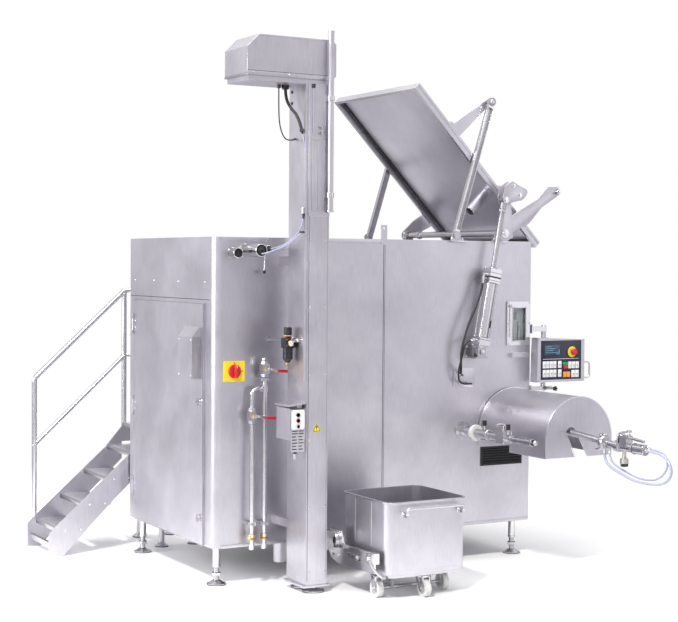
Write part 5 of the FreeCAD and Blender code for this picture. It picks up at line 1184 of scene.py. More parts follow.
def cylinder_parts():
    """Tie rods, cap nuts, elbows and pin rings of the lid cylinder."""
    build = Build(leaning(CYLINDER_FOOT, CYLINDER_LEAN))
    middle = CYLINDER_PLANE
    half, tie = 0.0525, 0.041
    for x in (-tie, tie):
        for y in (middle - tie, middle + tie):
            build.bar((x, y, 0.1145), (x, y, 0.552), 0.0058, "bright_steel", 16)
            build.bolt((x, y, 0.6635), UP, 0.013, 0.009, washer=False)
            build.disc((x, y, 0.0548), DOWN, 0.008, 0.006, "machined_steel", 6)
    for z, high in ((0.0975, 0.003), (0.566, 0.003), (0.590, 0.012), (0.628, 0.003)):
        build.block((-half, middle - half, z), (half, middle + half, z + high), "dark_gap", 0)
    build.hoop((0, middle, 0.1165), UP, 0.0455, 0.0028, "black_rubber", 44, 8)
    build.hoop((0, middle, 0.5495), UP, 0.0455, 0.0028, "black_rubber", 44, 8)
    build.pipe((0, middle, 0.6632), (0, middle, 0.676), 0.031, 0.0196, "machined_steel", 40)
    build.hoop((0, middle, 0.6770), UP, 0.0222, 0.0022, "black_rubber", 40, 8)
    build.lathe((-half, middle, 0.090), LEFT, [(0, 0.012), (0.010, 0.012), (0.010, 0.009), (0.020, 0.009),
                                               (0.020, 0)], "machined_steel", 6)
    build.lathe((-half, middle, 0.607), LEFT, [(0, 0.0145), (0.010, 0.0145), (0.010, 0.012)],
                "machined_steel", 6)
    build.lathe((-0.074, middle, 0.575), DOWN, [(0, 0.0135), (0.004, 0.014), (0.016, 0.014),
                                                (0.018, 0.0125), (0.030, 0.0118)], "bright_steel", 6)
    build.block((0.0505, middle - 0.022, 0.200), (0.058, middle - 0.004, 0.260), "black_plastic", 0.003)
    for y in (middle - 0.0185, middle + 0.0182):
        build.pipe((0, y, 0), (0, y + (0.002 if y > middle else -0.002), 0), 0.024, 0.0142,
                   "machined_steel", 32)
    build.show("cylinder_parts", "lid_cylinder_body", "bright_steel")
    rod = Build(leaning(CYLINDER_FOOT, CYLINDER_LEAN))
    reach = ROD_REACH
    rod.lathe((0, middle, reach - 0.098), UP, [(0, 0.0192), (0.002, 0.030), (0.020, 0.030),
                                               (0.022, 0.0245)], "machined_steel", 6)
    rod.thread((0, middle, reach - 0.128), UP, 0.0200, 0.030, 0.003)
    for y, way in ((middle - 0.016, FRONT), (middle + 0.016, BACK)):
        rod.pipe((0, y, reach), (0, y + way.y * 0.0015, reach), 0.0262, 0.0165, "bright_steel", 36)
    rod.lathe((0, middle, reach + 0.0335), UP, [(0, 0.005), (0.005, 0.005), (0.006, 0.003), (0.011, 0.0032),
                                                (0.012, 0)], "brass", 12)
    rod.show("rod_end_parts", "cylinder_rod_body", "machined_steel")


class GRINDER_OT_lid(Operator):
    """Adds the parts of the lid, its arms, its crank and its cylinder"""
    bl_idname = "grinder.lid"
    bl_label = "Dress the lid drive"

    def execute(self, context):
        lid_parts(context.scene.grinder_lid)
        arm_parts()
        bearing_parts()
        crank_parts()
        cylinder_parts()
        return {"FINISHED"}


# Outlet hood, separator pipe, side actuator and grinding head

HEAD_X = 2.615
HEAD_Z = 1.043
SEPARATOR_X = HEAD_X - 0.077
SEPARATOR_Z = 1.046
HOSE_MOUTH = -1.7004
ACTUATOR_X = HEAD_X - 0.470
ACTUATOR_Z = HEAD_Z - 0.008


class HoodSizes(PropertyGroup):
    radius: FloatProperty(name="Radius", description="Radius of the hood", default=0.312, unit="LENGTH")
    length: FloatProperty(name="Length", description="Length of the hood", default=0.870, unit="LENGTH")
    edge: FloatProperty(name="Edge", description="Width of the bent edge", default=0.0035, unit="LENGTH")


def hood_outline(radius, low):
    """The hood's outline seen from the front, from its right foot over the arch to its left foot."""
    middle = (HEAD_X, 0, HEAD_Z)
    return [(HEAD_X + radius, 0, low), *arc(middle, radius, 0, 180, 40), (HEAD_X - radius, 0, low)]


def hood_parts(sizes):
    """Bent edges of the hood and of the slot in its end, and its rib at the wall."""
    build = Build()
    radius, length, edge = sizes.radius, sizes.length, sizes.edge
    foot = 0.903
    build.sweep(moved(hood_outline(radius - 0.001, foot), (0, -length + 0.002, 0)), edge, "bright_steel", 10)
    build.sweep(moved(hood_outline(radius - 0.001, foot), (0, -0.0105, 0)), edge * 0.8, "bright_steel", 10)
    for side in (1, -1):
        x = HEAD_X + side * (radius - 0.0025)
        start = -length + 0.002
        build.bar((x, start, foot - 0.001), (x, -0.413 if side < 0 else -0.010, foot - 0.001), edge,
                  "bright_steel", 12)
    slot = [(HEAD_X - 0.120, 0, 1.080), *arc((SEPARATOR_X + 0.005, 0, 1.080), 0.048, 180, 0, 16),
            (HEAD_X + 0.089, 0, 0.884)]
    build.sweep(moved(slot, (0, -length - 0.001, 0)), 0.0022, "bright_steel", 8)
    build.bar((HEAD_X - 0.120, -length - 0.001, 1.080), (HEAD_X - 0.033, -length - 0.001, foot), 0.0022,
              "bright_steel", 8)
    rings = [moved(arc((HEAD_X, 0, HEAD_Z), radius + wide, 0, 180, 40), (0, -0.030, 0))
             for wide in (0.0005, 0.0095)]
    outline = [(spot[0] - HEAD_X, spot[2] - HEAD_Z) for spot in rings[0] + rings[1][::-1]]
    build.plate(outline, RIGHT, UP, (HEAD_X, -0.012, HEAD_Z), 0.028, "bright_steel", 0.0015)
    build.show("hood_edges", "outlet_hood_body", "bright_steel")


def star_grip(build, place, way, radius, thick, finish="black_plastic"):
    """A grip with five lobes."""
    build.lathe(place, way, [(0, radius * 0.55), (thick * 0.2, radius * 0.7), (thick * 0.9, radius * 0.7),
                             (thick, radius * 0.55), (thick, 0)], finish, 32)
    turn = Vector(way).to_track_quat("Z", "Y")
    for lobe in spread(5, radius * 0.62):
        side = turn @ Vector((*lobe, 0))
        build.lathe(tuple(Vector(place) + side), way, [(thick * 0.1, 0), (thick * 0.1, radius * 0.34),
                                                       (thick * 0.85, radius * 0.34),
                                                       (thick * 0.95, radius * 0.2), (thick * 0.95, 0)],
                    finish, 20)


def separator_parts():
    """Clamp, flange plate, nuts, upper rod, star grip and end cap of the separator valve."""
    x, pipe_z = SEPARATOR_X, SEPARATOR_Z
    pipe_way = Vector((0, -1.001, -0.078)).normalized()
    build = Build()
    clamp = Vector((x, -1.223, 1.061))
    build.lathe(tuple(clamp + pipe_way * 0.008), pipe_way, [(0, 0.0252), (0, 0.046), (0.010, 0.050),
                                                            (0.034, 0.050), (0.044, 0.046),
                                                            (0.044, 0.0252)], "bright_steel", 44)
    build.bolt((x - 0.026, -1.247, 1.112), LEFT, 0.012, 0.010)
    build.block((x - 0.016, -1.272, 1.098), (x + 0.016, -1.230, 1.120), "bright_steel", 0.003)
    build.bar((x, -1.250, 1.020), (x + 0.034, -1.124, 0.990), 0.0065, "bright_steel", 16)
    build.bar((x + 0.022, -1.160, 0.995), (x + 0.092, -1.160, 0.995), 0.0065, "bright_steel", 16)
    build.lathe((x, -1.262, 1.022), DOWN, [(0, 0.021), (0.010, 0.021), (0.012, 0.018), (0.046, 0.017),
                                           (0.048, 0.013)], "bright_steel", 6)
    build.plate([(-0.034, 1.020), (0.034, 1.020), (0.034, 1.138), (0.018, 1.146), (-0.018, 1.146),
                 (-0.034, 1.138)], RIGHT, UP, (x, -1.4335, 0), 0.012, "bright_steel", 0.002)
    build.pipe((x, -1.402, pipe_z), (x, -1.388, pipe_z + 0.0005), 0.040, 0.0255, "bright_steel", 40)
    build.bar((x, -1.690, 1.104), (x, -1.433, 1.126), 0.011, "bright_steel", 20)
    build.lathe((x, -1.530, 1.117), UP, [(0, 0.013), (0.022, 0.013), (0.024, 0.008), (0.036, 0.007),
                                         (0.038, 0.018), (0.052, 0.018), (0.054, 0)], "bright_steel", 24)
    build.bar((x - 0.030, -1.470, 1.150), (x + 0.034, -1.470, 1.150), 0.0075, "machined_steel", 16, 0.002)
    for y in (-1.455, -1.575):
        build.sleeve((x, y, pipe_z), FRONT, 0.0325, 0.036, 0.012, "machined_steel", 6)
    build.lathe((x, -1.700, pipe_z), FRONT, [(0, 0.039), (0.003, 0.039), (0.004, 0.026), (0.006, 0.024),
                                             (0.006, 0)], "machined_steel", 40)
    for side in (-1, 1):
        for up in (-1, 1):
            build.bolt((x + side * 0.0245, -1.7005, pipe_z + up * 0.0245), FRONT, 0.009, 0.006, washer=False)
    build.hoop((x, -1.595, pipe_z), FRONT, 0.0385, 0.0022, "black_rubber", 44, 8)
    star_grip(build, (x, -1.480, 0.930), DOWN, 0.030, 0.026)
    build.lathe((x, -1.480, 0.965), UP, [(0, 0.0175), (0.012, 0.0175), (0.012, 0.0142)], "brass", 6)
    build.lathe((x, -0.4035, 1.1249), FRONT, [(0, 0.0255), (0, 0.040), (0.016, 0.040), (0.018, 0.036),
                                              (0.018, 0.0255)], "bright_steel", 40)
    build.show("separator_parts", "machine", "bright_steel")


def actuator_parts():
    """Flange bolts, clamp rings, lugs and fittings of the side actuator."""
    x, z = ACTUATOR_X, ACTUATOR_Z
    build = Build()
    for side, lift in spread(4, 0.053, 45):
        build.bolt((x + side, -0.018, z + lift), FRONT, 0.011, 0.007)
    build.hoop((x, -0.0185, z), FRONT, 0.035, 0.003, "weld_bead", 40, 8)
    for y, radius, finish in ((-0.178, 0.064, "white_nylon"), (-0.345, 0.042, "bright_steel"),
                              (-0.500, 0.042, "bright_steel")):
        build.lathe((x, y, z), FRONT, [(0, 0.0342), (0, radius - 0.003), (0.004, radius), (0.024, radius),
                                       (0.028, radius - 0.003), (0.028, 0.0342)], finish, 48)
    for y in (-0.308, -0.615):
        build.lathe((x, y, z + 0.033 if y > -0.5 else z + 0.030), UP,
                    [(0, 0.013), (0.034, 0.013), (0.036, 0.009), (0.060, 0.009)], "bright_steel", 24)
        build.lathe((x, y, z + 0.066), UP, [(0, 0.010), (0.002, 0.0185), (0.040, 0.0185), (0.044, 0.014),
                                            (0.044, 0)], "black_plastic", 6)
    for side in (-1, 1):
        for up in (-1, 1):
            build.bolt((x + side * 0.036, -0.6105, z + up * 0.031), FRONT, 0.010, 0.006)
    build.lathe((x, -0.560, z + 0.0565), UP, [(0, 0.018), (0.012, 0.018), (0.012, 0.0125)], "bright_steel", 6)
    build.lathe((x - 0.0405, -0.560, z + 0.100), LEFT, [(0, 0.0122), (0, 0.0155), (0.014, 0.0155),
                                                        (0.016, 0.010), (0.030, 0.008), (0.030, 0)],
                "bright_steel", 6)
    build.lathe((x, -0.6605, z), FRONT, [(0, 0.0215), (0, 0.0285), (0.012, 0.0285), (0.014, 0.0262),
                                         (0.252, 0.0262), (0.254, 0.0285), (0.262, 0.0285), (0.264, 0.0262),
                                         (0.264, 0.0215)], "machined_steel", 40, True)
    build.show("actuator_parts", "machine", "bright_steel")
    ball = Build()
    ball.lathe((x, -0.9335, z), FRONT, [(-0.008, 0.0092), (-0.008, 0.0135), (0.002, 0.0135),
                                        (0.006, 0.0100)], "machined_steel", 24)
    ball.thread((x, -0.925, z), BACK, 0.0098, 0.060, 0.002)
    ball.show("actuator_end", "actuator_rod_body", "bright_steel")


def head_parts():
    """Collar bolts and rings of the grinding head, and the ribs of its ring nut."""
    build = Build()
    collar, grip_circle = 0.3155, 0.1635
    for side, lift in spread(8, collar, 22.5):
        if lift > -0.2 * collar:
            build.bolt((HEAD_X + side, -0.0415, HEAD_Z + lift), FRONT, 0.010, 0.005, washer=False)
    for along in (-0.290, -0.150):
        build.lathe((HEAD_X, along, HEAD_Z), FRONT, [(0, 0.1412), (0, 0.147), (0.006, 0.149), (0.018, 0.149),
                                                    (0.024, 0.147), (0.024, 0.1412)], "machined_steel", 64)
    build.show("head_rings", "machine", "machined_steel")
    nut = Build()
    for side, lift in spread(24, grip_circle):
        spot = Vector((HEAD_X + side, -0.345, HEAD_Z + lift))
        nut.bar(tuple(spot), tuple(spot + BACK * 0.040), 0.0035, "machined_steel", 10)
    nut.hoop((HEAD_X, -0.3838, HEAD_Z), FRONT, 0.140, 0.0028, "bright_steel", 64, 8)
    nut.show("ring_nut_grips", "ring_nut_body", "machined_steel")


class GRINDER_OT_head(Operator):
    """Adds the parts of the hood, the separator, the actuator and the grinding head"""
    bl_idname = "grinder.head"
    bl_label = "Dress the outlet"

    def execute(self, context):
        hood_parts(context.scene.grinder_hood)
        separator_parts()
        actuator_parts()
        head_parts()
        return {"FINISHED"}


# Control panel, main switch, pipes, filter and tube fixture

class PanelSizes(PropertyGroup):
    face: FloatProperty(name="Face", description="Depth of the panel's front face", default=-0.130,
                        unit="LENGTH")
    left: FloatProperty(name="Left", description="Left edge of the keypad", default=2.812, unit="LENGTH")
    right: FloatProperty(name="Right", description="Right edge of the keypad", default=3.219, unit="LENGTH")
    low: FloatProperty(name="Low", description="Lower edge of the keypad", default=1.419, unit="LENGTH")
    high: FloatProperty(name="High", description="Upper edge of the keypad", default=1.734, unit="LENGTH")


KEY_HEIGHT = 0.0022
STOP_X, STOP_Z = 3.125, 1.640
CLAMP_X, CLAMP_Z = 2.988, 1.343
HINGE_X, HINGE_Y = 2.927, -0.010
SWITCH_X, SWITCH_Z = 0.157, 1.559
LEFT_PIPE, RIGHT_PIPE, PIPE_Y = 0.267, 0.366, -0.080
LOWER_VALVE, UPPER_VALVE = 1.240, 1.576
VALVE_STEM = PIPE_Y - 0.060


def key_row(build, face, left, right, low, high, count, finish, gap=0.004):
    """A row of like keys with softened edges."""
    wide = (right - left - gap * (count - 1)) / count
    for step in range(count):
        x = left + step * (wide + gap)
        build.block((x, face - KEY_HEIGHT, low), (x + wide, face + 0.0005, high), finish, 0.0012)


def panel_parts(sizes):
    """Keypad, screen, keys, emergency disc, screws and glands of the control panel."""
    face = sizes.face
    build = Build()
    build.block((sizes.left, face - 0.0015, sizes.low), (sizes.right, face + 0.0005, sizes.high),
                "panel_ink", 0.0008)
    face -= 0.0015
    build.block((2.841, face - 0.0012, 1.611), (3.010, face + 0.0002, 1.703), "black_plastic", 0.001)
    build.block((2.847, face - 0.0018, 1.617), (3.004, face, 1.697), "screen_blue", 0.0005)
    for line, long in enumerate((0.062, 0.097, 0.079, 0.115)):
        z = 1.683 - 0.016 * line
        build.block((2.853, face - KEY_HEIGHT, z), (2.853 + long, face - 0.0016, z + 0.004), "screen_line", 0)
    for x in (2.972, 2.984, 2.996):
        build.block((x - 0.005, face - KEY_HEIGHT, 1.622), (x, face - 0.0016, 1.640 + (x - 2.972)),
                    "screen_line", 0)
    build.block((2.832, face - 0.0006, 1.584), (3.195, face + 0.0002, 1.587), "white_plastic", 0)
    rows = [(2.830, 2.966, 1.512, 1.568, 4, "white_plastic"),
            (2.983, 3.018, 1.512, 1.568, 1, "white_plastic"),
            (3.033, 3.083, 1.536, 1.557, 2, "green_plastic"),
            (3.040, 3.080, 1.506, 1.531, 1, "red_plastic"),
            (3.088, 3.195, 1.506, 1.561, 3, "white_plastic"),
            (2.831, 2.967, 1.441, 1.500, 4, "white_plastic"),
            (2.984, 3.019, 1.441, 1.500, 1, "white_plastic"),
            (3.038, 3.106, 1.437, 1.480, 2, "orange_plastic"),
            (3.120, 3.194, 1.434, 1.492, 2, "white_plastic")]
    for left, right, low, high, count, finish in rows:
        key_row(build, face, left, right, low, high, count, finish)
        wide = (right - left) / count
        for step in range(count):
            if finish == "white_plastic":
                middle = left + wide * (step + 0.5)
                key_row(build, face - KEY_HEIGHT, middle - 0.008, middle + 0.008, (low + high) / 2 - 0.0015,
                        (low + high) / 2 + 0.0015, 1, "panel_ink")
                key_row(build, face - KEY_HEIGHT, middle - 0.004, middle + 0.006, (low + high) / 2 - 0.011,
                        (low + high) / 2 - 0.008, 1, "panel_ink")
    build.lathe((STOP_X, sizes.face, STOP_Z), FRONT, [(0, 0.043), (0.003, 0.043), (0.0045, 0.040),
                                                      (0.0045, 0.0165)], "yellow_plastic", 48)
    for x in (2.788, 3.241):
        for z in (1.412, 1.737):
            build.screw((x, sizes.face, z), FRONT, 0.006)
    build.block((2.776, sizes.face - 0.001, 1.400), (2.779, sizes.face + 0.004, 1.757), "satin_steel", 0.001)
    for z in (1.552, 1.423):
        build.lathe((3.2525, -0.095, z), RIGHT, [(0, 0.013), (0.004, 0.013), (0.008, 0.0075)],
                    "black_plastic", 24)
    build.block((2.900, -0.0405, 1.440), (3.200, -0.036, 1.720), "satin_steel", 0.002)
    for x in (2.915, 3.185):
        for z in (1.455, 1.705):
            build.screw((x, -0.036, z), BACK, 0.006)
    build.show("panel_keypad", "control_panel_body", "black_plastic")
    mushroom = Build()
    mushroom.lathe((STOP_X, -0.1505, STOP_Z), FRONT, [(0, 0.0155), (0, 0.0265), (0.004, 0.0275),
                                                      (0.010, 0.0275), (0.017, 0.0245), (0.0215, 0.017),
                                                      (0.0222, 0)], "red_plastic", 44)
    mushroom.show("e_stop_mushroom", "e_stop_body", "red_plastic")
    arms = Build()
    for z, tall in ((1.790, 0.070), (1.318, 0.050)):
        for y in (-0.012, 0.046):
            for lift in (0.012, tall - 0.012):
                arms.bolt((LENGTH + 0.008, y, z + lift), RIGHT, 0.012, 0.007)
    arms.lathe((HINGE_X, HINGE_Y, 1.844), UP, [(0, 0.020), (0.003, 0.020), (0.010, 0.015), (0.013, 0.008),
                                               (0.013, 0)], "bright_steel", 32)
    arms.lathe((HINGE_X, HINGE_Y, 1.3298), DOWN, [(0, 0.018), (0.008, 0.018), (0.010, 0.014), (0.010, 0)],
               "bright_steel", 6)
    arms.weld((LENGTH + 0.008, -0.0235, 1.845), (LENGTH + 0.008, -0.0015, 1.845), 0.004)
    arms.show("panel_arm_parts", "machine", "bright_steel")
    knob = Build()
    knob.bar((CLAMP_X, -0.083, CLAMP_Z), (CLAMP_X, -0.035, CLAMP_Z), 0.008, "machined_steel", 20)
    star_grip(knob, (CLAMP_X, -0.082, CLAMP_Z), FRONT, 0.021, 0.020)
    knob.show("clamp_knob_lobes", "clamp_knob_body", "black_plastic", "clamp_knob")


def switch_parts():
    """Yellow plate with marks, red disc and grip, and screws of the main switch."""
    build = Build()
    build.plate(round_corners(0.151, 0.135, 0.004), RIGHT, UP, (0.1575, -0.0078, 1.5585), 0.0012,
                "yellow_plastic", 0)
    for x in (0.088, 0.229):
        for z in (1.494, 1.623):
            build.screw((x, -0.008, z), FRONT, 0.0045)
    for angle in (90, 0):
        turn = math.radians(angle)
        x, z = SWITCH_X + 0.061 * math.cos(turn), SWITCH_Z + 0.061 * math.sin(turn)
        build.block((x - 0.004, -0.0096, z - 0.004), (x + 0.004, -0.0088, z + 0.004), "panel_ink", 0)
    build.show("switch_plate_marks", "machine", "yellow_plastic")
    knob = Build()
    knob.lathe((SWITCH_X, -0.0085, SWITCH_Z), FRONT, [(0, 0.0492), (0.010, 0.0492), (0.0135, 0.047),
                                                      (0.014, 0.020)], "red_plastic", 56)
    knob.block((0.1445, -0.0535, 1.5125), (0.1695, -0.0215, 1.6055), "red_plastic", 0.006)
    knob.block((0.155, -0.0542, 1.585), (0.159, -0.0534, 1.602), "white_plastic", 0)
    for side, lift in spread(20, 0.0492):
        x, z = SWITCH_X + side, SWITCH_Z + lift
        knob.bar((x, -0.0095, z), (x, -0.0205, z), 0.0016, "red_plastic", 8, 0)
    knob.show("switch_grip", "main_switch_body", "red_plastic", "main_switch_knob")


def valve_parts(build, x, z):
    """Hexagon ends, gland nut and stem nut of a ball valve."""
    for level, way in ((z - 0.036, DOWN), (z + 0.036, UP)):
        build.lathe((x, PIPE_Y, level), way, [(0, 0.030), (0.010, 0.030), (0.012, 0.0265), (0.022, 0.0265),
                                              (0.024, 0.022), (0.030, 0.0172)], "bright_steel", 6)
    build.bolt((x, VALVE_STEM, z), FRONT, 0.017, 0.008)
    build.lathe((x, PIPE_Y - 0.027, z), FRONT, [(0, 0.020), (0.008, 0.020), (0.010, 0.016),
                                                (0.018, 0.0112)], "brass", 6)


def pipe_parts():
    """Unions, clamps, tee, weld rings and valve fittings of the two water pipes."""
    build = Build()
    for x in (LEFT_PIPE, RIGHT_PIPE):
        build.lathe((x, PIPE_Y, 0.338), UP, [(0, 0.0175), (0, 0.026), (0.004, 0.030), (0.020, 0.030),
                                             (0.024, 0.028), (0.030, 0.0285), (0.046, 0.0285),
                                             (0.048, 0.0175)], "brass", 8)
        build.lathe((x, PIPE_Y, 0.272), DOWN, [(-0.040, 0.0172), (-0.040, 0.021), (-0.002, 0.021),
                                               (-0.002, 0.0172)], "bright_steel", 24)
        build.thread((x, PIPE_Y, 0.2705), UP, 0.0182, 0.030, 0.0025)
        for z in (0.457, 1.500):
            if z > 1 and x < 0.3:
                continue
            build.sleeve((x, PIPE_Y, z - 0.011), UP, 0.0172, 0.0255, 0.022, "cast_grey", 28)
            for side in (-1, 1):
                build.screw((x + side * 0.015, -0.1025, z), FRONT, 0.004)
    for x, z in ((LEFT_PIPE, 0.80), (RIGHT_PIPE, 0.80), (LEFT_PIPE, 1.30), (RIGHT_PIPE, 1.24)):
        build.hoop((x, PIPE_Y, z), UP, 0.0165, 0.0022, "weld_bead", 32, 8)
    build.sleeve((RIGHT_PIPE, PIPE_Y, 1.405), UP, 0.0172, 0.0225, 0.050, "bright_steel", 32)
    build.lathe((RIGHT_PIPE - 0.022, PIPE_Y, 1.430), LEFT, [(0, 0.0225), (0.012, 0.0225), (0.012, 0.0172)],
                "bright_steel", 32)
    valve_parts(build, RIGHT_PIPE, UPPER_VALVE)
    valve_parts(build, LEFT_PIPE, LOWER_VALVE)
    build.lathe((RIGHT_PIPE, PIPE_Y, 1.645), UP, [(0, 0.0174), (0, 0.021), (0.009, 0.021), (0.012, 0.016),
                                                  (0.012, 0)], "bright_steel", 6)
    build.show("pipe_fittings", "machine", "bright_steel")


def lever_parts(name, body, x, z):
    """Steel shank with a red dipped grip for one ball valve."""
    build = Build()
    build.pipe((x, VALVE_STEM + 0.0005, z), (x, VALVE_STEM + 0.0115, z), 0.0172, 0.0112, "bright_steel", 32)
    shank = [(0.014, -0.009), (0.040, -0.009), (0.060, -0.022), (0.082, -0.0232), (0.082, -0.0052),
             (0.060, -0.004), (0.040, 0.009), (0.014, 0.009)]
    build.plate(shank, RIGHT, UP, (x, VALVE_STEM + 0.0045, z), 0.004, "bright_steel", 0.0008)
    grip = [(0.078, -0.0245), (0.172, -0.0295), (0.177, -0.027), (0.178, -0.011), (0.172, -0.0085),
            (0.078, -0.0035)]
    build.plate(grip, RIGHT, UP, (x, VALVE_STEM + 0.0058, z), 0.0075, "red_plastic", 0.0022)
    build.show(name + "_grip", body, "red_plastic", name)


def filter_parts():
    """Clear bowl with guard ribs, knob ribs, gauge dial, fittings and drain of the filter regulator."""
    spot = (0.437, -0.299, 0)
    half = 0.0352
    build = Build(leaning(spot))
    build.lathe((0, 0, 1.7385), DOWN, [(0, 0.036), (0.010, 0.037), (0.014, 0.036), (0.014, 0.0345)],
                "black_plastic", 32)
    for side, deep in spread(8, half):
        build.bar((side, deep, 1.728), (side, deep, 1.664), 0.0022, "black_plastic", 8)
    build.lathe((0, 0, 1.666), DOWN, [(0, 0.0345), (0, 0.0362), (0.006, 0.0362), (0.010, 0.0345)],
                "black_plastic", 32)
    build.sleeve((0, 0, 1.706), DOWN, 0.0343, 0.0348, 0.012, "dark_gap", 32)
    build.lathe((0, 0, 1.620), DOWN, [(-0.012, 0.0082), (-0.012, 0.013), (0.004, 0.013), (0.006, 0.010),
                                      (0.006, 0.0082)], "brass", 12)
    gauge_z = 1.772
    build.lathe((0, -0.0465, gauge_z), FRONT, [(-0.010, 0.0202), (-0.010, 0.0225), (0.003, 0.0225),
                                               (0.0045, 0.021), (0.0045, 0.0188), (0.0025, 0.0188)],
                "brass", 44)
    build.disc((0, -0.0488, gauge_z), FRONT, 0.0192, 0.0008, "dial_face", 44)
    for step in range(11):
        angle = math.radians(225 - 27 * step)
        for reach in (0.0152, 0.0170):
            mark = (reach * math.cos(angle), -0.0496, gauge_z + reach * math.sin(angle))
            build.disc(mark, FRONT, 0.0010, 0.0004, "panel_ink", 8)
    tip = (0.013 * math.cos(2.4), -0.0505, gauge_z + 0.013 * math.sin(2.4))
    build.bar((0, -0.0505, gauge_z), tip, 0.0008, "red_plastic", 8, 0)
    build.disc((0, -0.0496, gauge_z), FRONT, 0.0022, 0.0018, "panel_ink", 14)
    build.lathe((0, 0.0345, 1.784), BACK, [(0, 0.0270), (0.021, 0.0270), (0.024, 0.0245), (0.024, 0.0200)],
                "bright_steel", 6)
    build.lathe((0, 0.056, 1.784), BACK, [(0, 0.0200), (0.016, 0.0165), (0.018, 0.0110), (0.237, 0.0110),
                                          (0.237, 0.0200), (0.2426, 0.0200), (0.2426, 0.0091)],
                "bright_steel", 28)
    build.lathe((0.022, -0.0345, 1.795), FRONT, [(0, 0.0132), (0, 0.0205), (0.016, 0.0205), (0.019, 0.0180),
                                                 (0.060, 0.0160), (0.096, 0.0138), (0.101, 0.0110),
                                                 (0.102, 0)], "bright_steel", 28)
    build.lathe((0.022, -0.121, 1.795), RIGHT, [(0, 0.0136), (0.022, 0.0136), (0.022, 0.0200),
                                                (0.0304, 0.0200), (0.0304, 0)], "bright_steel", 28)
    for z in (1.752, 1.796):
        for side in (-0.0265, 0.0265):
            build.screw((side, -half, z + 0.002), FRONT, 0.0032)
    build.block((-half, -half, 1.7365), (half, half, 1.7395), "black_plastic", 0.001)
    build.show("filter_parts", "machine", "black_plastic")
    knob = Build(leaning(spot))
    knob.lathe((0, 0, 1.8815), UP, [(0, 0.0280), (0.003, 0.027), (0.006, 0.023), (0.007, 0)],
               "black_plastic", 40)
    knob.lathe((0, 0, 1.8880), UP, [(0, 0.0200), (0.0016, 0.0195), (0.0016, 0)], "bright_steel", 40)
    for side, deep in spread(28, 0.0278):
        knob.bar((side, deep, 1.828), (side, deep, 1.878), 0.0014, "black_plastic", 8, 0)
    knob.lathe((0, 0, 1.822), UP, [(0, 0.0281), (0.0, 0.0296), (0.005, 0.0296), (0.006, 0.0281)],
               "orange_plastic", 40)
    knob.show("regulator_knob_ribs", "regulator_knob_body", "black_plastic")


WIDE_TUBE, SLIM_TUBE = (0.238, 2.430), (0.374, 2.443)


def fixture_parts():
    """Tube rims, weld rings, painted shade in the mouths, cap and clamp of the tubes at the top of the front
    wall.
    """
    build = Build()
    for x, z, radius, bore, long in ((0.140, 2.411, 0.037, 0.033, 0.100), (*WIDE_TUBE, 0.045, 0.040, 0.270),
                                     (*SLIM_TUBE, 0.026, 0.022, 0.120)):
        build.hoop((x, -0.002, z), FRONT, radius + 0.001, 0.0035, "weld_bead", 44, 8)
        build.hoop((x, -long, z), FRONT, (radius + bore) / 2, (radius - bore) / 2 + 0.0004, "bright_steel",
                   44, 8)
        # Painted shade: a dark disc a little inside each tube's mouth.
        build.disc((x, -long + 0.012, z), FRONT, bore - 0.0003, 0.0006, "dark_gap", 40)
    for x in (0.445, 0.560, 0.676):
        build.bolt((x, -0.012, 2.484), FRONT, 0.012, 0.008)
    build.block((0.432, -0.022, 2.518), (0.689, -0.011, 2.526), "bright_steel", 0.001)
    build.lathe((0.3672, -0.060, 2.288), DOWN, [(0, 0.0062), (0, 0.010), (0.020, 0.010), (0.026, 0.006),
                                                (0.026, 0)], "black_plastic", 24)
    build.show("fixture_parts", "machine", "bright_steel")


class GRINDER_OT_controls(Operator):
    """Adds the parts of the panel, switch, pipes, valves, filter and tube fixture"""
    bl_idname = "grinder.controls"
    bl_label = "Dress the controls"

    def execute(self, context):
        panel_parts(context.scene.grinder_panel)
        switch_parts()
        pipe_parts()
        lever_parts("upper_valve_lever", "upper_lever_body", RIGHT_PIPE, UPPER_VALVE)
        lever_parts("lower_valve_lever", "lower_lever_body", LEFT_PIPE, LOWER_VALVE)
        filter_parts()
        fixture_parts()
        return {"FINISHED"}


# Bin with its wheels, and the tipping arm

class BinSizes(PropertyGroup):
    left: FloatProperty(name="Left", description="Left side of the bin", default=0.868, unit="LENGTH")
    front: FloatProperty(name="Front", description="Front side of the bin", default=-0.984, unit="LENGTH")
    wide: FloatProperty(name="Width", description="Width of the bin", default=0.670, unit="LENGTH")
    rim: FloatProperty(name="Rim", description="Height of the bin's rim", default=0.690, unit="LENGTH")
    wheel: FloatProperty(name="Wheel", description="Radius of the wheels", default=0.062, unit="LENGTH")


AXLE_WHEELS = (0.898, 1.446)
AXLE_Y, AXLE_Z = -0.790, 0.062
CASTER_X, FRONT_CASTER, REAR_CASTER = 1.203, -0.905, -0.400
CASTER_TRAIL = 0.028
TILT_SHAFT = (-0.360, 0.350)


def ring_round(build, middle, wide, radius, thick, finish):
    """A round bar bent into a square ring with round corners."""
    spots = []
    for a, u in round_corners(wide, wide, radius, 8):
        spots.append((middle[0] + a, middle[1] + u, middle[2]))
    build.sweep(spots + spots[:2], thick, finish, 10)


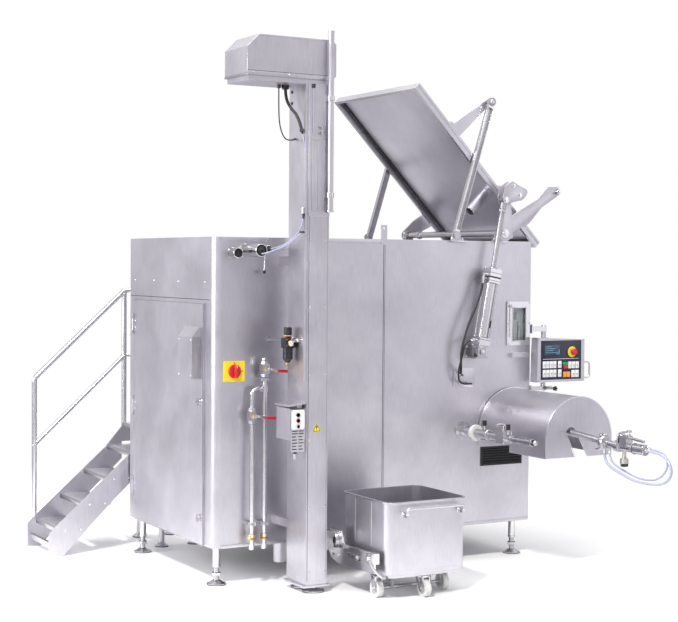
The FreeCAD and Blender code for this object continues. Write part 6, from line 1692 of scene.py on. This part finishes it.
def bin_parts(sizes):
    """Rolled rim, corner seams, pressed line, handle roses and pegs of the bin."""
    build = Build()
    middle = (sizes.left + sizes.wide / 2, sizes.front + sizes.wide / 2)
    ring_round(build, (*middle, sizes.rim - 0.006), sizes.wide - 0.004, 0.076, 0.0058, "bright_steel")
    ring_round(build, (*middle, sizes.rim - 0.017), sizes.wide - 0.012, 0.072, 0.0022, "satin_steel")
    ring_round(build, (*middle, 0.204), sizes.wide - 0.0165, 0.070, 0.0016, "satin_steel")
    ring_round(build, (*middle, 0.1795), sizes.wide - 0.026, 0.066, 0.0030, "weld_bead")
    for y in (-0.745, -0.520):
        build.weld((sizes.left + 0.0078, y, 0.210), (sizes.left + 0.0078, y, 0.668), 0.0014, "satin_steel")
    build.weld((sizes.left + sizes.wide - 0.0078, -0.650, 0.210),
               (sizes.left + sizes.wide - 0.0078, -0.650, 0.668), 0.0014, "satin_steel")
    for x in (1.001, 1.465):
        build.lathe((x, sizes.front + 0.0085, 0.600), FRONT,
                    [(0, 0.021), (0.003, 0.018), (0.012, 0.0150), (0.030, 0.0135)], "bright_steel", 32)
    for start in (-0.690, -0.460):
        build.block((sizes.left - 0.0036, start - 0.003, 0.2045),
                    (sizes.left + 0.009, start + 0.043, 0.2095), "machined_steel", 0.001)
    for x in AXLE_WHEELS:
        for side in (-1, 1):
            build.bolt((x + side * 0.030, AXLE_Y, AXLE_Z), RIGHT * side, 0.016, 0.008)
            build.block((x + side * 0.027 - 0.004, AXLE_Y - 0.032, 0.120),
                        (x + side * 0.027 + 0.004, AXLE_Y + 0.032, 0.158), "bright_steel", 0.002)
    for x in (1.020, 1.330):
        build.block((x - 0.012, AXLE_Y - 0.016, 0.052), (x + 0.012, AXLE_Y + 0.016, 0.160), "cast_grey",
                    0.004)
    for y in (FRONT_CASTER, REAR_CASTER):
        build.block((CASTER_X - 0.068, y - 0.060, 0.1535), (CASTER_X + 0.068, y + 0.060, 0.1585),
                    "machined_steel", 0.002)
        for x in (CASTER_X - 0.056, CASTER_X + 0.056):
            for lift in (-0.046, 0.046):
                build.bolt((x, y + lift, 0.1535), DOWN, 0.011, 0.006)
    build.show("bin_rim_and_seams", "tipping_body", "bright_steel")


def wheel_parts(build, x, y, radius, finish="white_nylon"):
    """A nylon tyre with a crowned tread and a dished, ribbed hub on both sides."""
    half = 0.020
    build.lathe((x - half, y, radius), RIGHT, [(0, radius - 0.010), (0.0015, radius - 0.003),
                                               (0.007, radius + 0.0001), (0.033, radius + 0.0001),
                                               (0.0385, radius - 0.003), (0.040, radius - 0.010)], finish,
                56)
    for side in (-1, 1):
        way = RIGHT * side
        start = Vector((x, y, radius)) + way * half
        build.lathe(tuple(start), way, [(-0.0065, 0.0395), (-0.0005, 0.0400), (0.0008, 0.0430),
                                        (0.0008, 0.0500), (0.0, 0.0530)], finish, 48)
        build.lathe(tuple(start), way, [(-0.0065, 0.0235), (-0.001, 0.0225), (0.0015, 0.0200),
                                        (0.0015, 0.0120)], finish, 40)
        build.lathe(tuple(start), way, [(0.0015, 0.0122), (0.0020, 0.0122), (0.0026, 0.0105),
                                        (0.0026, 0.0)], "machined_steel", 28)
        for spoke in spread(6, 1.0):
            inner = start + Vector((0, *spoke)) * 0.024 - way * 0.0035
            outer = start + Vector((0, *spoke)) * 0.040 - way * 0.0035
            build.bar(tuple(inner), tuple(outer), 0.0026, finish, 10, 0)


def wheels_and_forks(sizes):
    """Tyres, hubs, dust caps, fork bolts and swivel races of the bin's wheels."""
    build = Build()
    for x in AXLE_WHEELS:
        wheel_parts(build, x, AXLE_Y, sizes.wheel)
    build.pipe((AXLE_WHEELS[0] + 0.032, AXLE_Y, AXLE_Z), (AXLE_WHEELS[1] - 0.032, AXLE_Y, AXLE_Z), 0.0118,
               0.0101, "machined_steel", 24)
    build.show("bin_tyres", "bin_axle_body", "white_nylon")
    for side, y in (("front", FRONT_CASTER), ("rear", REAR_CASTER)):
        tyre = Build()
        wheel_parts(tyre, CASTER_X, y - CASTER_TRAIL, sizes.wheel)
        tyre.show(side + "_caster_tyre", side + "_caster_wheel_body", "white_nylon")
        fork = Build()
        fork.lathe((CASTER_X, y, 0.1460), UP, [(0, 0.0342), (0, 0.040), (0.0035, 0.041), (0.008, 0.039),
                                               (0.010, 0.0342)], "bright_steel", 44)
        for way in (-1, 1):
            fork.bolt((CASTER_X + way * 0.030, y - CASTER_TRAIL, AXLE_Z), RIGHT * way, 0.014, 0.005)
            x = CASTER_X + way * 0.0272
            fork.plate([(y - 0.054, 0.046), (y - 0.046, 0.0385), (y - 0.010, 0.0385), (y - 0.002, 0.046),
                        (y + 0.040, 0.128), (y + 0.040, 0.138), (y - 0.040, 0.138)], BACK, UP,
                       (x - 0.0035, 0, 0), 0.007, "bright_steel", 0.0015)
        fork.show(side + "_caster_fork_trim", side + "_caster_body", "bright_steel")


def tipping_parts():
    """Lock lever, link, bolts and pads of the tipping arm."""
    build = Build()
    for start in (-0.732, -0.621):
        for z in (0.2435, 0.2795):
            build.block((0.8035, start - 0.004, z - 0.0015), (0.8060, start + 0.086, z + 0.0030),
                        "bright_steel", 0.0008)
    build.block((0.8032, -0.900, 0.3280), (0.8205, -0.470, 0.3335), "bright_steel", 0.0015)
    build.block((0.7990, -0.905, 0.250), (0.8065, -0.806, 0.325), "satin_steel", 0.003)
    build.lathe((0.7985, -0.852, 0.292), LEFT, [(0, 0.022), (0.006, 0.022), (0.008, 0.019), (0.020, 0.017),
                                                (0.024, 0.010), (0.024, 0)], "bright_steel", 32)
    build.sweep([(0.795, -0.855, 0.296), (0.786, -0.880, 0.330), (0.786, -0.912, 0.335)], 0.006,
                "bright_steel", 12)
    link = [(0.7925, -0.872, 0.270), (0.8000, -0.897, 0.232), (0.8290, -0.916, 0.190),
            (0.8600, -0.925, 0.163)]
    build.sweep(link, 0.0085, "bright_steel", 14)
    build.bar((0.852, -0.925, 0.160), (0.884, -0.925, 0.160), 0.012, "machined_steel", 20)
    for z in (0.236, 0.400):
        for y in (-0.330, -0.400):
            build.bolt((0.8045, y, z), LEFT, 0.014, 0.008)
    build.lathe((0.7755, *TILT_SHAFT), LEFT, [(0, 0.058), (0.002, 0.058), (0.003, 0.056), (0.003, 0.0352)],
                "machined_steel", 48)
    build.hoop((0.8045, *TILT_SHAFT), RIGHT, 0.063, 0.004, "weld_bead", 48, 8)
    for start in (-0.700, -0.470):
        build.block((0.8185, start - 0.003, 0.3155), (0.8635, start + 0.063, 0.3185), "black_rubber", 0.001)
    build.show("tipping_arm_parts", "tipping_body", "bright_steel")
    neck = Build()
    neck.lathe((0.7705, *TILT_SHAFT), LEFT, [(0, 0.0352), (0, 0.044), (0.006, 0.046), (0.006, 0.0352)],
               "black_rubber", 48)
    for z in (0.290, 0.410):
        for y in (-0.390, -0.330):
            neck.screw((0.7698, y, z), RIGHT, 0.005)
    neck.show("carriage_seal", "lift_carriage_body", "black_rubber")


class GRINDER_OT_bin(Operator):
    """Adds the parts of the bin, its wheels and the tipping arm"""
    bl_idname = "grinder.bin"
    bl_label = "Dress the bin"

    def execute(self, context):
        bin_parts(context.scene.grinder_bin)
        wheels_and_forks(context.scene.grinder_bin)
        tipping_parts()
        return {"FINISHED"}


# Stairs and handrail

class StairSizes(PropertyGroup):
    near: FloatProperty(name="Near side", description="Near side of the stairs", default=1.620, unit="LENGTH")
    far: FloatProperty(name="Far side", description="Far side of the stairs", default=2.170, unit="LENGTH")
    stud: FloatProperty(name="Stud", description="Radius of the raised grip studs", default=0.0075,
                        unit="LENGTH")
    pitch: FloatProperty(name="Stud pitch", description="Distance between the grip studs", default=0.042,
                         unit="LENGTH")


FIRST_STEP, STEP_RUN, TREAD = -0.600, 0.205, 0.250
STEP_HEIGHTS = (0.226, 0.417, 0.608, 0.799)
LANDING = (0.150, 0.620, 0.9844)
LOW_POST, MIDDLE_POST, HIGH_POST = -0.604, 0.180, 0.600


def stair_parts(sizes):
    """Raised grip studs, nosings, bolts and rubber feet of the stairs."""
    build = Build()
    floors = []
    for step, height in enumerate(STEP_HEIGHTS):
        left = FIRST_STEP + STEP_RUN * step
        floors.append((left, left + TREAD, height))
    floors.append(LANDING)
    near, far = sizes.near + 0.012, sizes.far - 0.012
    for left, right, top in floors:
        build.block((left - 0.001, near, top - 0.034), (left + 0.004, far, top + 0.003), "bright_steel",
                    0.0015)
        columns = int((right - left - 0.03) / sizes.pitch)
        rows = int((far - near - 0.02) / sizes.pitch)
        for column in range(columns):
            for row in range(rows):
                x = left + 0.028 + column * sizes.pitch
                y = near + 0.022 + (row + 0.5 * (column % 2)) * sizes.pitch
                if y < far - 0.010:
                    build.lathe((x, y, top - 0.0004), UP, [(0, sizes.stud), (0.0022, sizes.stud * 0.75),
                                                           (0.0022, sizes.stud * 0.42),
                                                           (0.0006, sizes.stud * 0.38), (0.0006, 0)],
                                "bright_steel", 10)
        for y in (sizes.near, sizes.far):
            way = FRONT if y == sizes.near else BACK
            for x in (left + 0.06, right - 0.06):
                if top < 0.9:
                    build.bolt((x, y, top - 0.020), way, 0.012, 0.007)
    for x in (0.300, 0.590):
        for y in (sizes.near + 0.030, sizes.far - 0.030):
            build.lathe((x, y, 0.0005), UP, [(0, 0.050), (0.003, 0.0556), (0.010, 0.0556), (0.012, 0.052)],
                        "black_rubber", 40)
            build.lathe((x, y, 0.0152), UP, [(0, 0.046), (0.006, 0.040), (0.022, 0.026), (0.024, 0.0242)],
                        "bright_steel", 40)
    build.show("stair_trim", "machine", "bright_steel")


def rail_parts(sizes):
    """Collars, clamps, caps and welds of the handrail."""
    build = Build()
    rail = sizes.far + 0.0213
    for x, z in ((LOW_POST, 0.300), (LOW_POST, 0.150), (MIDDLE_POST, 0.900), (HIGH_POST, 0.900)):
        build.pipe((x, rail, z - 0.020), (x, rail, z + 0.020), 0.0232, 0.0211, "bright_steel", 32)
        build.bolt((x + 0.0228, rail - 0.004, z), RIGHT, 0.010, 0.006)
    build.lathe((LOW_POST, rail, 0.062), DOWN, [(-0.016, 0.0212), (-0.016, 0.0228), (0.0, 0.0228),
                                                (0.002, 0.020), (0.002, 0)], "black_rubber", 32)
    for x, z in ((LOW_POST, 0.830), (MIDDLE_POST, 1.549), (HIGH_POST, 1.549), (MIDDLE_POST, 2.074)):
        build.hoop((x, rail, z), UP, 0.0205, 0.0030, "weld_bead", 32, 8)
    build.show("rail_collars", "machine", "bright_steel")


class GRINDER_OT_stairs(Operator):
    """Adds the parts of the stairs and the handrail"""
    bl_idname = "grinder.stairs"
    bl_label = "Dress the stairs"

    def execute(self, context):
        stair_parts(context.scene.grinder_stairs)
        rail_parts(context.scene.grinder_stairs)
        return {"FINISHED"}


# Hoses and cables

class HoseSizes(PropertyGroup):
    air: FloatProperty(name="Air hose", description="Radius of the air hoses", default=0.009, unit="LENGTH")
    wash: FloatProperty(name="Wash hose", description="Radius of the outlet's hose", default=0.0100,
                        unit="LENGTH")
    second: FloatProperty(name="Second hose", description="Radius of the outlet's second hose",
                          default=0.0075, unit="LENGTH")
    cable: FloatProperty(name="Cable", description="Radius of the thin cables", default=0.0045, unit="LENGTH")


def hose(name, body, spots, radius, finish, lay, *stands_for):
    """A round hose whose line runs between the spots' straight runs. Both ends go into a piece."""
    curve = bpy.data.curves.new(name, "CURVE")
    curve.dimensions = "3D"
    curve.bevel_depth = radius
    curve.bevel_resolution = 5
    curve.resolution_u = 16
    curve.use_fill_caps = True
    spline = curve.splines.new("NURBS")
    spline.points.add(len(spots) - 1)
    for point, spot in zip(spline.points, spots):
        point.co = (*at(*spot), 1.0)
    spline.order_u = 3
    spline.use_endpoint_u = True
    curve.materials.append(finishes[finish])
    thing = bpy.data.objects.new(name, curve)
    bpy.context.scene.collection.objects.link(thing)
    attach(thing, body)
    if stands_for:
        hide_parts(*stands_for)


def hose_end(build, place, way, radius, finish="bright_steel"):
    """A hexagon nut with a tapered sleeve over the first stretch of a hose."""
    build.lathe(place, way, [(-0.004, radius), (-0.004, radius * 1.75), (0.012, radius * 1.75),
                             (0.013, radius * 1.5), (0.020, radius * 1.45), (0.034, radius * 1.12),
                             (0.036, radius * 1.01)], finish, 6)


def lid_hoses(sizes):
    """The lid cylinder's two air hoses. They swing with it on a plate over a slot in the wall."""
    body = "lid_cylinder_body"
    sleeve_z = 1.404
    upper = [(2.2704, CYLINDER_PLANE, 2.2286), (2.2507, CYLINDER_PLANE, 2.1204),
             (2.190, CYLINDER_PLANE, 1.990), (2.122, CYLINDER_PLANE, 1.850), (2.076, CYLINDER_PLANE, 1.710),
             (2.066, -0.092, 1.600), (2.096, -0.055, 1.510), (2.131, 0.006, 1.469)]
    lower = [(2.1845, CYLINDER_PLANE, 1.7552), (2.148, CYLINDER_PLANE, 1.7505),
             (2.108, CYLINDER_PLANE, 1.728), (2.090, CYLINDER_PLANE, 1.680), (2.076, -0.090, 1.610),
             (2.060, -0.070, 1.520), (2.072, -0.055, 1.430), (2.125, -0.045, 1.405),
             (2.180, -0.038, sleeve_z), (2.206, -0.020, sleeve_z), (2.216, -0.006, sleeve_z)]
    hose("lid_hose_upper", body, upper, sizes.air, "black_rubber", "hanging", "cylinder_hose")
    hose("lid_hose_lower", body, lower, sizes.air * 0.8, "black_rubber", "hanging")
    build = Build()
    hose_end(build, upper[0], Vector(upper[1]) - Vector(upper[0]), sizes.air)
    hose_end(build, lower[0], Vector(lower[1]) - Vector(lower[0]), sizes.air * 0.8)
    build.show("lid_hose_ends", body, "bright_steel")
    plate = Build()
    plate.block((2.056, -0.0072, 1.378), (2.256, -0.0027, 1.530), "brushed_steel", 0.0015)
    for x in (2.066, 2.246):
        for z in (1.388, 1.520):
            plate.screw((x, -0.0072, z), FRONT, 0.005)
    for spot, radius in (((2.127, -0.007, 1.4735), sizes.air), ((2.214, -0.007, sleeve_z), sizes.air * 0.8)):
        plate.lathe(spot, FRONT, [(0, radius * 1.9), (0.006, radius * 1.9), (0.007, radius * 1.5),
                                  (0.016, radius * 1.4), (0.017, radius * 1.2)], "bright_steel", 6)
    plate.show("hose_plate", body, "brushed_steel")


def wall_hoses(sizes):
    """The pale hoses from the column to the tubes on the front wall."""
    column_y = -0.473
    wide_x, wide_z = WIDE_TUBE
    slim_x, slim_z = SLIM_TUBE
    first = [(0.461, column_y, 2.6896), (0.461, column_y, 2.600), (0.430, -0.370, 2.500),
             (slim_x, -0.230, slim_z), (slim_x, -0.1204, slim_z)]
    second = [(0.4695, column_y, 2.560), (0.440, column_y, 2.552), (0.370, -0.430, 2.470),
              (0.290, -0.370, 2.430), (wide_x, -0.330, 2.408), (wide_x, -0.262, 2.405)]
    hose("wall_hose_first", "machine", first, sizes.air * 0.65, "white_hose_plastic", "hanging", "white_hose")
    hose("wall_hose_second", "machine", second, sizes.air * 0.55, "white_hose_plastic", "hanging")
    build = Build()
    hose_end(build, first[0], DOWN, sizes.air * 0.65, "black_plastic")
    hose_end(build, first[-1], FRONT, sizes.air * 0.65, "black_plastic")
    hose_end(build, second[0], LEFT, sizes.air * 0.55, "black_plastic")
    build.lathe((wide_x, -0.268, wide_z), FRONT, [(0, 0.028), (0.004, 0.029), (0.006, 0.022),
                                                  (0.010, 0.010), (0.012, 0.006)], "black_rubber", 32)
    build.lathe((slim_x, -0.119, slim_z), FRONT, [(0, 0.022), (0.003, 0.023), (0.006, 0.017),
                                                  (0.006, 0.009)], "black_rubber", 32)
    build.show("wall_hose_ends", "machine", "black_plastic")


def drive_cables(sizes):
    """The conduit, the thin black cable and the pale cable below the drive housing."""
    conduit = [(CONDUIT_X, CABLE_Y, 3.5964), (CONDUIT_X, CABLE_Y, 3.510), (0.418, -0.360, 3.430),
               (0.444, -0.425, 3.370), (0.458, -0.452, 3.270)]
    thin = [(THIN_CABLE_X, CABLE_Y, 3.575), (THIN_CABLE_X, CABLE_Y, 3.440), (0.358, CABLE_Y, 3.320),
            (0.388, CABLE_Y, 3.235), (0.435, CABLE_Y, 3.205), (0.489, CABLE_Y, 3.224)]
    pale = [(0.4615, -0.459, 3.242), (0.464, -0.465, 3.215), (0.466, -0.469, 3.190),
            (0.4685, -0.472, 3.165), (0.4695, -0.473, 3.140)]
    hose("drive_conduit_ribbed", "machine", conduit, 0.011, "black_rubber", "hanging", "drive_conduit")
    hose("drive_cable_thin", "machine", thin, sizes.cable, "black_rubber", "hanging")
    build = Build()
    hose_end(build, thin[-1], Vector(thin[-2]) - Vector(thin[-1]), sizes.cable, "black_plastic")
    way = Vector(conduit[-1]) - Vector(conduit[-2])
    build.lathe(tuple(Vector(conduit[-1]) - way.normalized() * 0.012), way,
                [(0, 0.0112), (0, 0.0165), (0.016, 0.0165), (0.018, 0.0140), (0.034, 0.0060),
                 (0.036, 0.0050)], "black_plastic", 8)
    build.sweep(pale, sizes.cable, "white_hose_plastic", 12)
    build.show("drive_cable_ends", "machine", "black_plastic")


def outlet_hoses(sizes):
    """The looped wash hose of the separator valve and the thinner one beside it."""
    x = SEPARATOR_X
    route = ((HOSE_MOUTH, SEPARATOR_Z), (-1.830, SEPARATOR_Z), (-1.940, 1.010), (-1.985, 0.915),
             (-1.915, 0.835), (-1.780, 0.812), (-1.600, 0.812), (-1.440, 0.850), (-1.310, 0.890),
             (-1.262, 0.940), (-1.262, 1.0096))
    outer = [(x, y, z) for y, z in route]
    beside = x + 0.024
    inner = [(beside, y, z) for y, z in ((HOSE_MOUTH, SEPARATOR_Z + 0.010), (-1.800, SEPARATOR_Z + 0.010),
                                         (-1.890, 1.030), (-1.915, 0.960), (-1.860, 0.880), (-1.760, 0.835),
                                         (-1.600, 0.834), (-1.450, 0.868), (-1.330, 0.910), (-1.290, 0.950),
                                         (-1.290, 1.0096))]
    hose("wash_hose_outer", "machine", outer, sizes.wash, "white_hose_plastic", "loose", "outlet_hose")
    hose("wash_hose_inner", "machine", inner, sizes.second, "white_hose_plastic", "loose")
    build = Build()
    for spots, radius in ((outer, sizes.wash), (inner, sizes.second)):
        hose_end(build, spots[0], FRONT, radius)
        hose_end(build, spots[-1], DOWN, radius)
    build.bar((beside, -1.290, 1.005), (beside, -1.290, 1.070), 0.009, "bright_steel", 20)
    build.show("wash_hose_ends", "machine", "bright_steel")


class GRINDER_OT_hoses(Operator):
    """Adds the hoses and cables with their end fittings"""
    bl_idname = "grinder.hoses"
    bl_label = "Lay the hoses"

    def execute(self, context):
        sizes = context.scene.grinder_hoses
        lid_hoses(sizes)
        wall_hoses(sizes)
        drive_cables(sizes)
        outlet_hoses(sizes)
        return {"FINISHED"}


class GRINDER_OT_finishes(Operator):
    """Makes the finishes and puts them on the frame's own pieces"""
    bl_idname = "grinder.finishes"
    bl_label = "Make the finishes"

    def execute(self, context):
        make_finishes(context.scene.grinder_colours)
        dress_frame(context.scene.grinder_stage.edge)
        return {"FINISHED"}


class GRINDER_PT_looks(Panel):
    """The sidebar panel of the grinder"""
    bl_label = "Mixing grinder"
    bl_idname = "GRINDER_PT_looks"
    bl_space_type = "VIEW_3D"
    bl_region_type = "UI"
    bl_category = "Grinder"

    def draw(self, context):
        for operator in OPERATORS:
            self.layout.operator(operator.bl_idname)


OPERATORS = (GRINDER_OT_finishes, GRINDER_OT_cabinet, GRINDER_OT_feet, GRINDER_OT_column, GRINDER_OT_lid,
             GRINDER_OT_head, GRINDER_OT_controls, GRINDER_OT_bin, GRINDER_OT_stairs, GRINDER_OT_hoses,
             GRINDER_OT_stage)
SETTINGS = {"grinder_colours": FinishColours, "grinder_cabinet": CabinetSizes, "grinder_feet": FootSizes,
            "grinder_column": ColumnSizes, "grinder_lid": LidSizes, "grinder_hood": HoodSizes,
            "grinder_panel": PanelSizes, "grinder_bin": BinSizes, "grinder_stairs": StairSizes,
            "grinder_hoses": HoseSizes, "grinder_stage": StageSizes}


def register():
    """Registers the classes and hangs the settings on the scene."""
    for group in SETTINGS.values():
        bpy.utils.register_class(group)
    for word, group in SETTINGS.items():
        setattr(bpy.types.Scene, word, PointerProperty(type=group))
    for operator in OPERATORS:
        bpy.utils.register_class(operator)
    bpy.utils.register_class(GRINDER_PT_looks)


def unregister():
    """Takes the settings and classes away again."""
    bpy.utils.unregister_class(GRINDER_PT_looks)
    for operator in reversed(OPERATORS):
        bpy.utils.unregister_class(operator)
    for word, group in SETTINGS.items():
        delattr(bpy.types.Scene, word)
        bpy.utils.unregister_class(group)


def main():
    """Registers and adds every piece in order."""
    register()
    for operator in OPERATORS:
        family, action = operator.bl_idname.split(".")
        getattr(getattr(bpy.ops, family), action)()


if __name__ == "__main__":
    main()
